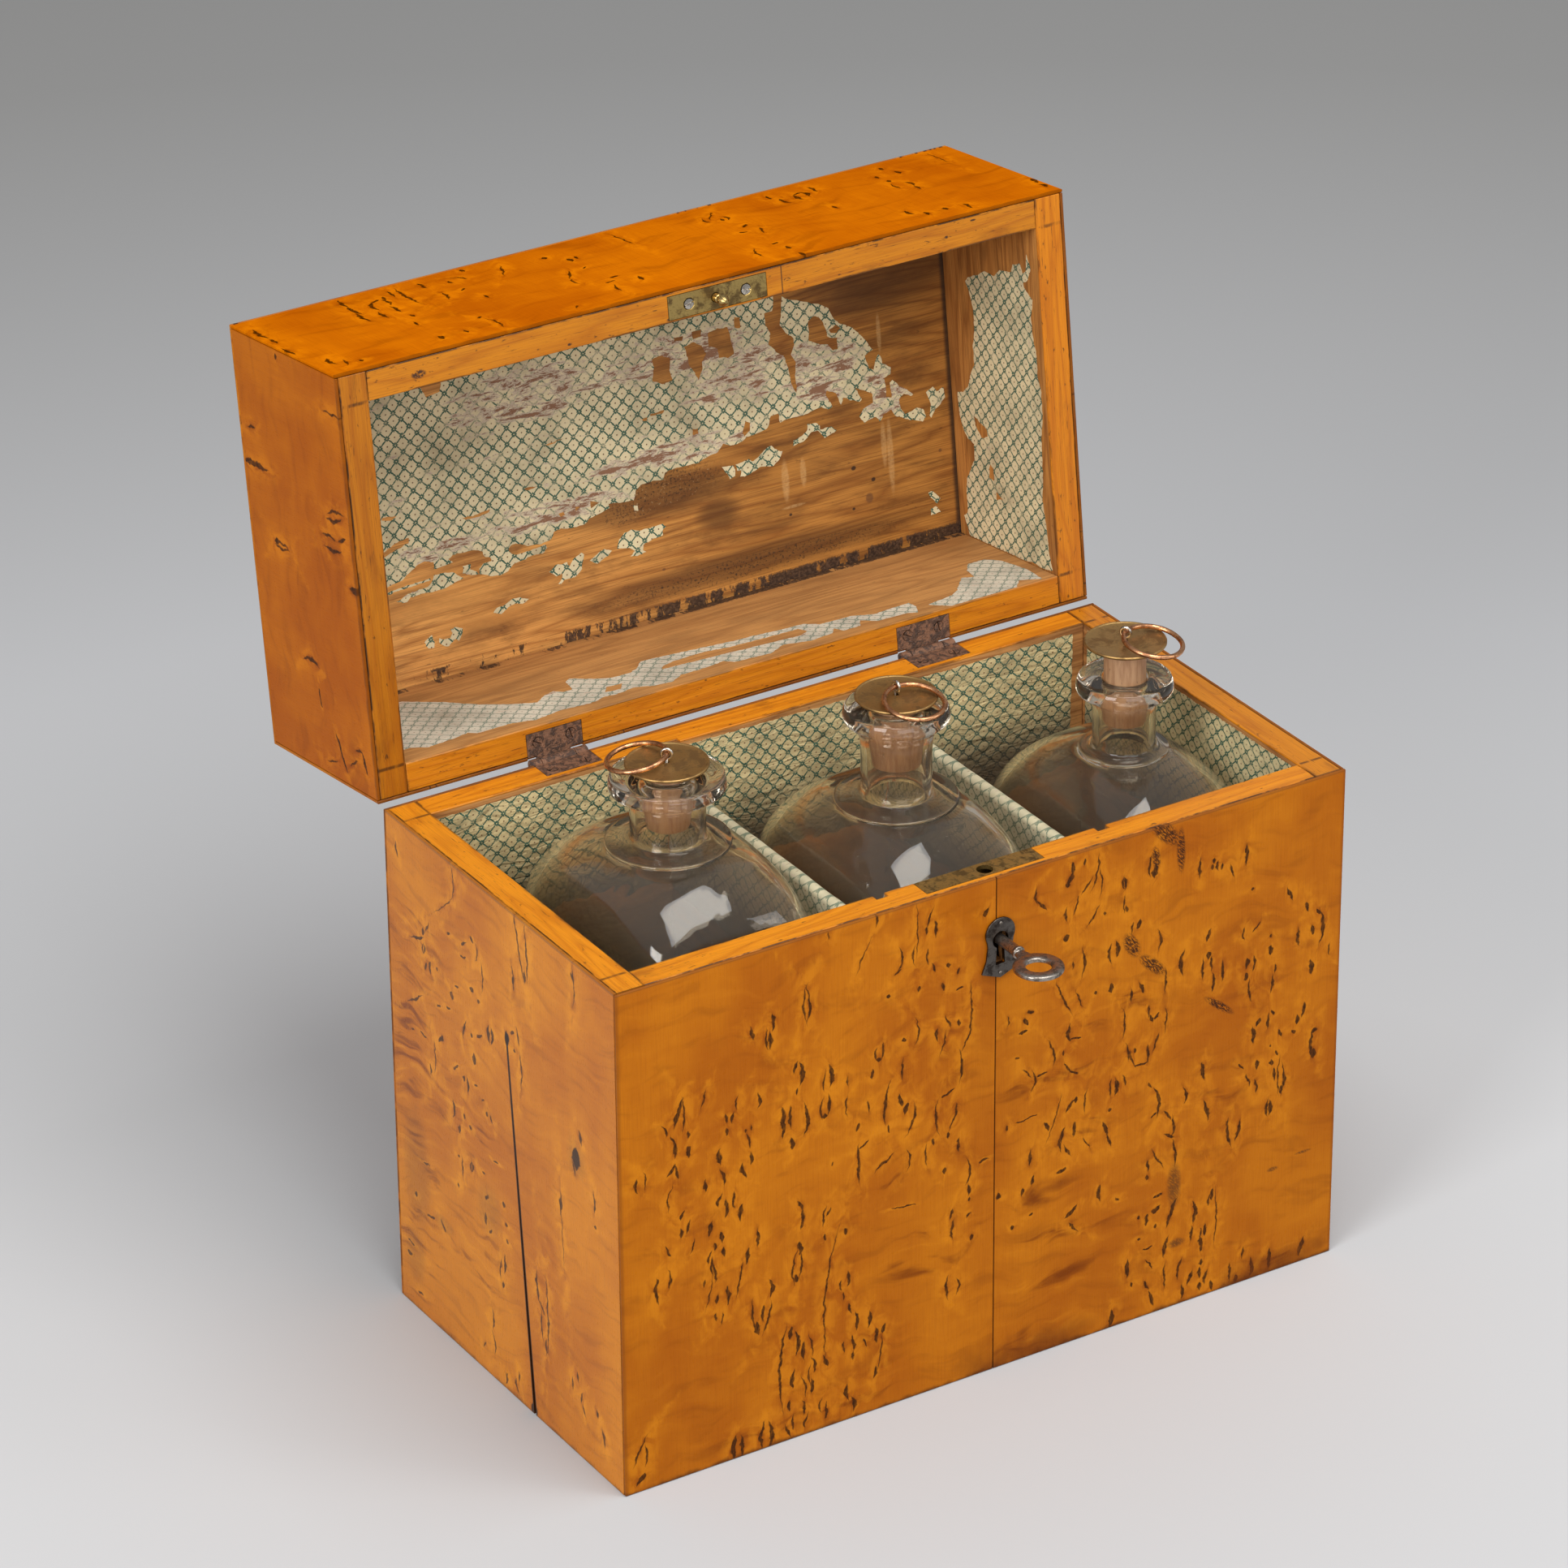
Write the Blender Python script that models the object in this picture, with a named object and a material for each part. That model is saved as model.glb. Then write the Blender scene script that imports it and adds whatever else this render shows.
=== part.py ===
# Bottle case: a veneered pine case with a hinged lid, a box lock with its key, and three glass bottles.
# Metres, +Z up. The origin is the middle of the case's base, -Y is the front, where the key is.
# The lid stands open and the key is turned a quarter, as in use.
import math

import bmesh
import bpy
from mathutils import Matrix, Vector

for old in list(bpy.data.objects):
    bpy.data.objects.remove(old, do_unlink=True)

# Driving dimensions of the case and the lid
case_width = 0.400
case_depth = 0.211
case_height = 0.265
lid_height = 0.104
lid_open_angle = math.radians(97.17)
board_thickness = 0.0144
veneer_thickness = 0.0015
bottom_thickness = 0.012
edge_wear = 0.0003

# Clearances
fit_gap = 0.0003
rim_gap = 0.0004
cut_overrun = 0.002

# Split in the left end, open at the foot
split_height = 0.198
split_width = 0.0020
split_foot_share = 0.392
split_top_share = 0.474

# Veneer seam on the front, from the middle
seam_offset = 0.003

# Dividers
divider_thickness = 0.006
divider_drop = 0.020
divider_groove = 0.004
divider_shares = (0.361, 0.692)

# Hinges: two let-in butt hinges with fixed pins
hinge_offset = 0.104
hinge_width = 0.030
hinge_axis_behind = 0.0022
hinge_axis_below = 0.0018
hinge_leaf_reach = 0.0152
hinge_leaf_thickness = 0.0016
hinge_barrel_radius = 0.0032
hinge_pin_radius = 0.0012
hinge_knuckle_gap = 0.0004
hinge_knuckle_shares = (0.0, 0.16, 0.78, 1.0)
hinge_screw_spread = 0.009
hinge_screw_inset = 0.0052

# Countersunk wood screws
screw_head_radius = 0.0026
screw_head_depth = 0.0012
screw_shank_radius = 0.0012
screw_length = 0.010
screw_slot_width = 0.0007
screw_slot_depth = 0.0006

# Box lock, let into the front board from inside
lock_plate_width = 0.064
lock_plate_drop = 0.016
lock_plate_inset = 0.0045
lock_plate_thickness = 0.002
lock_back_thickness = 0.0015
lock_case_width = 0.052
lock_case_wall = 0.0008
lock_case_drop = 0.0125

# Stud on the lid and the lock's bolt that grips it
stud_offset = 0.0029
stud_inset = 0.0093
stud_length = 0.010
stud_shaft_radius = 0.0022
stud_neck_radius = 0.0016
stud_head_radius = 0.0029
stud_tip_radius = 0.0010
stud_head_height = 0.0034
stud_neck_height = 0.0032
stud_hole_radius = 0.0040
stud_hole_setback = 0.0006
bolt_thickness = 0.0020
bolt_travel = 0.008
bolt_fork_slot = 0.0042
bolt_fork_prong = 0.0015
bolt_tail_length = 0.010
bolt_tail_thickness = 0.0015
bolt_talon_half_width = 0.0080
bolt_talon_depth = 0.0008

# Link plate that carries the stud in the lid's rim
link_plate_width = 0.054
link_plate_depth = 0.0115
link_plate_thickness = 0.002
link_plate_offset = 0.004
link_plate_inset = 0.0035
link_screw_inset = 0.0092
link_screw_spread = 0.0157

# Keyhole, escutcheon and key
key_offset = 0.0045
key_below_rim = 0.032
keyhole_radius = 0.0042
keyhole_slot_top = 0.0040
keyhole_slot_bottom = 0.0052
keyhole_slot_drop = 0.0128
escutcheon_thickness = 0.0012
escutcheon_head_radius = 0.0080
escutcheon_head_rise = 0.0033
escutcheon_waist_half_width = 0.0068
escutcheon_waist_drop = 0.0010
escutcheon_foot_half_width = 0.0101
escutcheon_corner_drop = 0.0160
escutcheon_foot_drop = 0.0200
key_turn = math.radians(90)
key_shank_radius = 0.0027
key_collar_radius = 0.0032
key_collar_length = 0.0022
key_collar_reach = 0.0150
key_bow_radius = 0.0120
key_bow_hole = 0.0060
key_bow_thickness = 0.0029
key_bow_reach = 0.0325
key_neck_half_width = 0.0027
key_fan_half_width = 0.0072
key_fan_reach = 0.0255
key_bit_radius = 0.0105
key_bit_thickness = 0.0020
key_bit_end_gap = 0.0006
key_bit_length = 0.0068
key_ward_width = 0.0014
key_ward_depth = 0.0030

# Bottles: shared glass sizes
glass_wall = 0.0032
glass_base = 0.006
punt_height = 0.005
foot_round = 0.006
shoulder_rise = 0.051
neck_wall = 0.0033
collar_height = 0.0024
neck_fillet = 0.0032
mouth_round = 0.0020
mouth_depth = 0.009
mouth_taper = 0.006
body_squareness = 5.0

# Stoppers: a turned plug, a sheet disc, an eye and a wire ring
disc_radius = 0.0197
disc_thickness = 0.0012
disc_bead = 0.0005
plug_chamfer = 0.0010
eye_radius = 0.0024
eye_wire = 0.00075
eye_shank_radius = 0.0009
eye_shank_length = 0.010
eye_lift = 0.0010
ring_radius = 0.01415
ring_wire = 0.0012

# Bottle on the left: its slack in the compartment, and its heights over the rim
side_slack_1 = 0.0273
depth_slack_1 = 0.0448
shoulder_over_1 = 0.0060
lip_over_1 = 0.0385
lip_radius_1 = 0.0275
lip_thickness_1 = 0.0088
lip_flare_1 = 0.0015
neck_radius_1 = 0.0178
collar_radius_1 = 0.0296
plug_radius_1 = 0.0102
plug_length_1 = 0.031
stopper_stand_1 = 0.0048

# Bottle in the middle
side_slack_2 = 0.0177
depth_slack_2 = 0.0476
shoulder_over_2 = 0.0010
lip_over_2 = 0.0463
lip_radius_2 = 0.0253
lip_thickness_2 = 0.0085
lip_flare_2 = 0.0140
neck_radius_2 = 0.0169
collar_radius_2 = 0.0295
plug_radius_2 = 0.0116
plug_length_2 = 0.034
stopper_stand_2 = 0.0041

# Bottle on the right, its shoulder just under the rim
side_slack_3 = 0.0162
depth_slack_3 = 0.0476
shoulder_over_3 = -0.0080
lip_over_3 = 0.0297
lip_radius_3 = 0.0233
lip_thickness_3 = 0.0090
lip_flare_3 = 0.0050
neck_radius_3 = 0.0152
collar_radius_3 = 0.0218
plug_radius_3 = 0.0101
plug_length_3 = 0.041
stopper_stand_3 = 0.0177

# Each bottle: its sizes, and where it stands in the play of its compartment, from -1 (left, front) to 1
bottles = (
    dict(side_slack=side_slack_1, depth_slack=depth_slack_1, shoulder_over=shoulder_over_1, lip_over=lip_over_1,
         lip_radius=lip_radius_1, lip_thickness=lip_thickness_1, lip_flare=lip_flare_1,
         neck_radius=neck_radius_1, collar_radius=collar_radius_1, plug_radius=plug_radius_1,
         plug_length=plug_length_1, stopper_stand=stopper_stand_1,
         ring_turn=math.radians(143), play_shares=(0.87, 0.05)),
    dict(side_slack=side_slack_2, depth_slack=depth_slack_2, shoulder_over=shoulder_over_2, lip_over=lip_over_2,
         lip_radius=lip_radius_2, lip_thickness=lip_thickness_2, lip_flare=lip_flare_2,
         neck_radius=neck_radius_2, collar_radius=collar_radius_2, plug_radius=plug_radius_2,
         plug_length=plug_length_2, stopper_stand=stopper_stand_2,
         ring_turn=math.radians(-86), play_shares=(0.00, -0.46)),
    dict(side_slack=side_slack_3, depth_slack=depth_slack_3, shoulder_over=shoulder_over_3, lip_over=lip_over_3,
         lip_radius=lip_radius_3, lip_thickness=lip_thickness_3, lip_flare=lip_flare_3,
         neck_radius=neck_radius_3, collar_radius=collar_radius_3, plug_radius=plug_radius_3,
         plug_length=plug_length_3, stopper_stand=stopper_stand_3,
         ring_turn=math.radians(-55), play_shares=(0.80, -0.74)),
)
bottle_play_gap = 0.0010

# Facets
round_sides = 18
small_sides = 8
wire_sides = 6
bottle_sides = 24
dome_steps = 5
full_turn = 2 * math.pi

# Places worked out from the sizes above
half_width = case_width / 2
half_depth = case_depth / 2
skin = veneer_thickness + fit_gap
wall = skin + board_thickness
inner_half_width = half_width - wall
inner_half_depth = half_depth - wall
lid_bottom = case_height + rim_gap
lid_top = lid_bottom + lid_height
lid_ceiling = lid_top - wall
hinge_y = half_depth + hinge_axis_behind
hinge_z = case_height - hinge_axis_below
lock_back_outer = -inner_half_depth - fit_gap
lock_back_inner = lock_back_outer - lock_back_thickness
plate_front = -half_depth + lock_plate_inset
stud_y = -half_depth + stud_inset
bit_far = lock_back_inner - key_bit_end_gap
key_height = case_height - key_below_rim
bottle_floor = bottom_thickness + fit_gap


def material(name, colour, roughness, metallic=0.0, transmission=0.0):
    """A Principled material in the part's colour."""
    made = bpy.data.materials.new(name)
    made.use_nodes = True
    made.diffuse_color = (*colour, 1.0)
    shader = made.node_tree.nodes["Principled BSDF"]
    shader.inputs["Base Color"].default_value = (*colour, 1.0)
    shader.inputs["Roughness"].default_value = roughness
    shader.inputs["Metallic"].default_value = metallic
    shader.inputs["Transmission Weight"].default_value = transmission
    return made


birch = material("masur_birch", (0.62, 0.28, 0.06), 0.35)
pine = material("pine", (0.52, 0.25, 0.08), 0.60)
brass = material("brass", (0.45, 0.33, 0.13), 0.42, metallic=1.0)
iron = material("rusty_iron", (0.12, 0.08, 0.06), 0.60, metallic=1.0)
dark_iron = material("dark_iron", (0.16, 0.15, 0.14), 0.42, metallic=1.0)
steel = material("steel", (0.60, 0.60, 0.58), 0.25, metallic=1.0)
copper = material("copper", (0.60, 0.28, 0.14), 0.30, metallic=1.0)
glass = material("glass", (0.88, 0.92, 0.90), 0.03, transmission=1.0)
cork = material("stopper_wood", (0.50, 0.30, 0.16), 0.70)


def finish(name, shape, look=None, parent=None, location=(0, 0, 0), turn=(0, 0, 0), smooth=False):
    """Make an object from a bmesh whose points are in the parent's space, less the location."""
    bmesh.ops.recalc_face_normals(shape, faces=shape.faces)
    mesh = bpy.data.meshes.new(name)
    shape.to_mesh(mesh)
    shape.free()
    if smooth:
        mesh.shade_smooth()
        mesh.set_sharp_from_angle(angle=math.radians(35))
    made = bpy.data.objects.new(name, mesh)
    bpy.context.scene.collection.objects.link(made)
    if look:
        mesh.materials.append(look)
    made.parent = parent
    made.location = location
    made.rotation_euler = turn
    return made


def empty(name, location, turn=(0, 0, 0), parent=None):
    """An empty on a joint's axis."""
    made = bpy.data.objects.new(name, None)
    bpy.context.scene.collection.objects.link(made)
    made.location = location
    made.rotation_euler = turn
    made.parent = parent
    return made


def add_box(shape, low, high):
    """Add a box between two corners to a bmesh."""
    low, high = Vector(low), Vector(high)
    size = Matrix.Diagonal((*(high - low), 1.0))
    bmesh.ops.create_cube(shape, size=1.0, matrix=Matrix.Translation((low + high) / 2) @ size)


def add_prism(shape, outline, axis, low, high):
    """Add a prism: the outline's two coordinates are the ones left in X, Y, Z order."""
    index = "XYZ".index(axis)

    def point(pair, along):
        place = list(pair)
        place.insert(index, along)
        return place

    near = [shape.verts.new(point(pair, low)) for pair in outline]
    far = [shape.verts.new(point(pair, high)) for pair in outline]
    shape.faces.new(near)
    shape.faces.new(far)
    for i in range(len(outline)):
        j = (i + 1) % len(outline)
        shape.faces.new((near[i], near[j], far[j], far[i]))


def add_rings(shape, rings, closed=False):
    """Skin a list of rings of points, ending on poles unless the rings close on themselves."""
    made = [[shape.verts.new(point) for point in ring] for ring in rings]
    pairs = list(zip(made, made[1:]))
    if closed:
        pairs.append((made[-1], made[0]))
    for first, second in pairs:
        if len(first) == 1 or len(second) == 1:
            pole, ring = (first[0], second) if len(first) == 1 else (second[0], first)
            for i in range(len(ring)):
                shape.faces.new((pole, ring[i], ring[(i + 1) % len(ring)]))
            continue
        for i in range(len(first)):
            j = (i + 1) % len(first)
            shape.faces.new((first[i], first[j], second[j], second[i]))


def circle(radius, height, sides):
    """A level ring of points, or its pole where the radius is zero."""
    if radius == 0:
        return [Vector((0, 0, height))]
    turns = [full_turn * i / sides for i in range(sides)]
    return [Vector((radius * math.cos(t), radius * math.sin(t), height)) for t in turns]


def turned(profile, sides, place=Matrix.Identity(4)):
    """A solid of revolution about Z from (radius, height) pairs, bottom to top."""
    shape = bmesh.new()
    add_rings(shape, [circle(radius, height, sides) for radius, height in profile])
    shape.transform(place)
    return shape


def torus(radius, wire, sides, section_sides, place=Matrix.Identity(4)):
    """A wire ring in the XY plane."""
    shape = bmesh.new()
    rings = []
    for i in range(sides):
        turn = Matrix.Rotation(full_turn * i / sides, 4, "Z")
        steps = [full_turn * j / section_sides for j in range(section_sides)]
        rings.append([turn @ Vector((radius + wire * math.cos(s), 0, wire * math.sin(s))) for s in steps])
    add_rings(shape, rings, closed=True)
    shape.transform(place)
    return shape


def cutter(name, shape, parent=None, location=(0, 0, 0), turn=(0, 0, 0)):
    """A hidden tool for a Boolean."""
    made = finish(name, shape, None, parent, location, turn)
    made.hide_render = True
    made.display_type = "WIRE"
    return made


def boolean(target, tool, operation="DIFFERENCE"):
    """Cut a tool from an object, or join it on."""
    step = target.modifiers.new(tool.name, "BOOLEAN")
    step.operation = operation
    step.object = tool
    step.solver = "EXACT"


def soften(target, width=edge_wear):
    """Worn edges."""
    step = target.modifiers.new("worn_edges", "BEVEL")
    step.width = width
    step.segments = 1
    step.limit_method = "ANGLE"


def board(name, low, high, look, parent=None, worn=True):
    """A rectangular board or leaf of veneer, between two corners."""
    shape = bmesh.new()
    add_box(shape, low, high)
    made = finish(name, shape, look, parent)
    if worn:
        soften(made)
    return made


def box_cutter(name, low, high, parent=None):
    """A rectangular cutting tool."""
    shape = bmesh.new()
    add_box(shape, low, high)
    return cutter(name, shape, parent)


def screw_shape(length, head_radius):
    """A countersunk screw along -Z, its head flush with z = 0."""
    profile = (
        (0, -length),
        (screw_shank_radius / 2, -length),
        (screw_shank_radius, -length + screw_shank_radius),
        (screw_shank_radius, -screw_head_depth),
        (head_radius, 0),
        (0, 0),
    )
    return turned(profile, small_sides)


def screw_hole(length, head_radius):
    """The countersunk hole for a screw, a fit gap wider all round."""
    shank = screw_shank_radius + fit_gap
    head = head_radius + fit_gap
    flare = cut_overrun * (head - shank) / screw_head_depth
    profile = (
        (0, -length - fit_gap),
        (shank, -length - fit_gap),
        (shank, -screw_head_depth - fit_gap),
        (head, -fit_gap),
        (head + flare, cut_overrun),
        (0, cut_overrun),
    )
    return turned(profile, small_sides)


def screw_slot(head_radius):
    """The cut for a screwdriver."""
    shape = bmesh.new()
    add_box(shape, (-head_radius - cut_overrun, -screw_slot_width / 2, -screw_slot_depth),
            (head_radius + cut_overrun, screw_slot_width / 2, cut_overrun))
    return shape


def drive_screw(name, place, length, head_radius, look, targets, slot_turn, parent=None):
    """Set a screw at a place in the parent's space, and cut its hole in the pieces it goes through."""
    turn = place @ Matrix.Rotation(slot_turn, 4, "Z")
    screw = finish(name, screw_shape(length, head_radius), look, parent, smooth=True)
    screw.matrix_local = turn
    slot = cutter("cut_slot_" + name, screw_slot(head_radius), parent)
    slot.matrix_local = turn
    boolean(screw, slot)
    hole = cutter("cut_hole_" + name, screw_hole(length, head_radius), parent)
    hole.matrix_local = turn
    for target in targets:
        boolean(target, hole)


# Carcase: end boards run the full depth, the long boards stand between them
front_low_x = -inner_half_width + fit_gap
front_high_x = inner_half_width - fit_gap
case_front_board = board("case_front_board", (front_low_x, -half_depth + skin, 0),
                         (front_high_x, -inner_half_depth, case_height), pine)
case_back_board = board("case_back_board", (front_low_x, inner_half_depth, 0),
                        (front_high_x, half_depth - skin, case_height), pine)
case_right_board = board("case_right_board", (inner_half_width, -half_depth + skin, 0),
                         (half_width - skin, half_depth - skin, case_height), pine)
board("case_bottom_board", (front_low_x, -inner_half_depth + fit_gap, 0),
      (front_high_x, inner_half_depth - fit_gap, bottom_thickness), pine)


def split_outline(low_y, high_y, top):
    """An end's outline with the split running up from its foot."""
    foot = -half_depth + case_depth * split_foot_share
    head = -half_depth + case_depth * split_top_share
    half_split = split_width / 2
    return ((low_y, 0), (foot - half_split, 0), (head, split_height), (foot + half_split, 0),
            (high_y, 0), (high_y, top), (low_y, top))


def split_end(name, low_x, high_x, look):
    """The left end, board or veneer, with its split."""
    shape = bmesh.new()
    add_prism(shape, split_outline(-half_depth + skin, half_depth - skin, case_height), "X", low_x, high_x)
    return finish(name, shape, look)


split_end("case_left_board", -half_width + skin, -inner_half_width, pine)
split_end("case_veneer_left", -half_width, -half_width + veneer_thickness, birch)
case_veneer_front_left = board("case_veneer_front_left", (-half_width, -half_depth, 0),
                               (seam_offset - fit_gap / 2, -half_depth + veneer_thickness, case_height), birch)
case_veneer_front_right = board("case_veneer_front_right", (seam_offset + fit_gap / 2, -half_depth, 0),
                                (half_width, -half_depth + veneer_thickness, case_height), birch)
board("case_veneer_right", (half_width - veneer_thickness, -half_depth + skin, 0),
      (half_width, half_depth - skin, case_height), birch)
case_veneer_back = board("case_veneer_back", (-half_width, half_depth - veneer_thickness, 0),
                         (half_width, half_depth, case_height), birch)

# Dividers, with round tops, slid into grooves in the long boards
divider_top = case_height - divider_drop
divider_floor = bottom_thickness + fit_gap
divider_xs = [-inner_half_width + 2 * inner_half_width * share for share in divider_shares]
divider_round = divider_thickness / 2
divider_reach = inner_half_depth + divider_groove - fit_gap
for name, x in zip(("divider_left", "divider_right"), divider_xs):
    steps = [math.pi * i / dome_steps for i in range(dome_steps + 1)]
    top_arc = [(divider_round * math.cos(s), divider_top - divider_round + divider_round * math.sin(s))
               for s in steps]
    outline = [(-divider_round, divider_floor), (divider_round, divider_floor), *top_arc]
    shape = bmesh.new()
    add_prism(shape, outline, "Y", -divider_reach, divider_reach)
    finish(name, shape, pine, location=(x, 0, 0), smooth=True)
    groove_half = divider_round + fit_gap
    groove_reach = divider_reach + fit_gap
    groove = box_cutter("cut_groove_" + name, (x - groove_half, -groove_reach, bottom_thickness),
                        (x + groove_half, groove_reach, case_height + cut_overrun))
    boolean(case_front_board, groove)
    boolean(case_back_board, groove)

compartment_lows = [-inner_half_width] + [x + divider_round for x in divider_xs]
compartment_highs = [x - divider_round for x in divider_xs] + [inner_half_width]

# Lid, modelled shut and hung on an empty on the hinge axis
lid_pivot = empty("lid_pivot", (0, hinge_y, hinge_z), (-lid_open_angle, 0, 0))


def shut(x, y, z):
    """A point of the shut lid in the pivot's space."""
    return (x, y - hinge_y, z - hinge_z)


lid_side_top = lid_ceiling - fit_gap
lid_skin_top = lid_top - skin
lid_front_board = board("lid_front_board", shut(front_low_x, -half_depth + skin, lid_bottom),
                        shut(front_high_x, -inner_half_depth, lid_side_top), pine, lid_pivot)
lid_back_board = board("lid_back_board", shut(front_low_x, inner_half_depth, lid_bottom),
                       shut(front_high_x, half_depth - skin, lid_side_top), pine, lid_pivot)
board("lid_left_board", shut(-half_width + skin, -half_depth + skin, lid_bottom),
      shut(-inner_half_width, half_depth - skin, lid_side_top), pine, lid_pivot)
board("lid_right_board", shut(inner_half_width, -half_depth + skin, lid_bottom),
      shut(half_width - skin, half_depth - skin, lid_side_top), pine, lid_pivot)
board("lid_top_board", shut(-half_width + skin, -half_depth + skin, lid_ceiling),
      shut(half_width - skin, half_depth - skin, lid_skin_top), pine, lid_pivot)
board("lid_veneer_top", shut(-half_width, -half_depth, lid_top - veneer_thickness),
      shut(half_width, half_depth, lid_top), birch, lid_pivot)
board("lid_veneer_front", shut(-half_width, -half_depth, lid_bottom),
      shut(half_width, -half_depth + veneer_thickness, lid_skin_top), birch, lid_pivot)
lid_veneer_back = board("lid_veneer_back", shut(-half_width, half_depth - veneer_thickness, lid_bottom),
                        shut(half_width, half_depth, lid_skin_top), birch, lid_pivot)
board("lid_veneer_left", shut(-half_width, -half_depth + skin, lid_bottom),
      shut(-half_width + veneer_thickness, half_depth - skin, lid_skin_top), birch, lid_pivot)
board("lid_veneer_right", shut(half_width - veneer_thickness, -half_depth + skin, lid_bottom),
      shut(half_width, half_depth - skin, lid_skin_top), birch, lid_pivot)


# Hinges: in the hinge's own frame the pin runs along X through the origin
leaf_edge = -hinge_leaf_reach
leaf_stop = -hinge_barrel_radius - hinge_knuckle_gap
case_leaf_top = hinge_axis_below
lid_leaf_bottom = hinge_axis_below + rim_gap
knuckle_edges = [hinge_width * (share - 0.5) for share in hinge_knuckle_shares]


def knuckle_barrel(low, high, radius):
    """A solid round length along X."""
    place = Matrix.Translation((low, 0, 0)) @ Matrix.Rotation(math.pi / 2, 4, "Y")
    return turned(((0, 0), (radius, 0), (radius, high - low), (0, high - low)), round_sides, place)


def hinge_leaf(name, x, low_z, knuckles, parent):
    """A leaf: its plate, and the knuckles that wrap the pin."""
    shape = bmesh.new()
    high_z = low_z + hinge_leaf_thickness
    add_box(shape, (-hinge_width / 2, leaf_edge, low_z), (hinge_width / 2, leaf_stop, high_z))
    place = (x, 0, 0) if parent else (x, hinge_y, hinge_z)
    leaf = finish(name, shape, iron, parent, place, smooth=True)
    for i, (low, high) in enumerate(knuckles):
        web = bmesh.new()
        add_box(web, (low, leaf_stop - hinge_knuckle_gap, low_z), (high, 0, high_z))
        boolean(leaf, cutter(f"join_web_{name}_{i}", web, parent, place), "UNION")
        barrel = cutter(f"join_barrel_{name}_{i}", knuckle_barrel(low, high, hinge_barrel_radius), parent, place)
        boolean(leaf, barrel, "UNION")
    bore = knuckle_barrel(-hinge_width, hinge_width, hinge_pin_radius + fit_gap)
    boolean(leaf, cutter("cut_bore_" + name, bore, parent, place))
    return leaf


half_knuckle_gap = hinge_knuckle_gap / 2
case_knuckles = ((knuckle_edges[0], knuckle_edges[1] - half_knuckle_gap),
                 (knuckle_edges[2] + half_knuckle_gap, knuckle_edges[3]))
lid_knuckles = ((knuckle_edges[1] + half_knuckle_gap, knuckle_edges[2] - half_knuckle_gap),)
recess_half = hinge_width / 2 + fit_gap
screw_y = hinge_y + leaf_edge + hinge_screw_inset
turn_over = Matrix.Rotation(math.pi, 4, "X")
for name, x in (("left", -hinge_offset), ("right", hinge_offset)):
    case_leaf = hinge_leaf("hinge_case_leaf_" + name, x, case_leaf_top - hinge_leaf_thickness,
                           case_knuckles, None)
    lid_leaf = hinge_leaf("hinge_lid_leaf_" + name, x, lid_leaf_bottom, lid_knuckles, lid_pivot)
    finish("hinge_pin_" + name, knuckle_barrel(-hinge_width / 2, hinge_width / 2, hinge_pin_radius), iron,
           location=(x, hinge_y, hinge_z), smooth=True)
    recess = box_cutter("cut_case_recess_" + name,
                        (x - recess_half, hinge_y + leaf_edge - fit_gap, case_height - hinge_leaf_thickness - fit_gap),
                        (x + recess_half, half_depth + cut_overrun, case_height + cut_overrun))
    boolean(case_back_board, recess)
    notch = box_cutter("cut_case_notch_" + name,
                       (x - recess_half, half_depth - veneer_thickness - cut_overrun,
                        hinge_z - hinge_barrel_radius - hinge_knuckle_gap),
                       (x + recess_half, half_depth + cut_overrun, case_height + cut_overrun))
    boolean(case_veneer_back, notch)
    lid_recess = box_cutter("cut_lid_recess_" + name,
                            shut(x - recess_half, hinge_y + leaf_edge - fit_gap, lid_bottom - cut_overrun),
                            shut(x + recess_half, half_depth + cut_overrun,
                                 lid_bottom + hinge_leaf_thickness + fit_gap), lid_pivot)
    boolean(lid_back_board, lid_recess)
    boolean(lid_veneer_back, lid_recess)
    for end, side, slot_turn in (("a", -1, 0.5), ("b", 1, 1.3)):
        spot = x + side * hinge_screw_spread
        drive_screw(f"hinge_screw_case_{name}_{end}", Matrix.Translation((spot, screw_y, case_height)),
                    screw_length, screw_head_radius, iron, (case_leaf, case_back_board), slot_turn)
        drive_screw(f"hinge_screw_lid_{name}_{end}",
                    Matrix.Translation(shut(spot, screw_y, lid_bottom)) @ turn_over,
                    screw_length, screw_head_radius, iron, (lid_leaf, lid_back_board), -slot_turn, lid_pivot)

# Link plate and stud in the lid's front rim
stud_local = shut(stud_offset, stud_y, lid_bottom)
link_front = -half_depth + link_plate_inset
link_screw_y = -half_depth + link_screw_inset
link_low = link_plate_offset - link_plate_width / 2
link_high = link_plate_offset + link_plate_width / 2
link_plate = board("link_plate", shut(link_low, link_front, lid_bottom),
                   shut(link_high, link_front + link_plate_depth, lid_bottom + link_plate_thickness),
                   brass, lid_pivot, worn=False)
link_recess = box_cutter("cut_link_recess",
                         shut(link_low - fit_gap, link_front - fit_gap, lid_bottom - cut_overrun),
                         shut(link_high + fit_gap, link_front + link_plate_depth + fit_gap,
                              lid_bottom + link_plate_thickness + fit_gap), lid_pivot)
boolean(lid_front_board, link_recess)
for name, side, slot_turn in (("left", -1, 0.3), ("right", 1, -0.2)):
    place = Matrix.Translation(shut(link_plate_offset + side * link_screw_spread, link_screw_y, lid_bottom)) @ turn_over
    drive_screw("link_screw_" + name, place, screw_length, screw_head_radius, steel,
                (link_plate, lid_front_board), slot_turn, lid_pivot)
head_top = -stud_length + stud_head_height
neck_top = head_top + stud_neck_height
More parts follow.
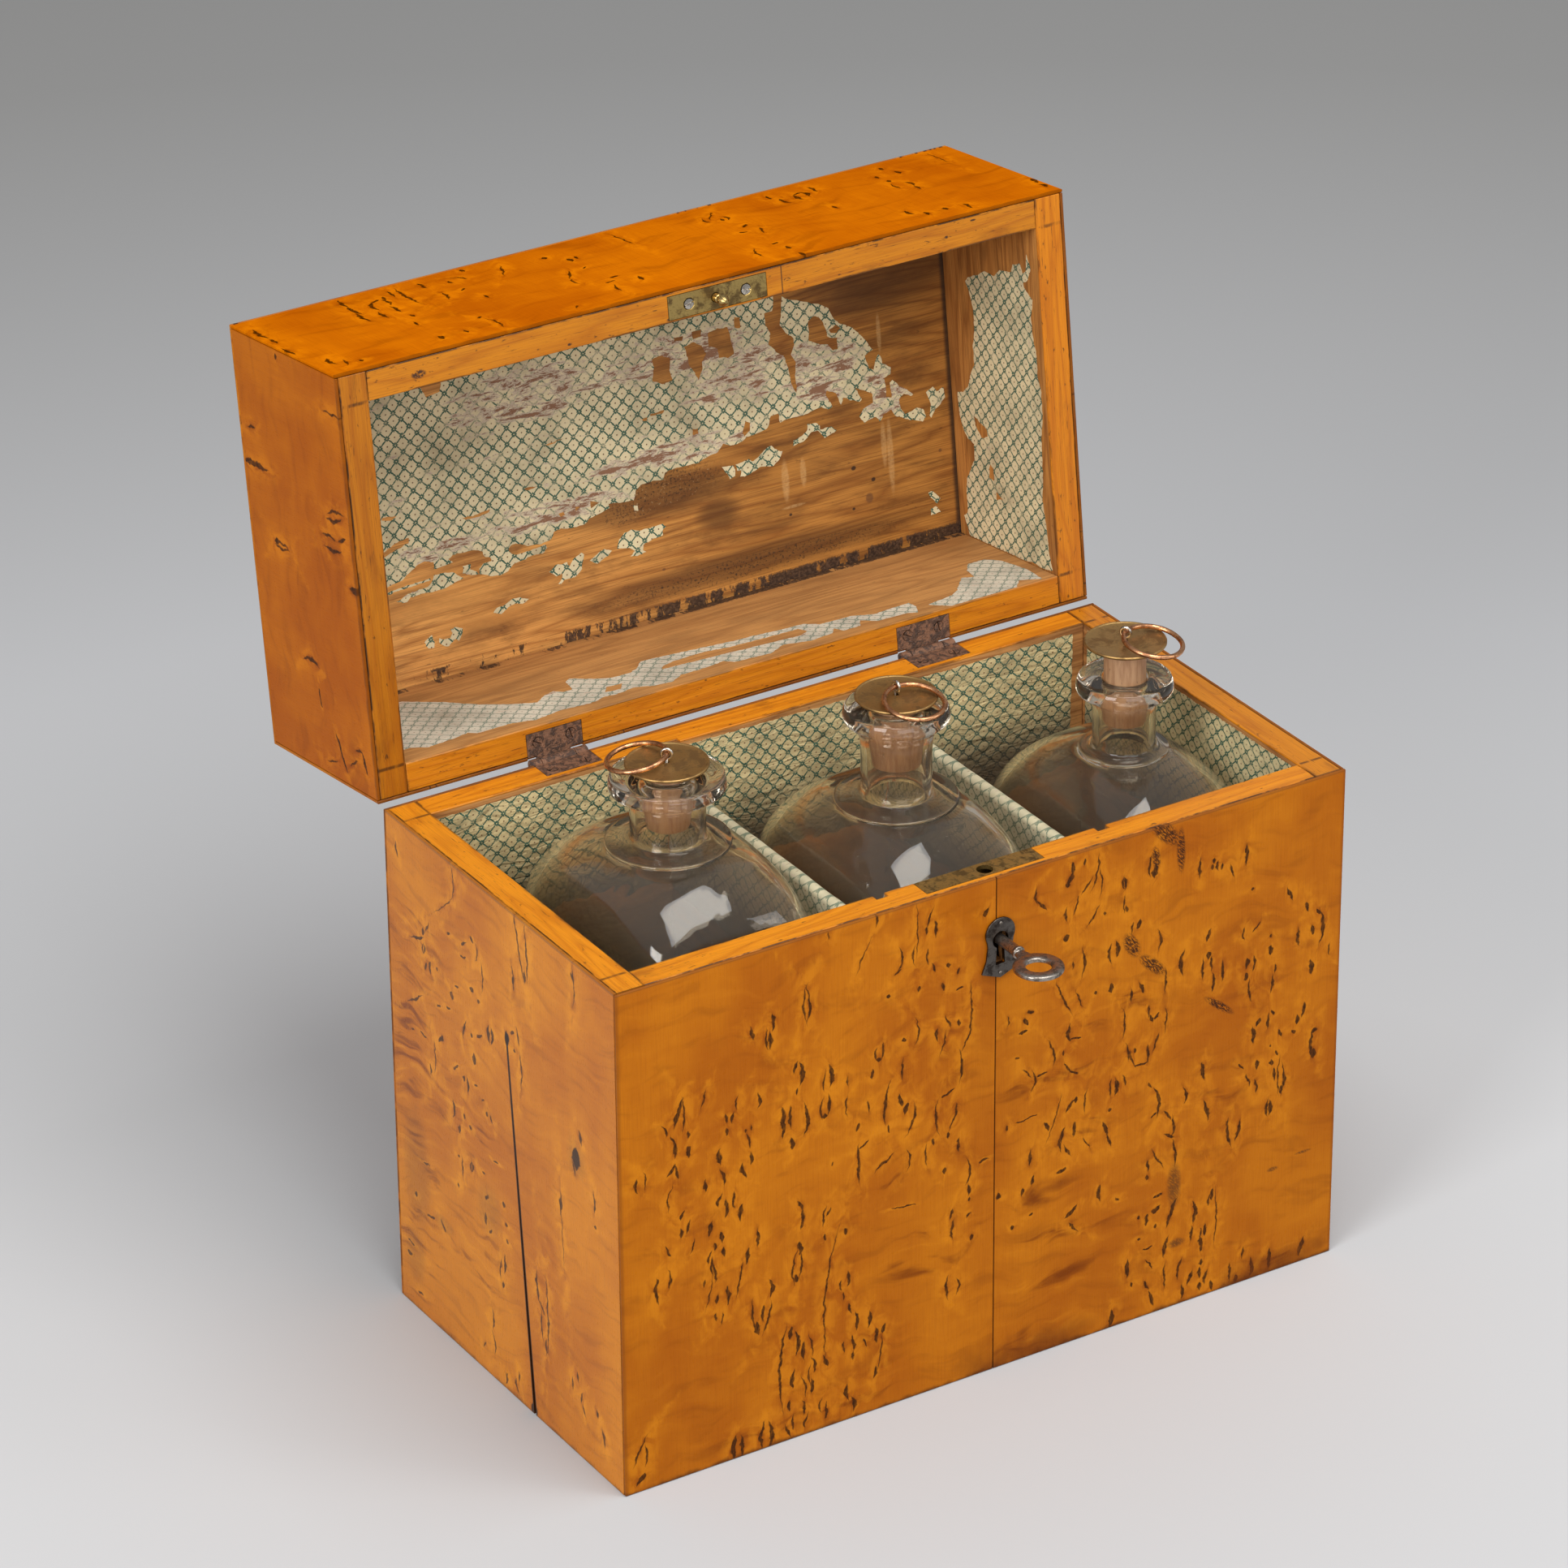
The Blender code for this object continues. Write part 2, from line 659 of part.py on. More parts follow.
stud_profile = (
    (0, -stud_length),
    (stud_tip_radius, -stud_length),
    ((stud_tip_radius + stud_head_radius) / 2, -stud_length + stud_head_height * 0.35),
    (stud_head_radius, head_top - stud_head_height * 0.25),
    (stud_head_radius, head_top),
    (stud_neck_radius, head_top),
    (stud_neck_radius, neck_top),
    (stud_shaft_radius, neck_top),
    (stud_shaft_radius, link_plate_thickness),
    (0, link_plate_thickness),
)
finish("link_stud", turned(stud_profile, round_sides), brass, lid_pivot, stud_local, smooth=True)
stud_bore = turned(((0, -cut_overrun), (stud_shaft_radius + fit_gap, -cut_overrun),
                    (stud_shaft_radius + fit_gap, link_plate_thickness + cut_overrun),
                    (0, link_plate_thickness + cut_overrun)), round_sides)
boolean(link_plate, cutter("cut_stud_bore", stud_bore, lid_pivot, stud_local))

# Lock: an angle plate whose top shows in the rim, a tray behind it, and the forked bolt
plate_half = lock_plate_width / 2
lock_plate = board("lock_plate", (-plate_half, plate_front, case_height - lock_plate_thickness),
                   (plate_half, lock_back_outer, case_height), brass, worn=False)
back_flange = box_cutter("join_lock_flange",
                         (-plate_half, lock_back_inner, key_height - lock_plate_drop),
                         (plate_half, lock_back_outer, case_height - lock_plate_thickness / 2))
boolean(lock_plate, back_flange, "UNION")
stud_hole = turned(((0, -cut_overrun - lock_plate_thickness), (stud_hole_radius, -cut_overrun - lock_plate_thickness),
                    (stud_hole_radius, cut_overrun), (0, cut_overrun)), round_sides)
boolean(lock_plate, cutter("cut_stud_hole", stud_hole,
                             location=(stud_offset, stud_y + stud_hole_setback, case_height)))
top_recess = box_cutter("cut_lock_top",
                        (-plate_half - fit_gap, plate_front - fit_gap, case_height - lock_plate_thickness - fit_gap),
                        (plate_half + fit_gap, -inner_half_depth + cut_overrun, case_height + cut_overrun))
back_recess = box_cutter("cut_lock_back",
                         (-plate_half - fit_gap, lock_back_inner - fit_gap, key_height - lock_plate_drop - fit_gap),
                         (plate_half + fit_gap, -inner_half_depth + cut_overrun, case_height + cut_overrun))
boolean(case_front_board, top_recess)
boolean(case_front_board, back_recess)

tray_top = case_height - lock_plate_thickness - fit_gap
tray_foot = key_height - lock_case_drop
tray_back = lock_back_inner - fit_gap
tray_half = lock_case_width / 2
lock_case = board("lock_case", (-tray_half, plate_front, tray_foot), (tray_half, tray_back, tray_top),
                  dark_iron, worn=False)
tray_cavity = box_cutter("cut_lock_cavity",
                         (-tray_half + lock_case_wall, plate_front + lock_case_wall, tray_foot + lock_case_wall),
                         (tray_half - lock_case_wall, tray_back + cut_overrun, tray_top + cut_overrun))
boolean(lock_case, tray_cavity)
mortise = box_cutter("cut_lock_mortise",
                     (-tray_half - fit_gap, plate_front - fit_gap, tray_foot - fit_gap),
                     (tray_half + fit_gap, -inner_half_depth + cut_overrun, case_height + cut_overrun))
boolean(case_front_board, mortise)

# Bolt: a flat fork that slides under the stud's head, and a tail with the key's talon
fork_half = bolt_fork_slot / 2 + bolt_fork_prong
bolt_mid_z = case_height + (head_top + neck_top) / 2
bolt_low = bolt_mid_z - bolt_thickness / 2
bolt_high = bolt_mid_z + bolt_thickness / 2
fork_tip = stud_offset - stud_head_radius - 2 * fit_gap
fork_root = fork_tip - stud_neck_radius - bolt_travel / 2 - bolt_fork_slot / 2
bolt_end = fork_tip - bolt_tail_length - bolt_travel
talon_root = key_height + key_bit_radius + fit_gap
tail_far = tray_back - fit_gap
tail_near = tail_far - bolt_tail_thickness
tail_reach = bolt_talon_half_width + bolt_travel / 2
shape = bmesh.new()
add_prism(shape, ((bolt_end, stud_y - fork_half), (fork_tip, stud_y - fork_half),
                  (fork_tip, stud_y - bolt_fork_slot / 2), (fork_root, stud_y - bolt_fork_slot / 2),
                  (fork_root, stud_y + bolt_fork_slot / 2), (fork_tip, stud_y + bolt_fork_slot / 2),
                  (fork_tip, stud_y + fork_half), (bolt_end, stud_y + fork_half)), "Z", bolt_low, bolt_high)
lock_bolt = finish("lock_bolt", shape, steel)
shape = bmesh.new()
talon_left = key_offset - bolt_talon_half_width
talon_right = key_offset + bolt_talon_half_width
tooth_foot = talon_root - bolt_talon_depth
add_prism(shape, ((bolt_end, tooth_foot), (talon_left, tooth_foot), (talon_left, talon_root),
                  (talon_right, talon_root), (talon_right, tooth_foot),
                  (key_offset + tail_reach, tooth_foot), (key_offset + tail_reach, bolt_low - bolt_thickness),
                  (fork_root, bolt_low - bolt_thickness), (fork_root, bolt_high), (bolt_end, bolt_high)),
          "Y", tail_near, tail_far)
boolean(lock_bolt, cutter("join_bolt_tail", shape), "UNION")


# Keyhole, cut through the escutcheon, the veneer, the front board and the lock's tray
def keyhole_outline(radius, extra):
    """A round hole over a slot that widens downwards, centred on the key's axis."""
    half_top = keyhole_slot_top / 2 + extra
    half_foot = keyhole_slot_bottom / 2 + extra
    start = math.asin(half_top / radius)
    sweep = full_turn - 2 * start
    steps = [-math.pi / 2 + start + sweep * i / round_sides for i in range(round_sides + 1)]
    arc = [(radius * math.cos(s), radius * math.sin(s)) for s in steps]
    return [*arc, (-half_foot, -keyhole_slot_drop - extra), (half_foot, -keyhole_slot_drop - extra)]


key_place = (key_offset, -half_depth, key_height)
shape = bmesh.new()
add_prism(shape, keyhole_outline(keyhole_radius + fit_gap, fit_gap), "Y", -cut_overrun, wall)
keyhole = cutter("cut_keyhole", shape, location=key_place)
for target in (case_veneer_front_left, case_veneer_front_right, case_front_board, lock_case):
    boolean(target, keyhole)

head_start = math.asin((escutcheon_head_rise + escutcheon_waist_drop) / escutcheon_head_radius)
head_sweep = math.pi + 2 * head_start * 0.8
head_steps = [-head_start * 0.8 + head_sweep * i / round_sides for i in range(round_sides + 1)]
head_arc = [(escutcheon_head_radius * math.cos(s), escutcheon_head_rise + escutcheon_head_radius * math.sin(s))
            for s in head_steps]
skirt = [(escutcheon_waist_half_width, -escutcheon_waist_drop - escutcheon_head_radius / 4),
         (escutcheon_waist_half_width * 1.12, -escutcheon_corner_drop * 0.62),
         (escutcheon_foot_half_width, -escutcheon_corner_drop)]
outline = [*[(-x, z) for x, z in skirt], (0, -escutcheon_foot_drop), *reversed(skirt), *head_arc]
shape = bmesh.new()
add_prism(shape, outline, "Y", -escutcheon_thickness - fit_gap, -fit_gap)
escutcheon = finish("escutcheon", shape, dark_iron, location=key_place)
shape = bmesh.new()
add_prism(shape, keyhole_outline(keyhole_radius, 0), "Y", -escutcheon_thickness - cut_overrun, cut_overrun)
boolean(escutcheon, cutter("cut_escutcheon_keyhole", shape, location=key_place))

# Key: its own frame has the shank along Y and the bit hanging down
bit_far_local = bit_far + half_depth
bit_near_local = bit_far_local - key_bit_length
along_y = Matrix.Rotation(math.pi / 2, 4, "X")
collar_end = key_collar_reach + key_collar_length
key_profile = (
    (0, -bit_far_local),
    (key_shank_radius * 0.8, -bit_far_local),
    (key_shank_radius, -bit_far_local + key_shank_radius * 0.4),
    (key_shank_radius, key_collar_reach),
    (key_collar_radius, key_collar_reach + key_collar_length * 0.25),
    (key_collar_radius, key_collar_reach + key_collar_length * 0.75),
    (key_bow_thickness / 2, collar_end),
    (key_bow_thickness / 4, key_fan_reach),
    (0, key_fan_reach),
)
key = finish("key", turned(key_profile, round_sides, along_y), dark_iron,
             location=key_place, turn=(0, key_turn, 0), smooth=True)
bow_mid = (key_bow_radius + key_bow_hole) / 2
bow_half = (key_bow_radius - key_bow_hole) / 2
bow_flat = key_bow_thickness / 2
bow_section = ((bow_half, -bow_flat * 0.4), (bow_half, bow_flat * 0.4), (bow_half * 0.72, bow_flat),
               (-bow_half * 0.72, bow_flat), (-bow_half, bow_flat * 0.4), (-bow_half, -bow_flat * 0.4),
               (-bow_half * 0.72, -bow_flat), (bow_half * 0.72, -bow_flat))
shape = bmesh.new()
bow_rings = []
for i in range(round_sides):
    turn = Matrix.Rotation(full_turn * i / round_sides, 4, "X")
    bow_rings.append([turn @ Vector((height, bow_mid + out, 0)) for out, height in bow_section])
add_rings(shape, bow_rings, closed=True)
shape.transform(Matrix.Translation((0, -key_bow_reach, 0)))
fan = bmesh.new()
fan_half = key_bow_thickness * 0.42
add_prism(fan, ((-fan_half, -collar_end), (fan_half, -collar_end),
                (fan_half, -key_fan_reach), (-fan_half, -key_fan_reach)), "Z",
          -key_neck_half_width, key_neck_half_width)
for vert in fan.verts:
    if vert.co.y < -(collar_end + key_fan_reach) / 2:
        vert.co.z *= key_fan_half_width / key_neck_half_width
boolean(key, cutter("join_key_fan", fan, location=key_place, turn=(0, key_turn, 0)), "UNION")
boolean(key, cutter("join_key_bow", shape, location=key_place, turn=(0, key_turn, 0)), "UNION")
shape = bmesh.new()
bit_half = key_bit_thickness / 2
ward_low = (bit_near_local + bit_far_local - key_ward_width) / 2
add_prism(shape, ((bit_near_local, 0), (bit_near_local, -key_bit_radius), (ward_low, -key_bit_radius),
                  (ward_low, -key_bit_radius + key_ward_depth),
                  (ward_low + key_ward_width, -key_bit_radius + key_ward_depth),
                  (ward_low + key_ward_width, -key_bit_radius), (bit_far_local, -key_bit_radius),
                  (bit_far_local, 0)), "X", -bit_half, bit_half)
boolean(key, cutter("join_key_bit", shape, location=key_place, turn=(0, key_turn, 0)), "UNION")


# Bottles: rounded oblong bodies drawn in to a round neck
def plan_ring(half_x, half_y, blend, height):
    """A level ring: a rounded oblong where blend is 1, a round where it is 0."""
    points = []
    for i in range(bottle_sides):
        turn = full_turn * i / bottle_sides
        c, s = math.cos(turn), math.sin(turn)
        square_c = math.copysign(abs(c) ** (2 / body_squareness), c)
        square_s = math.copysign(abs(s) ** (2 / body_squareness), s)
        points.append(Vector((half_x * (blend * square_c + (1 - blend) * c),
                              half_y * (blend * square_s + (1 - blend) * s), height)))
    return points


def dome(half_x, half_y, neck, foot, rise, last_blend, steps):
    """Rings of a shoulder: an elliptical arc from the upright side towards the neck."""
    end = math.acos(last_blend)
    rings = []
    for i in range(steps + 1):
        lift = end * i / steps
        blend = math.cos(lift)
        rings.append(plan_ring(neck + (half_x - neck) * blend, neck + (half_y - neck) * blend,
                               blend, foot + rise * math.sin(lift)))
    return rings


def body_size(number, size):
    """A bottle's width and depth, in its compartment less its slack."""
    room = compartment_highs[number] - compartment_lows[number]
    return room - size["side_slack"], 2 * inner_half_depth - size["depth_slack"]


def lip_height(size):
    """A bottle's own height, from its foot to its lip."""
    return case_height + size["lip_over"] - bottle_floor


def bottle_rings(number, size):
    """Rings from the outer base up over the lip and down to the inner base."""
    width, depth = body_size(number, size)
    half_x = width / 2
    half_y = depth / 2
    neck = size["neck_radius"]
    lip = lip_height(size)
    lip_radius = size["lip_radius"]
    collar = size["collar_radius"]
    shoulder_foot = case_height + size["shoulder_over"] - bottle_floor - shoulder_rise
    last_blend = (collar - neck) / (half_x - neck)
    rings = [
        [Vector((0, 0, punt_height))],
        plan_ring(half_x * 0.45, half_y * 0.45, 0.6, punt_height * 0.75),
        plan_ring(half_x - foot_round * 1.2, half_y - foot_round * 1.2, 1, 0),
        plan_ring(half_x - foot_round * 0.6, half_y - foot_round * 0.6, 1, foot_round * 0.1),
        plan_ring(half_x - foot_round * 0.15, half_y - foot_round * 0.15, 1, foot_round * 0.45),
        plan_ring(half_x, half_y, 1, foot_round),
    ]
    rings += dome(half_x, half_y, neck, shoulder_foot, shoulder_rise, last_blend, dome_steps)
    collar_foot = shoulder_foot + shoulder_rise * math.sin(math.acos(last_blend))
    inside_neck = neck - neck_wall
    bore = size["plug_radius"] + fit_gap
    lip_thickness = size["lip_thickness"]
    lip_foot = lip - lip_thickness
    flare_foot = lip_foot - size["lip_flare"]
    flare_radius = lip_radius - mouth_round

    def flare(share):
        """Radius of the neck's flare into the lip."""
        return neck + (flare_radius - neck) * share

    outside = (
        (collar, collar_foot + collar_height * 0.3),
        (collar, collar_foot + collar_height * 0.7),
        (collar - collar_height * 0.6, collar_foot + collar_height),
        (neck + neck_fillet * 0.35, collar_foot + collar_height * 1.35),
        (neck, collar_foot + collar_height + neck_fillet),
        (neck, flare_foot),
        (flare(0.14), flare_foot + size["lip_flare"] * 0.55),
        (flare(0.62), lip_foot + lip_thickness * 0.04),
        (lip_radius - mouth_round * 0.3, lip_foot + lip_thickness * 0.22),
        (lip_radius, lip_foot + lip_thickness * 0.5),
        (lip_radius - mouth_round * 0.3, lip - mouth_round * 0.8),
        (lip_radius - mouth_round * 1.2, lip),
        (bore + mouth_round, lip),
        (bore + mouth_round * 0.25, lip - mouth_round * 0.4),
        (bore, lip - mouth_round * 1.4),
        (bore, lip - mouth_depth),
        (inside_neck, lip - mouth_depth - mouth_taper),
        (inside_neck, collar_foot + collar_height),
    )
    rings += [plan_ring(radius, radius, 0, height) for radius, height in outside]
    inner_x = half_x - glass_wall
    inner_y = half_y - glass_wall
    inner_last = (neck_fillet * 0.8) / (inner_x - inside_neck)
    inner_dome = dome(inner_x, inner_y, inside_neck, shoulder_foot, shoulder_rise - glass_wall,
                      inner_last, dome_steps)
    rings += list(reversed(inner_dome))
    inner_foot = glass_base + foot_round
    rings += [
        plan_ring(inner_x, inner_y, 1, inner_foot),
        plan_ring(inner_x - foot_round * 0.4, inner_y - foot_round * 0.4, 1, glass_base + foot_round * 0.2),
        plan_ring(inner_x - foot_round * 1.3, inner_y - foot_round * 1.3, 1, glass_base),
        plan_ring(half_x * 0.45, half_y * 0.45, 0.6, glass_base + punt_height * 0.75),
        [Vector((0, 0, glass_base + punt_height))],
    ]
    return rings


def bottle_place(number, size):
    """Where a bottle stands on the floor of its compartment."""
    low = compartment_lows[number]
    high = compartment_highs[number]
    play_x = size["side_slack"] / 2 - bottle_play_gap
    play_y = size["depth_slack"] / 2 - bottle_play_gap
    share_x, share_y = size["play_shares"]
    return ((low + high) / 2 + play_x * share_x, play_y * share_y, bottle_floor)


def make_bottle(number, size):
    """A bottle and its stopper: each sub-part sits on the one below it."""
    tag = f"_{number + 1}"
    place = bottle_place(number, size)
    shape = bmesh.new()
    add_rings(shape, bottle_rings(number, size))
    finish("bottle" + tag, shape, glass, location=place, smooth=True)

    plug_radius = size["plug_radius"]
    disc_foot = lip_height(size) + size["stopper_stand"]
    plug_length = size["plug_length"]
    seat = Vector(place) + Vector((0, 0, disc_foot))
    hole = eye_shank_radius + fit_gap
    plug_profile = (
        (0, -plug_length),
        (plug_radius - plug_chamfer, -plug_length),
        (plug_radius, -plug_length + plug_chamfer),
        (plug_radius, -fit_gap),
        (hole, -fit_gap),
        (hole, -eye_shank_length - fit_gap),
        (0, -eye_shank_length - fit_gap),
    )
    finish("stopper_plug" + tag, turned(plug_profile, round_sides), cork, location=seat, smooth=True)

    bead_inner = disc_radius - 2 * disc_bead
    disc_profile = (
        (hole, 0),
        (disc_radius - disc_bead / 2, 0),
        (disc_radius, disc_bead / 2),
        (disc_radius, disc_thickness),
        (disc_radius - disc_bead / 2, disc_thickness + disc_bead / 2),
        (bead_inner, disc_thickness),
        (hole, disc_thickness),
    )
    shape = bmesh.new()
    add_rings(shape, [circle(radius, height, round_sides + small_sides) for radius, height in disc_profile],
              closed=True)
    finish("stopper_disc" + tag, shape, brass, location=seat, smooth=True)

    eye_height = disc_thickness + eye_lift + eye_radius + eye_wire
    eye_turn = size["ring_turn"]
    eye_seat = seat + Vector((0, 0, eye_height))
    upright = Matrix.Rotation(math.pi / 2, 4, "X")
    eye = finish("stopper_eye" + tag, torus(eye_radius, eye_wire, round_sides, wire_sides, upright), steel,
                 location=eye_seat, turn=(0, 0, eye_turn), smooth=True)
    shank_top = -eye_radius
    shank = turned(((0, -eye_height - eye_shank_length), (eye_shank_radius, -eye_height - eye_shank_length),
                    (eye_shank_radius, shank_top), (0, shank_top)), wire_sides)
    boolean(eye, cutter("join_eye_shank" + tag, shank, location=eye_seat, turn=(0, 0, eye_turn)), "UNION")

    rest_reach = disc_radius * disc_radius / (2 * ring_radius)
    drop = eye_height - disc_thickness - disc_bead / 2 - ring_wire - fit_gap
    ring_tilt = math.asin(drop / rest_reach)
    lean = empty("ring_pivot" + tag, eye_seat, (0, 0, eye_turn))
    shape = torus(ring_radius, ring_wire, round_sides + small_sides, wire_sides, Matrix.Translation((ring_radius, 0, 0)))
    finish("stopper_ring" + tag, shape, copper, lean, turn=(0, ring_tilt, 0), smooth=True)


for number, size in enumerate(bottles):
    make_bottle(number, size)
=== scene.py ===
import math
import random

import bmesh
import bpy
from mathutils import Matrix, Vector, noise
from mathutils.geometry import delaunay_2d_cdt


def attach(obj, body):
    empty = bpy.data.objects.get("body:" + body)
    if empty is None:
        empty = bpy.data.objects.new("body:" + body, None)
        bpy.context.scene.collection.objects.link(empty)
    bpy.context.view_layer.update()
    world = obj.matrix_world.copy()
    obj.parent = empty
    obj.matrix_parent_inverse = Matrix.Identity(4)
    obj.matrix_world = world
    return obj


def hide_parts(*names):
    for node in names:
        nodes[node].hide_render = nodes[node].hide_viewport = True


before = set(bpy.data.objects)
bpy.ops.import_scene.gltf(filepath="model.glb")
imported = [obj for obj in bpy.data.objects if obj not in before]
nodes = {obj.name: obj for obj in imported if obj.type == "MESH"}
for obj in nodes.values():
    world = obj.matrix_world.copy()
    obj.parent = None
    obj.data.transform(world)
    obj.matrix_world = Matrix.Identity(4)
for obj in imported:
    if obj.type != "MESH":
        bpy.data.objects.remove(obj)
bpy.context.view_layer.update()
scene = bpy.context.scene
full_turn = 2 * math.pi
unmoved = Matrix.Identity(4)

# Sizes that the pieces here share with the solids
case_half_depth = 0.1055
case_height = 0.265
inner_half_width = 0.1838
inner_half_depth = 0.0893
lid_bottom = 0.2654
lid_ceiling = 0.3532
lid_open_angle = math.radians(97.17)
hinge_y = 0.1077
hinge_z = 0.2632
fit_gap = 0.0003

# The same sizes in millimetres, for the looks
millimetres = 1000.0
case_rim = 265.0
lid_rim = 265.4
board_half_width = 198.2
board_half_depth = 103.7
inner_x = 183.8
inner_y = 89.3


# Camera
def make_camera():
    """The photograph's point of view."""
    data = bpy.data.cameras.new("camera")
    data.lens = 159.37
    data.sensor_width = 36.0
    data.clip_start = 0.05
    data.clip_end = 60.0
    made = bpy.data.objects.new("camera", data)
    made.location = (-1.54894, -2.42141, 1.77991)
    made.rotation_euler = [math.radians(angle) for angle in (62.2535, 0.4162, -32.0545)]
    scene.collection.objects.link(made)
    scene.camera = made


# Nodes
class Graph:
    """One procedural material."""

    def __init__(self, name):
        self.material = bpy.data.materials.new(name)
        self.material.use_nodes = True
        self.tree = self.material.node_tree
        self.shader = self.tree.nodes["Principled BSDF"]

    def node(self, kind, **settings):
        made = self.tree.nodes.new(kind)
        for key, value in settings.items():
            setattr(made, key, value)
        return made

    def feed(self, socket, value):
        if isinstance(value, bpy.types.NodeSocket):
            self.tree.links.new(value, socket)
        elif socket.type == "RGBA":
            socket.default_value = (*value, 1.0)
        else:
            socket.default_value = value

    def set(self, **values):
        """Set or feed the shader's sockets, by name with _ for a space."""
        for key, value in values.items():
            self.feed(self.shader.inputs[key.replace("_", " ")], value)

    def math(self, operation, first, second=0.0, third=0.0):
        made = self.node("ShaderNodeMath", operation=operation)
        for socket, value in zip(made.inputs, (first, second, third)):
            self.feed(socket, value)
        return made.outputs[0]

    def add(self, first, second):
        return self.math("ADD", first, second)

    def less(self, first, second):
        return self.math("SUBTRACT", first, second)

    def times(self, first, second):
        return self.math("MULTIPLY", first, second)

    def size(self, value):
        return self.math("ABSOLUTE", value)

    def least(self, first, second):
        return self.math("MINIMUM", first, second)

    def most(self, first, second):
        return self.math("MAXIMUM", first, second)

    def without(self, first, second):
        """The first where the second isn't."""
        return self.times(first, self.less(1.0, second))

    def vector(self, operation, first, second=(0.0, 0.0, 0.0), third=None):
        made = self.node("ShaderNodeVectorMath", operation=operation)
        self.feed(made.inputs[0], first)
        if third is not None:
            self.feed(made.inputs[2], third)
        if operation == "SCALE":
            self.feed(made.inputs["Scale"], second)
        elif operation != "LENGTH":
            self.feed(made.inputs[1], second)
        return made.outputs["Value" if operation in ("LENGTH", "DOT_PRODUCT") else "Vector"]

    def split(self, value):
        made = self.node("ShaderNodeSeparateXYZ")
        self.feed(made.inputs[0], value)
        return made.outputs[0], made.outputs[1], made.outputs[2]

    def join(self, x=0.0, y=0.0, z=0.0):
        made = self.node("ShaderNodeCombineXYZ")
        for socket, value in zip(made.inputs, (x, y, z)):
            self.feed(socket, value)
        return made.outputs[0]

    def place(self, lid=False):
        """Where a point is in millimetres; on the lid, with the lid shut."""
        where = self.node("ShaderNodeTexCoord").outputs["Object"]
        if lid:
            turn = self.node("ShaderNodeVectorRotate", rotation_type="X_AXIS")
            turn.inputs["Center"].default_value = (0.0, hinge_y, hinge_z)
            turn.inputs["Angle"].default_value = lid_open_angle
            self.feed(turn.inputs["Vector"], where)
            where = turn.outputs[0]
        return self.vector("SCALE", where, millimetres)

    def noise(self, where, size=1.0, detail=3.0, rough=0.5, distortion=0.0, colour=False):
        """Smooth noise from 0 to 1 with features of about the given size."""
        made = self.node("ShaderNodeTexNoise")
        self.feed(made.inputs["Vector"], where)
        made.inputs["Scale"].default_value = 1.0 / size
        made.inputs["Detail"].default_value = detail
        made.inputs["Roughness"].default_value = rough
        made.inputs["Distortion"].default_value = distortion
        return made.outputs["Color" if colour else "Fac"]

    def drawn(self, where, sizes, detail=3.0, rough=0.5, distortion=0.0):
        """Smooth noise with features of another size along each axis."""
        where = self.vector("MULTIPLY", where, inverse(sizes))
        return self.noise(where, 1.0, detail, rough, distortion)

    def sway(self, where, size):
        """Three noises at once, each from -0.5 to 0.5, as the parts of a vector."""
        return self.vector("SUBTRACT", self.noise(where, size, 2.0, colour=True), (0.5, 0.5, 0.5))

    def ragged(self, u, v, seed, size, reach):
        """A noise from 0 to the reach, for the edge of a stain."""
        return self.times(self.noise(self.join(u, v, seed), size, 3.0), reach)

    def step(self, value, low, high):
        """A smooth step from 0 at low to 1 at high."""
        made = self.node("ShaderNodeMapRange", interpolation_type="SMOOTHSTEP")
        for name, item in (("Value", value), ("From Min", low), ("From Max", high)):
            self.feed(made.inputs[name], item)
        return made.outputs[0]

    def spread(self, value, low, high, to_low, to_high):
        """A straight map from one range to another, held at its ends."""
        made = self.node("ShaderNodeMapRange")
        for socket, item in zip(made.inputs, (value, low, high, to_low, to_high)):
            self.feed(socket, item)
        return made.outputs[0]

    def mix(self, share, first, second, mode="MIX"):
        made = self.node("ShaderNodeMix", data_type="RGBA", blend_type=mode)
        self.feed(made.inputs[0], share)
        self.feed(made.inputs[6], first)
        self.feed(made.inputs[7], second)
        return made.outputs[2]

    def coat(self, colour, tint, share, amount):
        """A colour with a tint laid over it, on a share of the surface and by an amount."""
        return self.mix(self.times(share, amount), colour, tint)

    def toned(self, colour, tone):
        return self.mix(1.0, colour, tone, "MULTIPLY")

    def bump(self, height, distance, strength):
        made = self.node("ShaderNodeBump")
        made.inputs["Strength"].default_value = strength
        made.inputs["Distance"].default_value = distance
        self.feed(made.inputs["Height"], height)
        return made.outputs[0]


def plane_axes(graph, plane, lid):
    """The two coordinates along a face: across the grain, and along it."""
    x, y, z = graph.split(graph.place(lid))
    return {"front": (x, z), "side": (y, z), "top": (x, y)}[plane]


# Masur birch
birch_amber = (0.375, 0.098, 0.0040)
birch_gold = (0.480, 0.146, 0.0052)
birch_fibre = (0.25, 0.054, 0.003)
birch_dark_curl = (0.165, 0.034, 0.0025)
birch_light_curl = (0.62, 0.215, 0.010)
birch_halo = (0.66, 0.232, 0.009)
birch_brown = (0.21, 0.046, 0.004)
birch_hook = (0.034, 0.0115, 0.0030)
plain_tone = (1.0, 1.0, 1.0)


def triples(marks):
    """Marks three at a time, each number as the parts of one vector. The last mark fills up."""
    marks = [*marks, *[marks[-1]] * (-len(marks) % 3)]
    for i in range(0, len(marks), 3):
        yield list(zip(*marks[i:i + 3]))


def inverse(values):
    return [1 / value for value in values]


def least_part(graph, value):
    x, y, z = graph.split(value)
    return graph.least(graph.least(x, y), z)


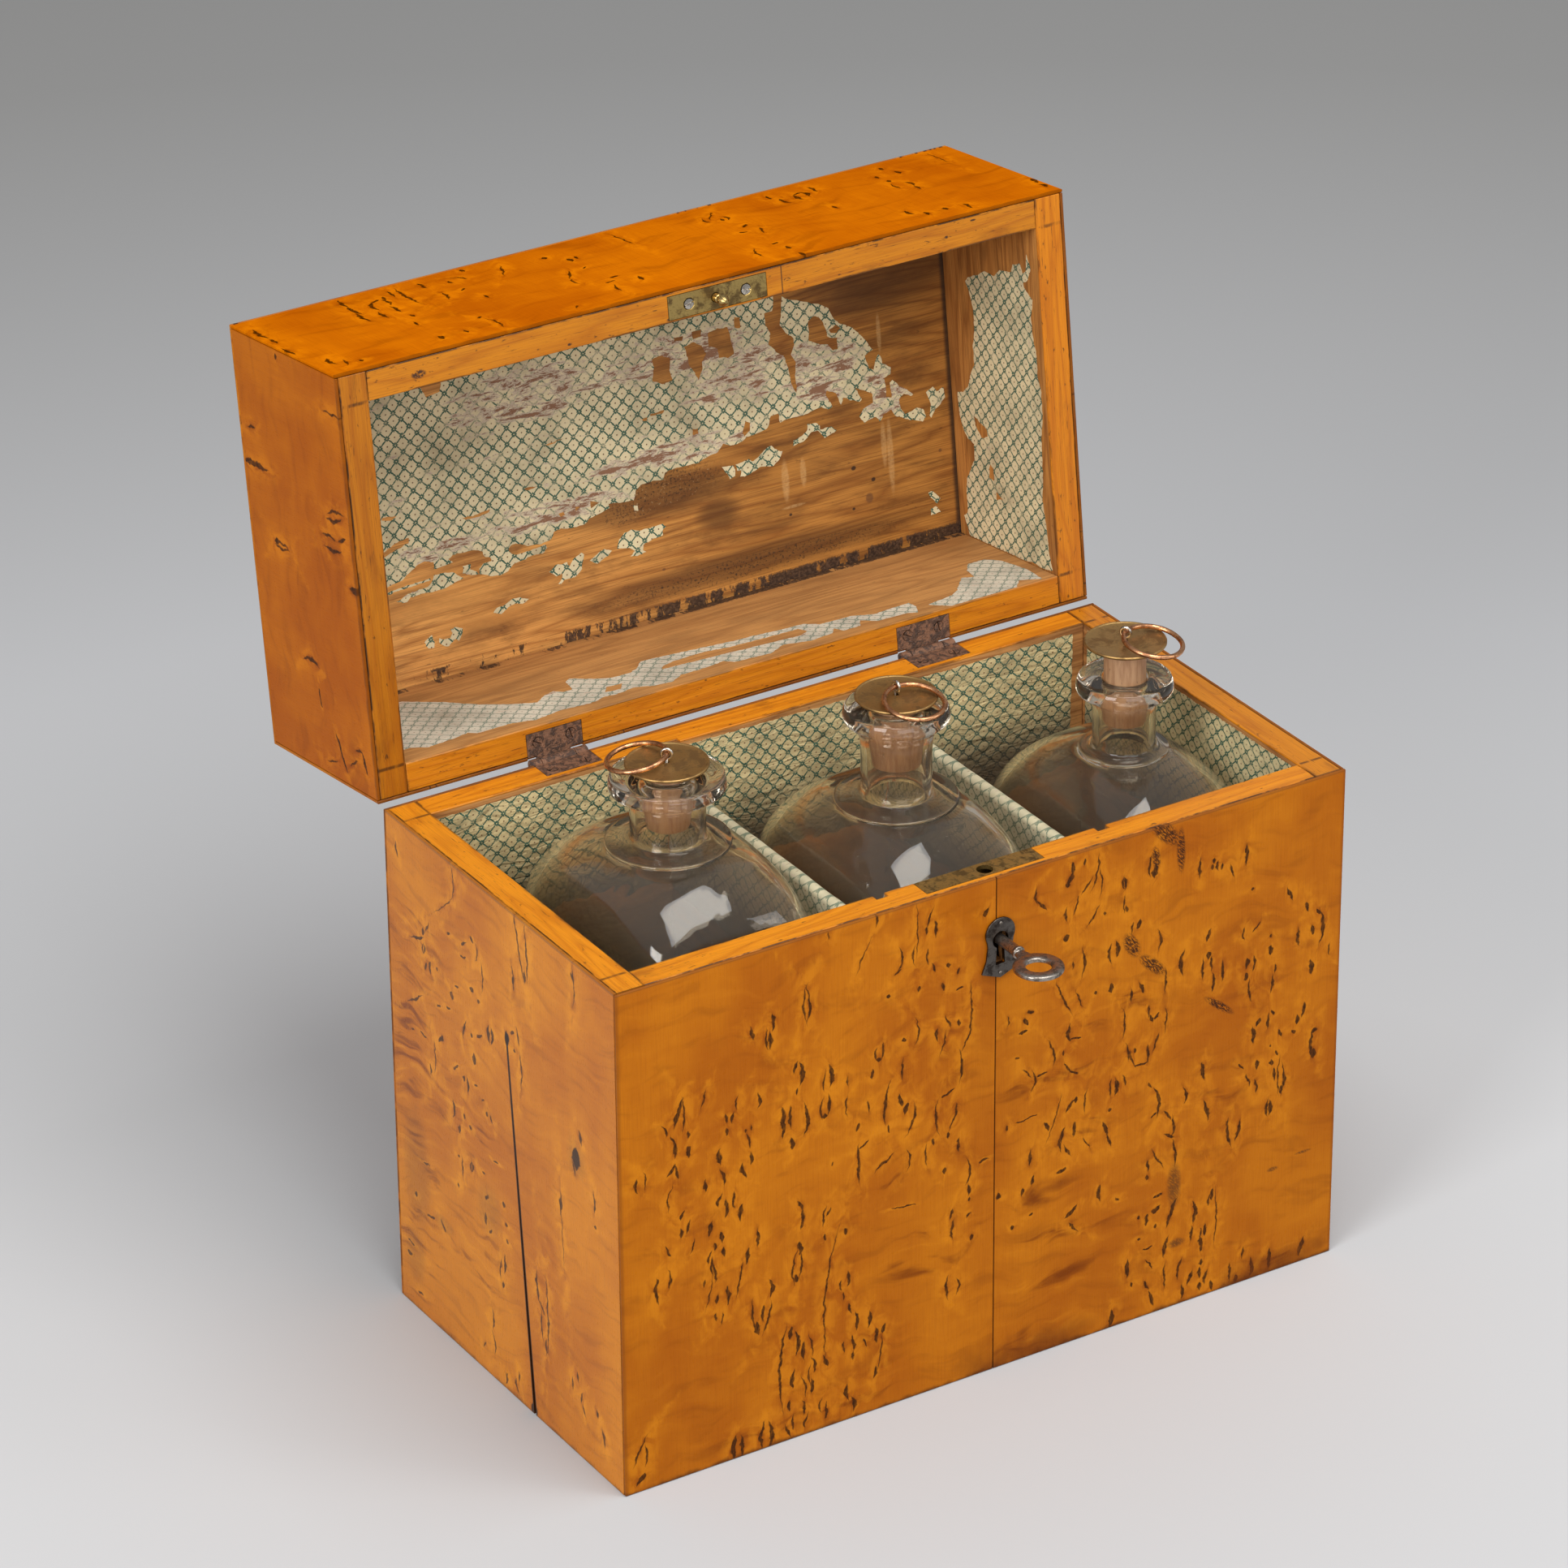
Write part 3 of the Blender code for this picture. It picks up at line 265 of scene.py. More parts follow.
def outside_hooks(graph, u, v, flat, marks):
    """How far a point is outside the nearest hook, in millimetres: below 0 inside one.

    Cycles works the nodes out in turns, and a link that converts a value puts its node off to a later turn.
    The unevenness comes from the plain coordinates, so that each hook is worked out and let go before
    the next one.
    """
    across = graph.join(u, u, u)
    up = graph.join(v, v, v)
    uneven = graph.math("MULTIPLY_ADD", graph.noise(flat, 3.0, 2.0), 2.0, 0.05)
    uneven = graph.most(uneven, 0.8)
    uneven = graph.join(uneven, uneven, uneven)
    nearest = None
    for at_u, at_v, half, bend, thick, lean in triples(marks):
        away = graph.vector("SUBTRACT", across, at_u)
        rise = graph.vector("SUBTRACT", up, at_v)
        away = graph.vector("MULTIPLY_ADD", rise, [-value for value in lean], away)
        share = graph.vector("MULTIPLY", rise, inverse(half))
        taper = graph.vector("SUBTRACT", graph.vector("MULTIPLY", share, share), (1.0, 1.0, 1.0))
        off = graph.vector("ABSOLUTE", graph.vector("MULTIPLY_ADD", taper, bend, away))
        taper = graph.vector("MULTIPLY", taper, uneven)
        off = graph.vector("MULTIPLY_ADD", taper, thick, off)
        nearest = off if nearest is None else graph.vector("MINIMUM", nearest, off)
    return least_part(graph, nearest)


def patches(graph, u, v, spots, soft):
    """1 in the middle of soft ovals, falling to 0 at their edges: across, up, half width, half height."""
    across = graph.join(u, u, u)
    up = graph.join(v, v, v)
    nearest = None
    for at_u, at_v, half_u, half_v in triples(spots):
        first = graph.vector("MULTIPLY", graph.vector("SUBTRACT", across, at_u), inverse(half_u))
        second = graph.vector("MULTIPLY", graph.vector("SUBTRACT", up, at_v), inverse(half_v))
        off = graph.vector("MULTIPLY_ADD", first, first, graph.vector("MULTIPLY", second, second))
        nearest = off if nearest is None else graph.vector("MINIMUM", nearest, off)
    return graph.step(least_part(graph, nearest), 1.0, 1.0 - soft)


hooks_per_crowd = 9
crowd_width = 9.0
crowd_height = 24.0
hook_margin = 2


def held(value, low, high):
    return min(max(value, low), high)


def scattered(seed, low_u, high_u, low_v, high_v, count):
    """Hooks for a face that the photograph doesn't show, in a few upright crowds."""
    rng = random.Random(seed)
    crowds = [(rng.uniform(low_u, high_u), rng.uniform(low_v, high_v))
              for _ in range(count // hooks_per_crowd)]
    marks = []
    for _ in range(count):
        crowd = rng.choice(crowds)
        u = held(rng.gauss(crowd[0], crowd_width), low_u + hook_margin, high_u - hook_margin)
        v = held(rng.gauss(crowd[1], crowd_height), low_v + hook_margin, high_v - hook_margin)
        half = rng.uniform(1.4, 6.5)
        bend = rng.choice((-1, 1)) * rng.uniform(0.0, 0.25) * half
        marks.append((u, v, half, bend, rng.uniform(0.5, 1.15), rng.uniform(-0.4, 0.4)))
    return marks


def veneer(name, plane, seed, marks, lid=False, tone=plain_tone, gloss=0.1, curl=9.0, smears=(),
           details=None):
    """Varnished masur birch: amber, clouded and curled, with dark hooks."""
    graph = Graph(name)
    u, v = plane_axes(graph, plane, lid)
    flat = graph.join(u, v, seed * 37.0)
    cloud = graph.drawn(flat, (60, 90, 1.0), rough=0.55)
    sway = graph.drawn(flat, (45, 60, 1.0), detail=2.0)
    tilted = graph.join(graph.add(u, graph.times(v, 0.2)), graph.add(v, graph.times(sway, 30.0)), seed * 11.0)
    band = graph.drawn(tilted, (34, curl, 1.0), rough=0.55, distortion=0.6)
    mottle = graph.drawn(flat, (7.0, 11.0, 1.0), rough=0.6, distortion=0.8)
    fibre = graph.drawn(flat, (0.6, 24.0, 1.0), rough=0.6)
    speck = graph.drawn(flat, (0.9, 3.0, 1.0), detail=2.0)
    warp_u, warp_v, _ = graph.split(graph.sway(flat, 4.5))
    bent_u = graph.add(u, graph.times(warp_u, 3.0))
    bent_v = graph.add(v, graph.times(warp_v, 3.0))

    colour = graph.mix(graph.step(cloud, 0.34, 0.66), birch_amber, birch_gold)
    colour = graph.coat(colour, birch_fibre, graph.step(fibre, 0.40, 0.75), 0.26)
    figured = 0.30
    if smears:
        smear = patches(graph, bent_u, bent_v, smears, 0.9)
        figured = graph.add(graph.times(smear, 0.6), figured)
    colour = graph.coat(colour, birch_dark_curl, graph.step(band, 0.50, 0.72), figured)
    colour = graph.coat(colour, birch_light_curl, graph.step(band, 0.48, 0.30), graph.times(figured, 0.45))
    off = outside_hooks(graph, bent_u, bent_v, flat, marks)
    near = graph.step(off, 10.0, 1.0)
    colour = graph.coat(colour, birch_halo, near, graph.spread(mottle, 0.42, 0.62, 0.0, 0.46))
    brown = graph.times(graph.step(off, 3.0, 0.0), graph.step(mottle, 0.50, 0.34))
    colour = graph.coat(colour, birch_brown, brown, 0.45)
    marked = graph.step(off, 0.46, -0.22)
    colour = graph.coat(colour, birch_hook, marked, graph.spread(speck, 0.3, 0.6, 0.72, 0.97))
    if details:
        colour = details(graph, u, v, colour)
    if tone != plain_tone:
        colour = graph.toned(colour, tone)

    height = graph.add(graph.times(mottle, 0.5), graph.times(fibre, 0.4))
    graph.set(Base_Color=colour, Roughness=graph.spread(speck, 0.3, 0.7, 0.26, 0.34),
              Normal=graph.bump(height, 0.00008, 0.25), Specular_IOR_Level=gloss)
    return graph.material


def near_line(graph, value, place, reach):
    """1 on a line, fading to 0 at its reach."""
    return graph.step(graph.size(graph.less(value, place)), reach, reach * 0.2)


def front_details(graph, u, v, colour):
    """Dark edges, grime along the foot, the seam, painted shade in the keyhole, scuffs beside the key."""
    ragged = graph.ragged(u, v, 3.0, 7.0, 5.0)
    foot = graph.step(graph.add(v, ragged), 5.2, 2.2)
    colour = graph.coat(colour, (0.060, 0.017, 0.006), foot, 0.80)
    stain = graph.step(graph.add(v, graph.times(ragged, 3.0)), 26.0, 6.0)
    reds = patches(graph, u, v, ((20, 8, 50, 14), (165, 5, 36, 15), (192, 12, 10, 12)), 0.9)
    colour = graph.coat(colour, (0.13, 0.030, 0.004), graph.times(stain, reds), 0.75)
    colour = graph.coat(colour, (0.16, 0.055, 0.014), graph.step(v, case_rim - 1.4, case_rim - 0.3), 0.6)
    colour = graph.coat(colour, (0.17, 0.045, 0.007), graph.step(graph.size(u), 197.8, 199.7), 0.5)
    # Painted shade: the keyhole is painted near black, standing in for the dark inside of the hole.
    keyhole = patches(graph, u, v, ((4.5, 227.5, 4.2, 11.0), (4.5, 233.0, 5.5, 5.5)), 0.3)
    colour = graph.coat(colour, (0.012, 0.006, 0.003), keyhole, 0.97)
    colour = graph.coat(colour, (0.045, 0.015, 0.006), near_line(graph, u, 3.0, 0.55), 0.8)
    hatch = graph.join(graph.add(u, graph.times(v, 0.8)), graph.times(v, 0.4), 0.0)
    hatch = graph.noise(hatch, 0.9, 4.0, 0.75)
    slid = graph.add(v, graph.times(u, 0.75))
    scuffs = patches(graph, u, slid, ((91, 261, 9, 5), (79, 266, 6, 7), (130, 256.5, 10, 3.0),
                                      (97, 334, 10, 7), (106, 329, 3, 14), (92, 318, 3, 7)), 0.8)
    scuffs = graph.times(scuffs, graph.step(hatch, 0.41, 0.53))
    colour = graph.coat(colour, (0.032, 0.012, 0.006), scuffs, 0.94)
    soot = patches(graph, u, v, ((106, 68, 5, 15), (108, 35, 6, 3), (164, 58, 4, 1.5), (182, 62, 6, 1)), 0.95)
    soot = graph.times(soot, graph.step(hatch, 0.28, 0.55))
    return graph.coat(colour, (0.06, 0.026, 0.010), soot, 0.72)


def side_details(graph, u, v, colour):
    """A dark foot and rim, grimy corners."""
    foot = graph.step(graph.add(v, graph.ragged(u, v, 5.0, 9.0, 5.0)), 5.0, 1.6)
    colour = graph.coat(colour, (0.09, 0.026, 0.008), foot, 0.7)
    ends = graph.step(graph.size(u), 102.8, 105.2)
    ends = graph.times(ends, graph.step(graph.noise(graph.join(u, v, 8.0), 12.0, 3.0), 0.35, 0.6))
    colour = graph.coat(colour, (0.07, 0.022, 0.008), ends, 0.75)
    return graph.coat(colour, (0.14, 0.050, 0.014), graph.step(v, case_rim - 1.6, case_rim - 0.4), 0.6)


def along_split(graph, u, v):
    """1 on the split in the left end, which leans and narrows upwards."""
    off = graph.less(graph.math("MULTIPLY_ADD", v, 0.0874, -22.8), u)
    reach = graph.spread(v, 0.0, 200.0, 2.0, 1.0)
    near = graph.step(graph.math("DIVIDE", graph.size(off), reach), 1.0, 0.65)
    return graph.times(near, graph.step(v, 200.0, 197.0))


def left_details(graph, u, v, colour):
    """The left end's split, knots, edges and soft stains."""
    knots = patches(graph, u, v, ((-5.8, 195, 2.2, 4.2), (-22, 2, 3.6, 4.6), (-67, 162, 4.0, 6.0)), 0.6)
    colour = graph.coat(colour, (0.016, 0.006, 0.003), graph.most(along_split(graph, u, v), knots), 0.96)
    stain = patches(graph, u, v, ((-67, 162, 10, 13), (85, 80, 16, 40), (90, 30, 12, 20), (15, 92, 14, 18),
                                  (60, 62, 12, 5)), 0.95)
    colour = graph.coat(colour, (0.110, 0.042, 0.014), stain, 0.28)
    return side_details(graph, u, v, colour)


def lid_details(graph, u, v, colour):
    """Grime where the lid's veneer meets its rim."""
    rim = graph.step(graph.add(v, graph.ragged(u, v, 5.0, 8.0, 2.4)), 268.6, 266.6)
    return graph.coat(colour, (0.075, 0.026, 0.010), rim, 0.65)


# Pine
pine_pale = (0.58, 0.270, 0.084)
pine_ring = (0.25, 0.084, 0.020)
# Painted shade colour for the deep inside of the case.
pine_deep_shade = (0.105, 0.054, 0.026)
varnished_pale = (0.70, 0.240, 0.010)
varnished_ring = (0.44, 0.112, 0.004)


def pine(name, grain, seed, rim=None, lid=False, stain=0.5, tone=plain_tone, rim_tone=1.0, extra=None):
    """Pine boards: varnished on the rim, bare and stained inside."""
    graph = Graph(name)
    x, y, z = graph.split(graph.place(lid))
    along, across, depth = {"x": (x, y, z), "y": (y, x, z), "z": (z, x, y)}[grain]

    def drawn(length, thickness, shift=None):
        """Coordinates drawn out along the grain."""
        parts = [graph.times(along, 1 / length), graph.times(across, 1 / thickness),
                 graph.times(depth, 1 / thickness)]
        if shift is not None:
            parts[2] = graph.add(parts[2], shift)
        return graph.join(*parts)

    growth = graph.noise(drawn(170, 17, seed * 7.3), 1.0, 2.0, 0.42, 0.25)
    rings = graph.math("PINGPONG", graph.times(growth, 16.0), 1.0)
    rings = graph.math("POWER", rings, 2.0)
    fibre = graph.noise(drawn(30, 0.5, seed), rough=0.6)
    patch = graph.noise(drawn(45, 13, seed * 3), 1.0, 5.0, 0.66, 0.4)
    streak = graph.noise(drawn(9, 0.8), rough=0.6)
    blots = graph.noise(drawn(5, 2.2), rough=0.6)

    bare = graph.coat(pine_pale, pine_ring, rings, 0.7)
    bare = graph.coat(bare, (0.120, 0.046, 0.016), graph.step(patch, 0.42, 0.74), stain)
    bare = graph.coat(bare, (0.15, 0.054, 0.016), graph.step(fibre, 0.40, 0.74), 0.6)
    bare = graph.coat(bare, (0.07, 0.03, 0.014), graph.step(blots, 0.66, 0.76), 0.5)
    colour = bare
    rough = 0.62
    if rim is not None:
        shine = graph.coat(varnished_pale, varnished_ring, rings, 0.55)
        shine = graph.coat(shine, (0.27, 0.068, 0.006), graph.step(fibre, 0.40, 0.78), 0.45)
        shine = graph.coat(shine, (0.15, 0.040, 0.006), graph.step(patch, 0.56, 0.78), 0.50)
        shine = graph.coat(shine, (0.10, 0.030, 0.008), graph.step(streak, 0.60, 0.74), 0.7)
        shine = graph.coat(shine, (0.07, 0.025, 0.010), graph.step(blots, 0.64, 0.73), 0.75)
        broken = graph.step(graph.noise(graph.join(along, 0.0, seed), 16.0, 4.0, 0.65), 0.36, 0.56)
        far_x = graph.less(graph.size(x), board_half_width)
        far_y = graph.less(graph.size(y), board_half_depth)
        edge = graph.size(graph.most(far_x, far_y))
        edge = graph.step(edge, 0.75, 0.25)
        shine = graph.coat(shine, (0.035, 0.015, 0.007), edge, graph.times(broken, 0.9))
        near_x = graph.size(graph.less(graph.size(x), inner_x))
        near_y = graph.size(graph.less(graph.size(y), inner_y))
        lip = graph.step(graph.least(near_x, near_y), 1.3, 0.3)
        worn = graph.times(graph.step(patch, 0.44, 0.58), 0.8)
        shine = graph.coat(shine, (0.075, 0.026, 0.008), lip, worn)
        side = 1 if lid else -1
        varnished = graph.step(z, rim + side * 1.2, rim + side * 0.4)
        shine = graph.toned(shine, (rim_tone, rim_tone, rim_tone * 0.8))
        colour = graph.mix(varnished, bare, shine)
    if tone != plain_tone:
        colour = graph.toned(colour, tone)
    # Painted shade: the case's boards are darkened below about 212 mm, towards the bottom of the compartments.
    if rim and not lid:
        colour = graph.coat(colour, pine_deep_shade, graph.step(z, 212.0, 180.0), 0.75)
    if extra:
        colour = extra(graph, x, y, z, colour)
    height = graph.add(graph.times(fibre, 0.5), graph.times(rings, 0.5))
    if rim is not None:
        rough = graph.mix(varnished, (0.62, 0.62, 0.62), (0.38, 0.38, 0.38))
    graph.set(Base_Color=colour, Roughness=rough, Normal=graph.bump(height, 0.0003, 0.5),
              Specular_IOR_Level=0.3)
    return graph.material


def old_glue(graph, along, height, low, colour):
    """Dark glue left along the lid's inner corner, chipped away in places."""
    chips = graph.noise(graph.join(along, graph.times(height, 0.35), 4.0), 9.0, 5.0, 0.75)
    grit = graph.noise(graph.join(along, height, 9.0), 1.6, 3.0, 0.7)
    ragged = graph.add(height, graph.times(graph.less(grit, 0.5), 4.0))
    chips = graph.add(chips, graph.spread(along, -60.0, 40.0, -0.12, 0.0))
    there = graph.times(graph.step(ragged, low, low + 1.2), graph.step(chips, 0.42, 0.47))
    dark = graph.mix(graph.step(grit, 0.4, 0.65), (0.020, 0.011, 0.008), (0.085, 0.045, 0.026))
    return graph.coat(colour, dark, there, 0.93)


def lid_top_marks(graph, x, y, z, colour):
    """Stains, scrapes and knots on the inside of the lid's top, and a painted light gradient across it."""

    def spots(soft, *ovals):
        return patches(graph, x, y, ovals, soft)

    speck = graph.noise(graph.join(x, y, 1.0), 1.3, 3.0, 0.7)
    stain = spots(0.95, (10, 28, 60, 14), (60, 74, 130, 10), (45, 45, 16, 10), (150, -55, 60, 26))
    colour = graph.coat(colour, (0.090, 0.034, 0.013), stain, 0.72)
    dots = graph.times(spots(0.9, (15, 24, 45, 12), (-5, 33, 20, 7), (60, 76, 110, 7)),
                       graph.step(speck, 0.54, 0.62))
    colour = graph.coat(colour, (0.040, 0.021, 0.015), dots, 0.85)
    pale = graph.times(spots(0.9, (15, 24, 45, 12), (0, 0.5, 1, 1), (-2, 30, 12, 8)),
                       graph.step(speck, 0.36, 0.30))
    colour = graph.coat(colour, (0.50, 0.42, 0.33), pale, 0.7)
    warm = spots(0.95, (-105, 52, 50, 9), (-120, 38, 30, 4), (-90, 66, 40, 6))
    colour = graph.coat(colour, (0.52, 0.235, 0.070), warm, 0.5)
    # Painted light: the inside of the lid's top is toned brighter to the left and darker to the right, as it
    # is lit.
    painted_light = graph.mix(graph.spread(x, -120.0, 70.0, 0.0, 1.0), (1.45, 1.48, 1.25), (0.82, 0.74, 0.44))
    colour = graph.toned(colour, painted_light)
    scrape = graph.times(spots(0.8, (84.5, 38, 2.6, 13), (95, 36, 2.2, 9), (142.5, 33, 2.0, 14),
                               (146, 40, 2.2, 23), (88, 52, 8, 1.0), (144, -25, 1.6, 12)),
                         graph.spread(speck, 0.3, 0.7, 0.25, 0.9))
    colour = graph.coat(colour, (0.66, 0.40, 0.16), scrape, 0.6)
    knot = spots(0.7, (124, 41, 1.7, 1.4), (135, 49.5, 1.5, 1.3), (86, 56, 1.1, 0.9), (122.5, 62, 1.1, 0.9))
    colour = graph.coat(colour, (0.030, 0.014, 0.009), knot, 0.9)
    knot = spots(0.7, (132, 58.5, 2.6, 3.2), (175, 44, 1.2, 1.2), (12, 66, 1.2, 0.9))
    colour = graph.coat(colour, (0.10, 0.04, 0.02), knot, 0.6)
    colour = graph.coat(colour, (0.030, 0.016, 0.010), graph.step(graph.size(x), 180.6, 183.0), 0.85)
    return old_glue(graph, x, y, 83.2, colour)


def lid_back_marks(graph, x, y, z, colour):
    """Glue along the top of the hinge wall."""
    inside = graph.step(y, inner_y + 1.1, inner_y + 0.3)
    pale = graph.coat(colour, (0.48, 0.240, 0.080), inside, 0.35)
    return graph.mix(inside, colour, old_glue(graph, x, z, 347.3, pale))


def split_shadow(graph, x, y, z, colour):
    """Darkness in the split."""
    split = along_split(graph, y, z)
    return graph.mix(graph.times(split, graph.step(x, -190.0, -192.0)), colour, (0.02, 0.008, 0.003))


def lid_front_marks(graph, x, y, z, colour):
    """A joint in the board, knots in its rim."""
    crack = graph.times(near_line(graph, x, 39.6, 0.55), graph.step(z, 268.5, 267.5))
    colour = graph.coat(colour, (0.05, 0.02, 0.008), crack, 0.85)
    spots = patches(graph, x, y, ((-157, -96.0, 4.6, 2.4), (-77, -91.6, 1.4, 0.8), (42.5, -96, 2.2, 0.9),
                                  (132.5, -96.4, 1.6, 0.8), (-25, -104, 3.4, 1.0), (-22, -91, 3, 1.2),
                                  (33, -104, 3.4, 1.2), (148, -101.5, 2, 0.6)), 0.7)
    grit = graph.noise(graph.join(x, y, 3.0), 1.4, 3.0, 0.65)
    return graph.mix(graph.times(spots, graph.step(grit, 0.36, 0.52)), colour, (0.055, 0.022, 0.010))


# Lining paper
paper_pitch = 8.06
paper_green = (0.014, 0.088, 0.060)
paper_brown = (0.13, 0.05, 0.02)


def lattice(graph, u, v, tilt):
    """The printed lattice's green lines and stars, and its brown dots, one in each diamond."""
    wu, wv, _ = graph.split(graph.sway(graph.join(u, v, 0.0), 14.0))
    turned_u = graph.add(graph.add(u, graph.times(v, tilt)), graph.times(wu, 1.2))
    turned_v = graph.add(graph.add(v, graph.times(u, -tilt)), graph.times(wv, 1.2))
    first = graph.times(graph.add(turned_u, turned_v), 1 / paper_pitch)
    second = graph.times(graph.less(turned_u, turned_v), 1 / paper_pitch)
    off_first = graph.less(graph.math("FRACT", first), 0.5)
    off_second = graph.less(graph.math("FRACT", second), 0.5)
    lines = graph.least(graph.size(off_first), graph.size(off_second))
    side = graph.size(graph.add(off_first, off_second))
    rise = graph.size(graph.less(off_first, off_second))
    reach = graph.most(side, rise)
    cross = graph.least(side, rise)
    ink = graph.noise(graph.join(u, v, 7.0), 0.8, 2.0)
    width = graph.spread(ink, 0.3, 0.7, 0.042, 0.086)
    drawn = graph.step(graph.less(width, lines), -0.014, 0.014)
    star = graph.times(graph.step(graph.less(graph.times(width, 1.4), cross), -0.015, 0.015),
                       graph.step(reach, 0.40, 0.33))
    green = graph.without(graph.most(drawn, star), graph.step(reach, 0.085, 0.060))
    dot_first = graph.less(0.5, graph.size(off_first))
    dot_second = graph.less(0.5, graph.size(off_second))
    dot = graph.vector("LENGTH", graph.join(dot_first, dot_second))
    return green, graph.step(dot, 0.085, 0.055)


def paper(name, plane, seed, lid=False, ground=(0.76, 0.65, 0.40), printed=0.95, rubbed=0.3, zones=(),
          wrinkled=0.0, tilt=0.0):
    """Old printed lining paper, faded, rubbed along the grain of the wood under it."""
    graph = Graph(name)
    u, v = plane_axes(graph, plane, lid)
    green, brown = lattice(graph, u, v, tilt)
    flat = graph.join(u, v, seed * 5.0)
    rub = graph.drawn(flat, (20, 5.5, 1.0), 7.0, 0.78, 0.3)
    if zones:
        rub = graph.add(rub, graph.times(patches(graph, u, v, zones, 0.9), 0.13))
    grime = graph.noise(flat, 22.0, 4.0, 0.6)
    grain = graph.noise(flat, 1.1, 3.0, 0.6)
    colour = graph.mix(graph.step(grime, 0.35, 0.7), ground, [value * 0.74 for value in ground])
    colour = graph.coat(colour, [value * 0.6 for value in ground], graph.step(grain, 0.5, 0.8), 0.25)
    kept = graph.spread(rub, 0.52, 0.62, printed, printed * 0.3)
    colour = graph.coat(colour, paper_green, green, kept)
    colour = graph.coat(colour, paper_brown, brown, kept)
    limit = 0.70 - rubbed * 0.16
    colour = graph.coat(colour, (0.56, 0.445, 0.34), graph.step(rub, limit, limit + 0.03), 0.92)
    through = graph.step(rub, limit + 0.055, limit + 0.075)
    colour = graph.coat(colour, (0.255, 0.120, 0.062), through, 0.95)
    colour = graph.coat(colour, (0.20, 0.13, 0.07), graph.step(grime, 0.56, 0.8), 0.35)
    # Painted shade: on the case's walls the paper darkens, with a ragged edge, towards the bottom of the
    # compartments.
    if not lid:
        low = graph.add(v, graph.times(grime, 16.0))
        colour = graph.coat(colour, (0.075, 0.048, 0.031), graph.step(low, 240.0, 206.0), 0.88)
    height = graph.less(graph.times(grain, 0.3), graph.times(through, 0.5))
    if wrinkled:
        folds = graph.drawn(flat, (16, 6, 1.0), 2.0, 0.5, 1.5)
        height = graph.add(height, graph.times(folds, wrinkled * 8.0))
    graph.set(Base_Color=colour, Roughness=0.72, Normal=graph.bump(height, 0.0004, 0.6),
              Specular_IOR_Level=0.3)
    return graph.material


# Metals
def metal(name, base, tarnish, rough, patch, pit=0.4):
    """Old metal: its own colour, patches of tarnish, fine scratches and pits."""
    graph = Graph(name)
    where = graph.place()
    blotch = graph.noise(where, patch, 4.0, 0.65, 0.3)
    pits = graph.noise(where, 0.9, 3.0, 0.6)
    fine = graph.drawn(where, (3.0, 0.25, 0.4), 2.0)
    share = graph.step(blotch, 0.45, 0.62)
    colour = graph.mix(share, base, tarnish)
    bright = [min(1.0, value * 1.5) for value in base]
    colour = graph.coat(colour, bright, graph.step(fine, 0.55, 0.8), 0.25)
    colour = graph.coat(colour, [value * 0.35 for value in tarnish], graph.step(pits, 0.56, 0.72), pit)
    roughness = graph.add(graph.spread(share, 0.0, 1.0, *rough), graph.times(fine, 0.06))
    height = graph.add(graph.times(pits, 0.6), graph.times(fine, 0.25))
    graph.set(Base_Color=colour, Roughness=roughness, Normal=graph.bump(height, 0.00012, 0.5), Metallic=1.0)
    return graph.material


def rust(name):
    """Rusty iron: pitted, dark brown, with redder scale."""
    graph = Graph(name)
    where = graph.place()
    blotch = graph.noise(where, 3.2, 5.0, 0.7, 0.4)
    pits = graph.noise(where, 0.8, 4.0, 0.7)
    colour = graph.mix(graph.step(blotch, 0.42, 0.57), (0.245, 0.116, 0.062), (0.072, 0.040, 0.027))
    colour = graph.coat(colour, (0.20, 0.085, 0.045), graph.step(pits, 0.5, 0.7), 0.6)
    colour = graph.coat(colour, (0.22, 0.19, 0.16), graph.step(blotch, 0.62, 0.75), 0.6)
    height = graph.add(graph.times(pits, 0.6), graph.times(blotch, 0.8))
    graph.set(Base_Color=colour, Roughness=graph.spread(blotch, 0.3, 0.7, 0.62, 0.42),
              Normal=graph.bump(height, 0.0009, 1.0), Metallic=0.2)
    return graph.material


def clear_glass(name):
    """Old hand-blown glass."""
    graph = Graph(name)
    where = graph.place()
    ripple = graph.noise(where, 26.0, 2.0, 0.4)
    seeds = graph.noise(where, 1.6, 1.0)
    height = graph.add(graph.times(ripple, 3.0), graph.times(graph.step(seeds, 0.74, 0.80), 0.35))
    graph.set(Normal=graph.bump(height, 0.0006, 0.5), Base_Color=(0.94, 0.835, 0.675), Roughness=0.02,
              Transmission_Weight=0.976, IOR=1.47)
    return graph.material


def plug_wood(name):
    """Turned wood, warm brown."""
    graph = Graph(name)
    where = graph.place()
    streak = graph.drawn(where, (2.2, 2.2, 16), 4.0, 0.6)
    fleck = graph.drawn(where, (1.2, 1.2, 3.0), 2.0)
    colour = graph.mix(graph.step(streak, 0.3, 0.7), (0.52, 0.30, 0.155), (0.36, 0.18, 0.085))
    colour = graph.coat(colour, (0.10, 0.05, 0.03), graph.step(fleck, 0.68, 0.78), 0.8)
    graph.set(Base_Color=colour, Roughness=0.6, Normal=graph.bump(streak, 0.0003, 0.4))
    return graph.material


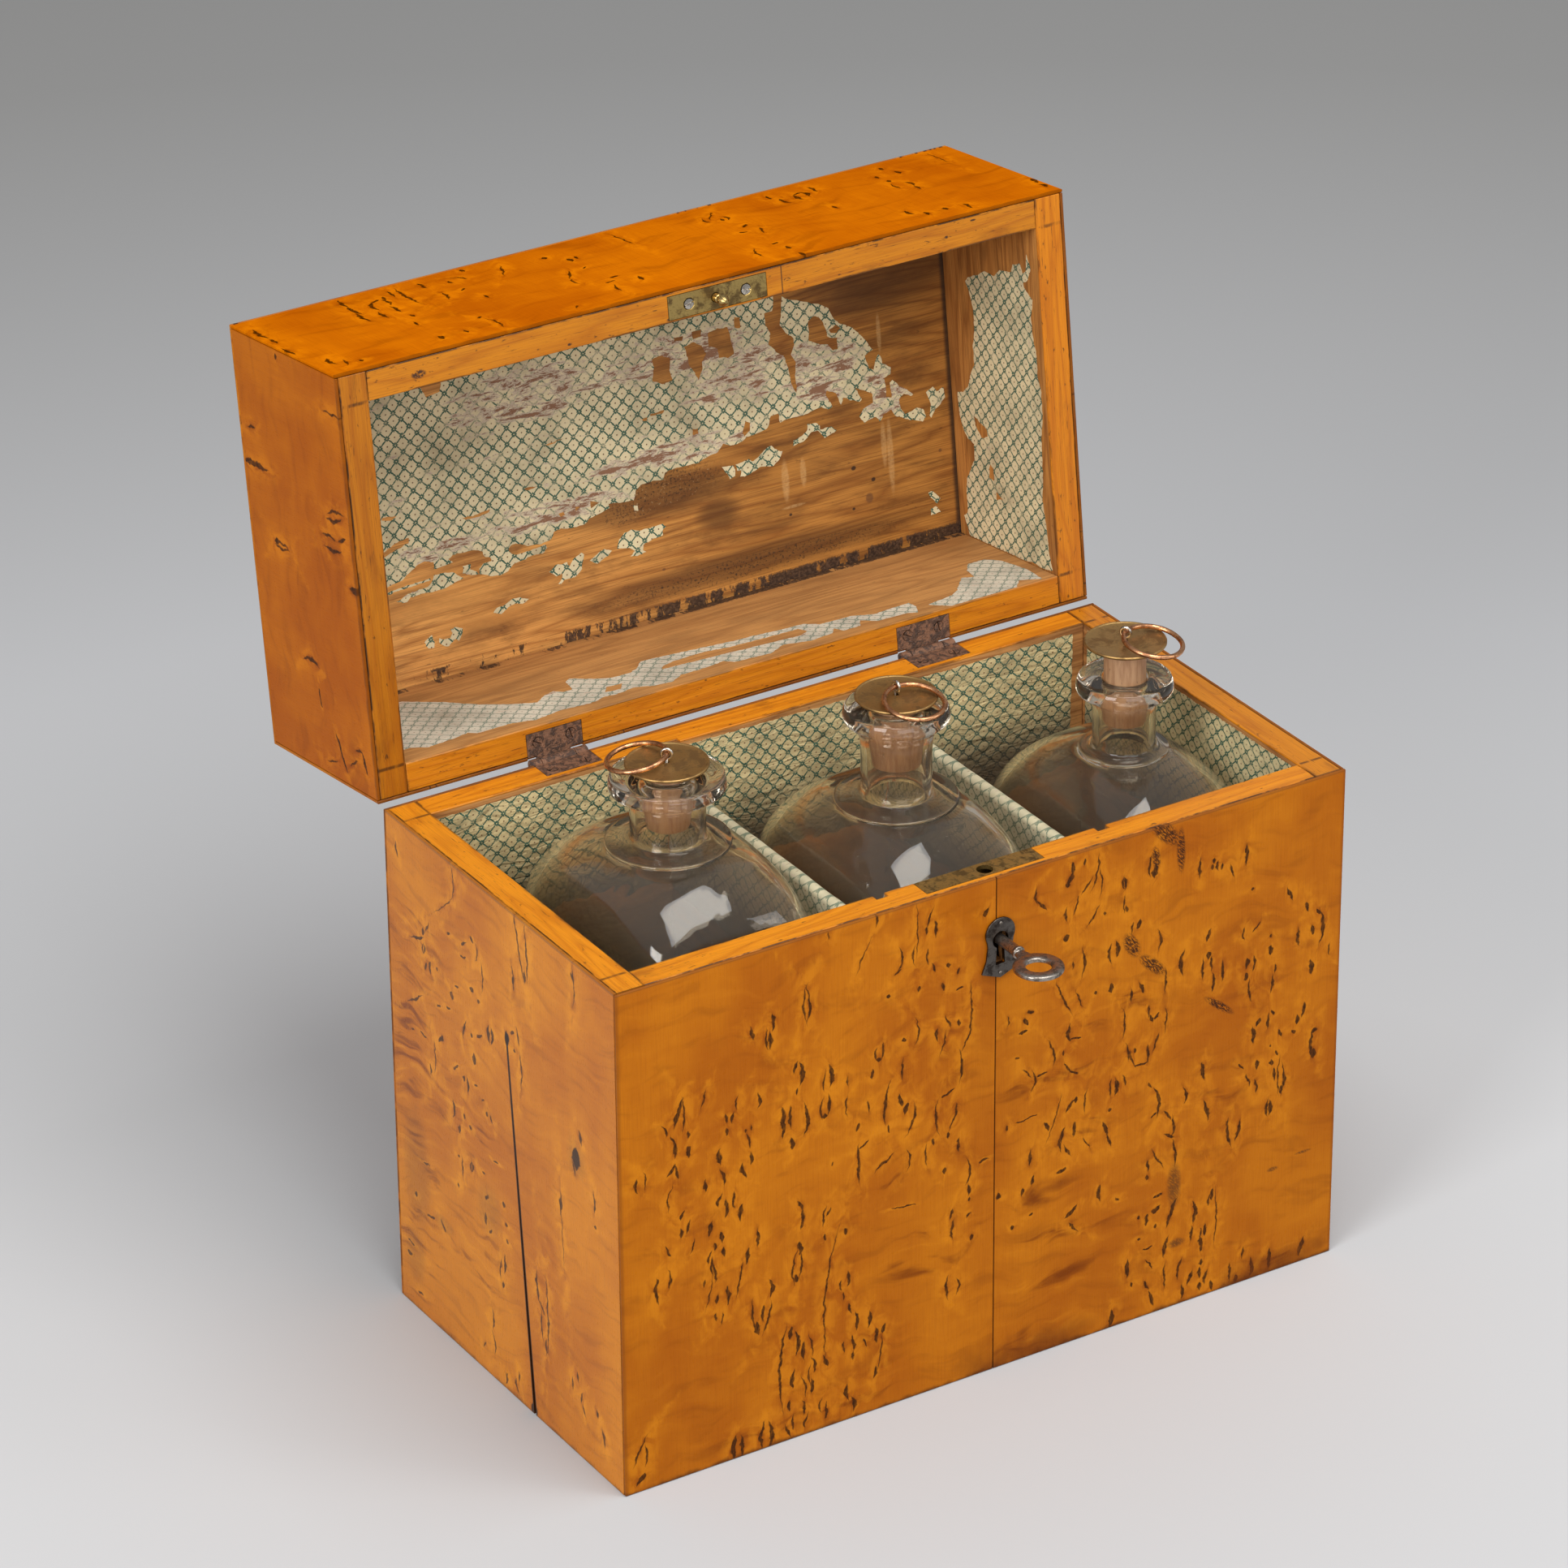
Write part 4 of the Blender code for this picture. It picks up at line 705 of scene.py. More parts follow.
# Mesh
def wrap(name, shape, look, body, smooth=True, sharp=35.0, location=(0, 0, 0), turn=unmoved):
    """An object from a bmesh, riding on a body."""
    bmesh.ops.recalc_face_normals(shape, faces=shape.faces)
    mesh = bpy.data.meshes.new(name)
    shape.to_mesh(mesh)
    shape.free()
    if smooth:
        mesh.shade_smooth()
        mesh.set_sharp_from_angle(angle=math.radians(sharp))
    made = bpy.data.objects.new(name, mesh)
    scene.collection.objects.link(made)
    if look:
        mesh.materials.append(look)
    made.matrix_world = Matrix.Translation(location) @ turn
    if body:
        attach(made, body)
    return made


def stand_in(piece, node):
    """Let a piece take a CAD node's place: the node is hidden."""
    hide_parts(node)


def turns(count):
    """Even angles round a circle."""
    return [full_turn * i / count for i in range(count)]


def lame(value, power):
    """A cosine or sine raised to a power, with its sign kept: it makes a circle squarer or leaner."""
    return math.copysign(abs(value) ** power, value)


def skin_rings(shape, rings, closed=False):
    """Skin a list of rings of points, ending on poles unless the rings close on themselves."""
    made = [[shape.verts.new(point) for point in ring] for ring in rings]
    pairs = list(zip(made, made[1:]))
    if closed:
        pairs.append((made[-1], made[0]))
    for first, second in pairs:
        if len(first) == 1 or len(second) == 1:
            pole, ring = (first[0], second) if len(first) == 1 else (second[0], first)
            for i in range(len(ring)):
                shape.faces.new((pole, ring[i], ring[(i + 1) % len(ring)]))
            continue
        for i in range(len(first)):
            j = (i + 1) % len(first)
            shape.faces.new((first[i], first[j], second[j], second[i]))


def level_ring(radius, height, sides):
    """A level ring of points, or its pole where the radius is zero."""
    if radius == 0:
        return [Vector((0, 0, height))]
    return [Vector((radius * math.cos(t), radius * math.sin(t), height)) for t in turns(sides)]


def turned(profile, sides, place=unmoved, closed=False):
    """A solid of revolution about Z from (radius, height) pairs."""
    shape = bmesh.new()
    skin_rings(shape, [level_ring(radius, height, sides) for radius, height in profile], closed)
    shape.transform(place)
    return shape


def wire_ring(radius, wire, sides, section_sides, place=unmoved, wander=0.0, seed=0.0):
    """A wire ring in the XY plane, a little uneven by hand."""
    shape = bmesh.new()
    rings = []
    for angle in turns(sides):
        turn = Matrix.Rotation(angle, 4, "Z")
        drift = Vector((math.cos(angle), math.sin(angle), seed)) * 1.3
        out = radius + wander * noise.noise(drift)
        lift = wander * noise.noise(drift + Vector((7, 0, 0)))
        rings.append([turn @ Vector((out + wire * math.cos(s), 0, lift + wire * math.sin(s)))
                      for s in turns(section_sides)])
    skin_rings(shape, rings, closed=True)
    shape.transform(place)
    return shape


def prism(outline, axis, low, high):
    """A prism: the outline's two coordinates are the ones left in X, Y, Z order."""
    shape = bmesh.new()
    index = "XYZ".index(axis)

    def ring(along):
        places = [list(pair) for pair in outline]
        for place in places:
            place.insert(index, along)
        return [shape.verts.new(place) for place in places]

    near = ring(low)
    far = ring(high)
    shape.faces.new(near)
    shape.faces.new(far)
    for i in range(len(outline)):
        j = (i + 1) % len(outline)
        shape.faces.new((near[i], near[j], far[j], far[i]))
    return shape


def settle(made):
    """Apply an object's modifiers."""
    graph = bpy.context.evaluated_depsgraph_get()
    mesh = bpy.data.meshes.new_from_object(made.evaluated_get(graph))
    made.modifiers.clear()
    made.data = mesh


def cut_with(target, shape, place=unmoved, operation="DIFFERENCE"):
    """Cut a bmesh from an object, or join it on."""
    tool = wrap("tool", shape, None, None, smooth=False, turn=place)
    step = target.modifiers.new("cut", "BOOLEAN")
    step.operation = operation
    step.object = tool
    step.solver = "EXACT"
    settle(target)
    bpy.data.objects.remove(tool, do_unlink=True)


def smooth_to(piece, sharp):
    """Smooth shading, with edges above an angle kept sharp."""
    piece.data.shade_smooth()
    piece.data.set_sharp_from_angle(angle=math.radians(sharp))


def dress(look, *names):
    """Give CAD nodes a material."""
    for name in names:
        data = nodes[name].data
        data.materials.clear()
        data.materials.append(look)


make_camera()

# Dark hooks of the masur birch, in millimetres on each face: across, up, half length, bend,
# half thickness, lean
hooks_front_left = (
    (-168.5, 194.5, 7, -0.6, 1.2, 0.34), (-166.2, 193, 8, 1, 0.5, 0), (-163.3, 173, 3.5, 0, 1.1, 0),
    (-163.7, 182, 2, 0, 0.6, 0), (-176, 187.5, 3, 1, 0.5, -0.4), (-171.5, 178, 6, 1, 0.8, -0.2),
    (-172.5, 166, 2.8, 0, 1.2, 0.8), (-169.7, 164, 4, 0, 0.8, -0.15), (-173.5, 151.5, 6, -1, 0.35, 0.2),
    (-190.8, 164, 3.5, -1, 0.8, 0), (-187, 165, 4, 1, 0.4, 0), (-167.2, 141, 2.5, -0.6, 0.9, 0.5),
    (-168, 131.7, 2.5, 0, 0.8, 0), (-164.3, 133.5, 3.5, 0, 0.7, 0.3), (-175, 124, 3, 0, 0.7, -0.4),
    (-162, 122.5, 3.5, 0.5, 0.5, 0.3), (-181, 105, 7, -0.5, 0.7, 0), (-175, 109, 5, 1, 0.4, 0),
    (-154.7, 152.5, 3.2, 0, 1.0, 0), (-155.4, 198, 4, 0, 0.35, 0.3), (-143.3, 184, 2.5, 0, 0.7, 0),
    (-143, 176.7, 2, 0, 0.7, 0), (-139.7, 183.5, 3, -0.5, 0.8, 0.2), (-137.3, 190.5, 3.5, -0.5, 0.4, 0.2),
    (-126.2, 188, 4, 0.8, 0.8, 0), (-147, 165, 4, -0.6, 0.9, 0), (-145.5, 154, 5, 0.6, 0.6, -0.2),
    (-133.3, 174, 1, 0, 0.6, 0), (-130, 175, 1.5, 0, 0.5, 0), (-131.7, 169, 4, 0.5, 0.4, -0.2),
    (-130.3, 159, 3.5, 0.4, 0.8, 0), (-134, 154, 4, -1, 1.0, -0.2), (-147, 142.5, 3.5, -0.5, 0.8, 0.3),
    (-144, 136.7, 4.5, 0.8, 1.0, 0), (-139.3, 139.7, 4, -0.5, 0.6, 0), (-135.8, 132.5, 4.5, -0.8, 1.1, 0.2),
    (-152.3, 129, 4, -0.4, 1.1, 0.3), (-150, 118.3, 2, 0, 0.6, 0), (-146.7, 122, 3, 0.3, 0.9, 0),
    (-145.7, 114, 2.5, 0, 1.0, 0), (-152.8, 113.7, 3, -0.5, 0.7, 0.3), (-150.7, 105, 5, 0.6, 0.6, -0.2),
    (-151.5, 108, 5, -0.6, 0.5, 0), (-156, 100.8, 1.8, 0, 0.6, 0), (-153, 95, 7, 0, 0.3, 0.25),
    (-132.8, 107.5, 4, 0, 0.9, 0.2), (-127.3, 115.5, 4.5, 0.5, 0.8, 0), (-137.5, 97, 8.5, 0.6, 0.45, 0.19),
    (-149.2, 90, 2.5, 0, 0.8, 0.2), (-143.8, 90, 5, 0.8, 1.1, 0), (-150, 81, 2, 0, 0.5, 0),
    (-147, 79, 2.5, 0.4, 0.4, 0.2), (-129.2, 224, 3.5, 0, 0.6, -0.3), (-118.3, 226.5, 4.5, 0.6, 0.9, 0),
    (-121, 218.5, 5, -0.5, 0.5, -0.1), (-119.6, 217.5, 4.5, 0.5, 0.9, 0), (-100, 230, 9.5, -1.7, 0.4, 0),
    (-100, 230, 9.5, 1.7, 0.45, 0), (-98.7, 226.5, 4.5, 0.5, 0.7, 0.2), (-106, 199, 3, -0.4, 0.7, 0.3),
    (-104, 195, 6.5, 1.6, 1.0, 0), (-105.3, 186, 1.5, 0, 0.7, 0), (-113.5, 172, 8.5, 0.7, 1.2, 0),
    (-108.8, 174, 5.5, -0.7, 0.8, 0), (-108.3, 160, 3, 0, 1.2, 0), (-101.5, 170, 8.5, 1.9, 0.8, 0),
    (-87.7, 189, 6, 1.2, 1.1, 0), (-90.5, 187, 5, -0.6, 0.4, 0.1), (-91.7, 173, 5.5, -0.9, 0.6, 0),
    (-88.8, 174, 5.5, 1.0, 0.7, 0.1), (-90.8, 168.8, 1.4, 0, 1.0, 0), (-104.3, 125.5, 3, 0.3, 0.7, -0.3),
    (-103.6, 118, 5.5, 0.9, 0.8, 0), (-104.5, 102.5, 3.5, 0.3, 1.2, 0), (-107, 93, 8, -1.4, 0.5, 0.1),
    (-104.6, 93.5, 7, 1.0, 0.5, 0.1), (-106.8, 87, 2, 0, 0.9, 0), (-91, 115, 4.5, -0.7, 0.5, 0.1),
    (-89, 117, 2, 0.4, 0.5, 0.4), (-90.7, 104, 2, 0, 0.7, 0), (-120.6, 86, 5, 0.9, 0.9, 0),
    (-129.2, 74, 8.5, -1.2, 0.45, -0.1), (-127.8, 67, 3.8, 0, 1.2, -0.1), (-124.7, 74, 4.5, -0.4, 0.9, 0.1),
    (-122.3, 71, 7.5, 0.8, 0.5, 0.3), (-109.8, 58, 3.5, 0, 1.1, 0), (-113.6, 40, 22, -2.4, 0.6, 0.05),
    (-107.2, 52, 6.5, 1.5, 0.9, 0), (-111, 18.8, 3, 0, 0.8, 0), (-102.3, 46.5, 5, -1, 0.8, 0),
    (-98.8, 48, 6, 0.8, 0.4, -0.2), (-97.5, 36.7, 4, 0.6, 0.7, -0.2), (-108.7, 32.5, 5, -0.7, 1.0, 0.1),
    (-103.3, 27, 6, 1, 0.35, -0.2), (-98.5, 25.8, 4, 0.4, 0.9, 0), (-99.6, 32, 5, -0.6, 0.4, 0),
    (-91, 36.7, 3.5, 0.4, 1.0, -0.3), (-78.3, 77.5, 4, 0.4, 1.0, 0), (-82, 75, 2.5, -0.4, 0.6, 0),
    (-80.8, 68.5, 2, 0, 0.5, 0), (-80, 103.3, 1.4, 0, 0.8, 0), (-87.6, 72, 32, -3.2, 0.4, 0.1),
    (-77, 61, 3, -0.8, 0.8, -0.3), (-73.8, 52.5, 5, 0.6, 0.8, 0), (-66.7, 51.7, 4.5, 0.6, 0.9, 0.1),
    (-75.8, 41, 4, 0.5, 0.9, -0.1), (-69.2, 39, 2.5, 0, 0.6, -0.3), (-62.8, 41, 4, 0.4, 0.9, 0),
    (-58.7, 43.5, 2.5, 0, 0.9, 0.2), (-75.8, 34, 2.5, 0, 0.7, 0), (-80.4, 41, 3, -0.5, 0.5, 0),
    (-140.7, 6.5, 6.5, -0.9, 1.0, 0.1), (-137.5, 6, 6, 1, 0.9, 0), (-125.5, 8, 7, -0.9, 0.9, 0.1),
    (-122, 7, 7, 1.3, 1.0, 0), (-112, 5, 4, 0.5, 0.6, -0.4), (-109, 9, 4, -0.6, 0.6, 0),
    (-103.3, 15, 3.5, 0.6, 0.6, 0), (-101.7, 7.5, 4, -0.5, 0.6, 0.2), (-93.3, 13, 3.5, -0.8, 0.5, 0),
    (-91, 9, 4.5, 0.7, 0.7, 0), (-78.7, 15, 4.5, -1.2, 0.8, 0), (-76, 8, 4.5, 1.2, 1.0, -0.1),
    (-63.5, 21, 3.5, 0.3, 0.9, 0.2), (-60.8, 31, 8, 0.5, 0.3, 0.1), (-191.5, 22, 7, -0.8, 0.5, 0.5),
    (-188.7, 19, 5, 0.4, 0.6, 0), (-191.7, 6.7, 3, 0, 1.8, 0.8), (-62.6, 262, 3, 0.3, 0.5, 0),
    (-69, 246, 7, -0.8, 0.3, 0.5), (-50, 238, 6, 1.8, 0.6, 0.1), (-50.5, 231.8, 1.4, 0, 0.9, 1.2),
    (-55.3, 221, 1.1, 0, 0.9, 0), (-40.5, 250, 12, 0.5, 0.3, 0), (-33.3, 255, 5, -0.5, 0.5, 0.3),
    (-35.3, 248.7, 2, 0, 0.6, 0), (-30.6, 248.5, 4, 0.8, 0.7, -0.1), (-34.2, 235, 4, -0.6, 0.8, 0),
    (-41.7, 237.5, 4.5, -1, 0.4, 0), (-31.2, 228.5, 2.8, 0, 0.8, -0.3), (-23.3, 227.5, 1.4, 0, 0.9, 0),
    (-17.5, 222.5, 2, 0, 0.7, 0.3), (-39.5, 219.7, 1.5, 0, 0.7, 0), (-25.8, 216.7, 2.4, 0, 0.9, 0),
    (-17, 213.3, 0.9, 0, 1.6, 1.5), (-2.5, 249, 2.6, -0.5, 1.0, 0.4), (-47.5, 195.3, 1.1, 0, 0.8, 0),
    (-40.8, 198, 6.5, 1.4, 0.4, 0), (-62.3, 192.5, 3.2, -0.5, 0.5, 0), (-59.3, 193.5, 4.2, 0.5, 0.6, 0),
    (-60.8, 189.4, 1.3, 0, 1.1, 0), (-64.7, 182.5, 2.2, 0, 0.9, 0), (-77.8, 183, 2.2, 0, 0.4, 0),
    (-48, 180, 5.5, -0.6, 0.5, 0), (-29.2, 192.5, 3.8, -0.9, 0.7, 0), (-23.3, 197.5, 3.5, 0, 0.5, -0.4),
    (-17.5, 195.3, 1.6, 0, 0.7, 0), (-25.8, 186.7, 5.5, 0.4, 0.4, 0.3), (-11, 201, 12, 0.6, 0.35, 0),
    (-13, 187.5, 8, 1, 0.5, 0.35), (-17, 172, 8.5, 1.5, 0.5, 0), (-23, 159.3, 1.6, 0, 1.4, 2.2),
    (-78.3, 170, 4.5, -1, 0.4, 0), (-66.7, 166, 3, 0, 0.5, 0), (-72.8, 157.5, 2.2, 0, 0.9, 0.4),
    (-56.3, 165, 10.5, -1.4, 0.7, 0.15), (-55.8, 151, 2.4, 0, 0.7, -0.2), (-49.2, 164, 3.8, -0.3, 1.1, -0.2),
    (-46.3, 158.5, 3, 0, 1.0, 0.3), (-43.8, 152, 7.5, 2, 0.7, 0.3), (-71.9, 137, 10.5, -0.5, 0.7, 0),
    (-69, 146.8, 1.8, 0, 1.2, 1.5), (-58, 133.3, 3.6, -0.6, 0.9, 1.5), (-45.5, 131, 5.5, 1.2, 0.5, 0),
    (-31.2, 136, 2, 0, 0.7, 0), (-34.7, 130, 5.5, -0.8, 0.4, 0), (-28.5, 148, 8.5, -1.6, 0.5, 0),
    (-20.5, 146, 6.5, 1.4, 0.6, 0.3), (-23.3, 136.8, 1.7, 0, 0.9, 0), (-17, 129.5, 3.5, -0.4, 0.8, 0),
    (-24.7, 118.3, 1.7, 0, 0.8, 0), (-12.5, 114, 6.5, 1.6, 0.6, 0), (-11.5, 104, 3, 0.5, 0.8, 0),
    (-11, 98.7, 1.2, 0, 0.7, 0), (-11.7, 90, 1.4, 0, 0.7, 0.8), (-21, 93.5, 2.8, 0, 0.8, 0.2),
    (-20.3, 85, 5, -0.9, 0.6, 0.1), (-9.5, 77.5, 1.7, 0, 0.9, 0.3), (-3.3, 117, 1.1, 0, 2.2, 1.5),
    (-47.5, 106.4, 1.2, 0, 3.0, -5.5), (-22.7, 54, 6, -1.1, 0.6, 0), (-18, 53, 4, 1.3, 0.4, 0),
    (-88, 262, 2, 0, 0.4, 0), (-86.5, 142, 1, 0, 0.5, 0),
)
hooks_front_right = (
    (45, 257.5, 3.2, 0.5, 1.0, 0), (43.7, 252.5, 3.2, 0, 1.1, 0.4), (52, 258.7, 1.6, 0, 0.8, 0),
    (42.5, 249.5, 1.6, 0, 1.2, 0), (25.2, 249, 4, -1, 0.5, 0), (28, 243.3, 3.2, -0.4, 0.8, -0.9),
    (58, 252, 8.5, 1.1, 0.5, 0.2), (53.3, 246, 3.6, 0, 0.6, 0.8), (60.5, 246, 6.5, 0.9, 0.35, 0),
    (74, 241.5, 3.6, -1.1, 0.5, 0), (74, 241, 3.6, 1.1, 0.9, 0), (47, 237.5, 4.2, 0.6, 0.5, 0.3),
    (42.3, 234, 3.8, -1.4, 0.6, 0), (57, 229, 4.5, 0.5, 0.5, 0.8), (63.7, 228.5, 1.2, 0, 0.6, 0),
    (42, 222, 1.7, 0, 1.3, 0), (74.5, 230, 4.2, -0.5, 0.5, 0), (75.8, 227, 1.6, 0, 0.7, 0),
    (89, 246, 5.5, -1, 0.6, 0), (91.5, 242.5, 4, 0, 1.2, 0), (116.8, 236.5, 5.5, 0.4, 0.8, 0),
    (143.7, 236, 5.5, -0.3, 0.8, 0), (135.5, 230, 3.8, 0, 0.5, -0.3), (125, 238, 1.6, 0, 0.7, 0),
    (127.5, 235, 2.8, -1, 0.5, 0), (129.3, 233.5, 2, 0, 0.7, 0), (124.3, 235, 1.1, 0, 0.6, 0),
    (147.3, 216, 1.1, 0, 0.9, 0), (169.7, 207.5, 3.8, 0, 0.9, -0.4), (82.8, 217, 2.6, 0, 1.1, 0.3),
    (79.3, 216, 3, 0, 0.4, 0), (67.3, 205.5, 5.5, -0.9, 0.7, 0), (70.5, 207.5, 4.2, 0.8, 1.0, 0),
    (51, 206, 7.5, 1.4, 0.5, 0), (46, 206, 2.2, 0, 0.5, 0), (94, 205, 5.5, 1.6, 0.6, 0),
    (41, 190.5, 9, -0.6, 0.5, -0.45), (50, 187, 4.5, 0, 0.4, -0.4), (22.5, 188.5, 1.2, 0, 1.4, -1.2),
    (20, 184, 1.9, 0, 1.1, -0.5), (18.3, 178.7, 0.9, 0, 1.8, 1.8), (10, 187, 2.4, 0.8, 0.35, 0),
    (67.7, 187.5, 2.6, 0, 1.1, 0), (59, 188, 1.1, 0, 0.6, 0), (85, 182.5, 3.2, 0.5, 0.9, -0.4),
    (79.5, 180, 3.2, 0, 0.5, 0), (98.5, 182, 6, 0.4, 0.4, 0), (108.7, 188.5, 7, -1.3, 1.1, 0),
    (123, 199, 3.2, 0, 0.9, 0.3), (123, 188, 2.2, 0.5, 1.0, 0), (120.3, 181.5, 5.5, -0.6, 0.6, 0),
    (125, 183, 3.8, 0, 0.6, 0), (125.8, 173, 5.5, 0.6, 0.9, 0), (131.3, 177.5, 5.5, 0.3, 0.9, 0),
    (143.5, 193.5, 3.2, -0.6, 0.5, 0), (150.5, 195.3, 2.2, 0, 0.7, 1.0), (145.3, 177, 2.8, 0, 1.0, 0),
    (149.5, 176, 4, 0.3, 0.7, 0), (145, 170, 1.9, 0, 1.0, 0), (148, 162, 6, -0.8, 0.6, -0.1),
    (159.2, 188, 1.1, 0, 0.6, 0), (159, 180, 2.8, 0, 0.8, 0), (162, 169, 2.2, 0, 0.4, 0),
    (160.5, 161.5, 4.5, 0.4, 0.8, 0.1), (180, 197.5, 2.4, 0, 1.0, -0.4), (175.3, 182.5, 4.5, -0.7, 0.8, -0.1),
    (183.8, 184, 2.8, 0, 1.1, 0), (187.5, 184, 10, 1.9, 0.7, 0), (186.5, 193, 1.5, 0, 1.1, -0.5),
    (183.3, 164, 3.8, 0, 1.2, -0.1), (194, 170, 3.2, -0.7, 0.5, 0), (89.2, 168, 3.2, 0, 0.6, 0),
    (91, 164, 2.2, 0, 1.1, -0.4), (94, 164, 1.4, 0, 0.9, 0.6), (99, 161, 6, 0.4, 0.35, 0),
    (74.5, 166, 7.5, 1.2, 0.45, 0), (34.3, 163, 6.5, 1.4, 0.5, -0.2), (44.8, 170.5, 4.8, -1.3, 1.0, 0),
    (48.2, 166.3, 1.0, 0, 2.0, -2.6), (41, 160.8, 1.3, 0, 0.5, 0), (44, 152, 3.4, -0.4, 0.6, -0.6),
    (47.3, 148.5, 1.3, 0, 1.5, -1.5), (23.5, 151, 5.5, 1.7, 0.5, 0), (20.8, 156, 2.8, 0, 0.5, -0.8),
    (28.7, 153, 0.7, 0, 2.2, 3.0), (15.3, 165.8, 0.9, 0, 0.9, 0), (80.5, 145, 4.5, -0.7, 0.5, -0.4),
    (85, 140.8, 0.9, 0, 3.0, -2.5), (89, 145, 5, 0.6, 0.7, 0), (77.5, 150, 4.5, 0.3, 0.4, -0.2),
    (81.8, 149.5, 1.3, 0, 0.9, 0), (93.7, 150, 4.5, 0, 0.5, 0.3), (68.6, 133, 4.5, -0.5, 0.5, 0.1),
    (71, 133, 4.5, 0.9, 1.1, 0), (76, 135, 2.8, 0, 0.5, -0.3), (46, 131.5, 3.4, -0.4, 0.9, 0.9),
    (48.8, 133.5, 1.8, 0, 0.8, 0), (20.5, 131.5, 0.9, 0, 3.4, 6.0), (9.5, 130, 1.7, 0, 0.7, 0),
    (32, 124, 2.8, 0, 1.0, -0.4), (36.5, 127, 10, 0.5, 0.35, 0.35), (54, 131, 5.5, -0.3, 0.4, 0.1),
    (41.3, 116, 4, -0.6, 0.7, 0.3), (48, 117.5, 3.8, 0, 1.0, 0), (40, 112, 4.5, -1.0, 0.5, 0),
    (44, 107, 3.4, 0, 0.5, -0.6), (55, 108, 3.4, 0, 0.4, -0.5), (23.3, 110, 4.5, -0.4, 0.8, 0.1),
    (65.3, 112, 3.8, 0.4, 1.0, -0.3), (67.7, 105, 3.8, 0, 0.7, -0.3), (68, 122, 0.9, 0, 0.8, 0),
    (94.2, 117, 8.5, 2.1, 0.8, -0.1), (91, 127.5, 1.7, 0, 0.6, -0.5), (93.2, 110.5, 1.0, 0, 1.2, 1.2),
    (110.8, 116, 4.5, 1.3, 0.8, 0), (121.8, 126, 5, -0.6, 0.9, -0.1), (123.8, 103.5, 6, 0.4, 1.2, -0.2),
    (101.5, 108, 2.8, 0, 0.8, -0.8), (104.5, 101, 5.5, 0.6, 0.5, 0), (153, 119.3, 3, 0, 1.1, 0),
    (147.8, 112.5, 3.4, 0, 0.6, -0.3), (143.7, 121.3, 2.2, 0, 0.6, -0.5), (152.5, 107.5, 3.8, 0.4, 0.6, -0.1),
    (161.5, 118, 1.7, 0, 0.9, 0), (163, 111, 3.8, 0.3, 0.9, 0), (160.8, 127.5, 1.1, 0, 0.7, 0),
    (164.7, 122.5, 1.4, 0, 0.7, -0.6), (166.2, 109, 9.5, -0.6, 0.4, 0), (168, 107, 8.5, 1.1, 0.6, 0),
    (167.8, 101.5, 2.2, 0, 0.9, 0), (185.6, 121, 7.5, -1.1, 0.9, 0), (186.5, 115.5, 2.8, 0, 1.2, 0),
    (186, 128, 1.4, 0, 1.0, 0.4), (158.8, 141.5, 4.5, 0, 0.9, 0), (153, 143, 2.2, 0, 1.0, 0.3),
    (150.3, 136.5, 4.5, 0.3, 1.1, 0), (161.5, 145.5, 1.4, 0, 0.7, -0.8), (175.8, 137.3, 2.2, 0, 0.9, 0),
    (179, 141.3, 3.8, 0.6, 0.7, 0.2), (166, 133, 2.2, 0, 0.8, -0.5), (174, 131, 1.2, 0, 0.7, -0.8),
    (160, 93.5, 5, -0.8, 0.6, 0), (160.9, 93, 4.5, 0.8, 1.0, 0), (142.7, 86.5, 5.5, 0.5, 1.0, 0.3),
    (137.8, 87, 7.5, -1.2, 0.6, -0.1), (24.3, 97, 2.8, 0, 0.9, 0.3), (18.5, 92.5, 2.2, 0, 0.8, 0),
    (5.2, 94.7, 1.7, 0, 1.3, 0), (41, 97, 1.3, 0, 1.8, 1.5), (13, 75, 1.2, 0, 1.1, 0),
    (24, 78.5, 0.9, 0, 1.0, 0.8), (63.2, 77.5, 4.5, -1.1, 0.9, 0), (73.3, 71.3, 1.2, 0, 0.7, -0.8),
    (46.7, 72.5, 3, 0, 1.5, 1.2), (48.5, 63.5, 3.4, -0.4, 0.6, -0.9), (102.5, 96.5, 1.8, 0, 1.2, -1.6),
    (105.5, 86, 7.5, 1.0, 0.7, -0.1), (96, 86, 5.5, 0, 0.5, -0.6), (90.8, 83.5, 3.4, 0, 0.7, 0),
    (90, 77, 1.4, 0, 0.9, 0), (95.8, 57.5, 2, 0, 1.6, 0.9), (96.5, 65, 1.2, 0, 1.6, 1.6),
    (105, 53, 7.5, -0.5, 0.9, 0.4), (90.5, 53.5, 2.8, 0, 0.9, 0), (86, 56.5, 1.1, 0, 0.7, 0),
    (95.8, 48.5, 1.1, 0, 0.7, 0), (86, 44, 0.9, 0, 0.7, 0), (117.3, 49, 6, 1.7, 1.1, 0),
    (128.3, 55.8, 3.2, 0, 1.1, 0), (130.4, 42, 14, 1.0, 0.35, 0), (126.7, 53, 3.2, -0.4, 0.5, 0.2),
    (91.7, 37.5, 0.9, 0, 1.8, 2.0), (79.7, 30, 5, 0, 1.1, 0), (92.5, 28.5, 2.8, 0, 0.6, -0.8),
    (102, 35, 5.5, -0.5, 0.9, 0.2), (116.7, 37.5, 3.8, 0.4, 0.7, 0), (125, 36.7, 3.2, 0, 0.9, 0),
    (122.3, 30, 4.4, 0, 1.0, -0.1), (122.6, 36, 2.2, 0, 0.5, 0), (101.7, 19, 6.5, -0.6, 0.5, 0),
    (110.6, 20, 5.5, -1.3, 0.6, 0.2), (122.5, 19, 2.2, 0, 0.8, 0), (122, 13.5, 2.8, 0, 1.1, 0),
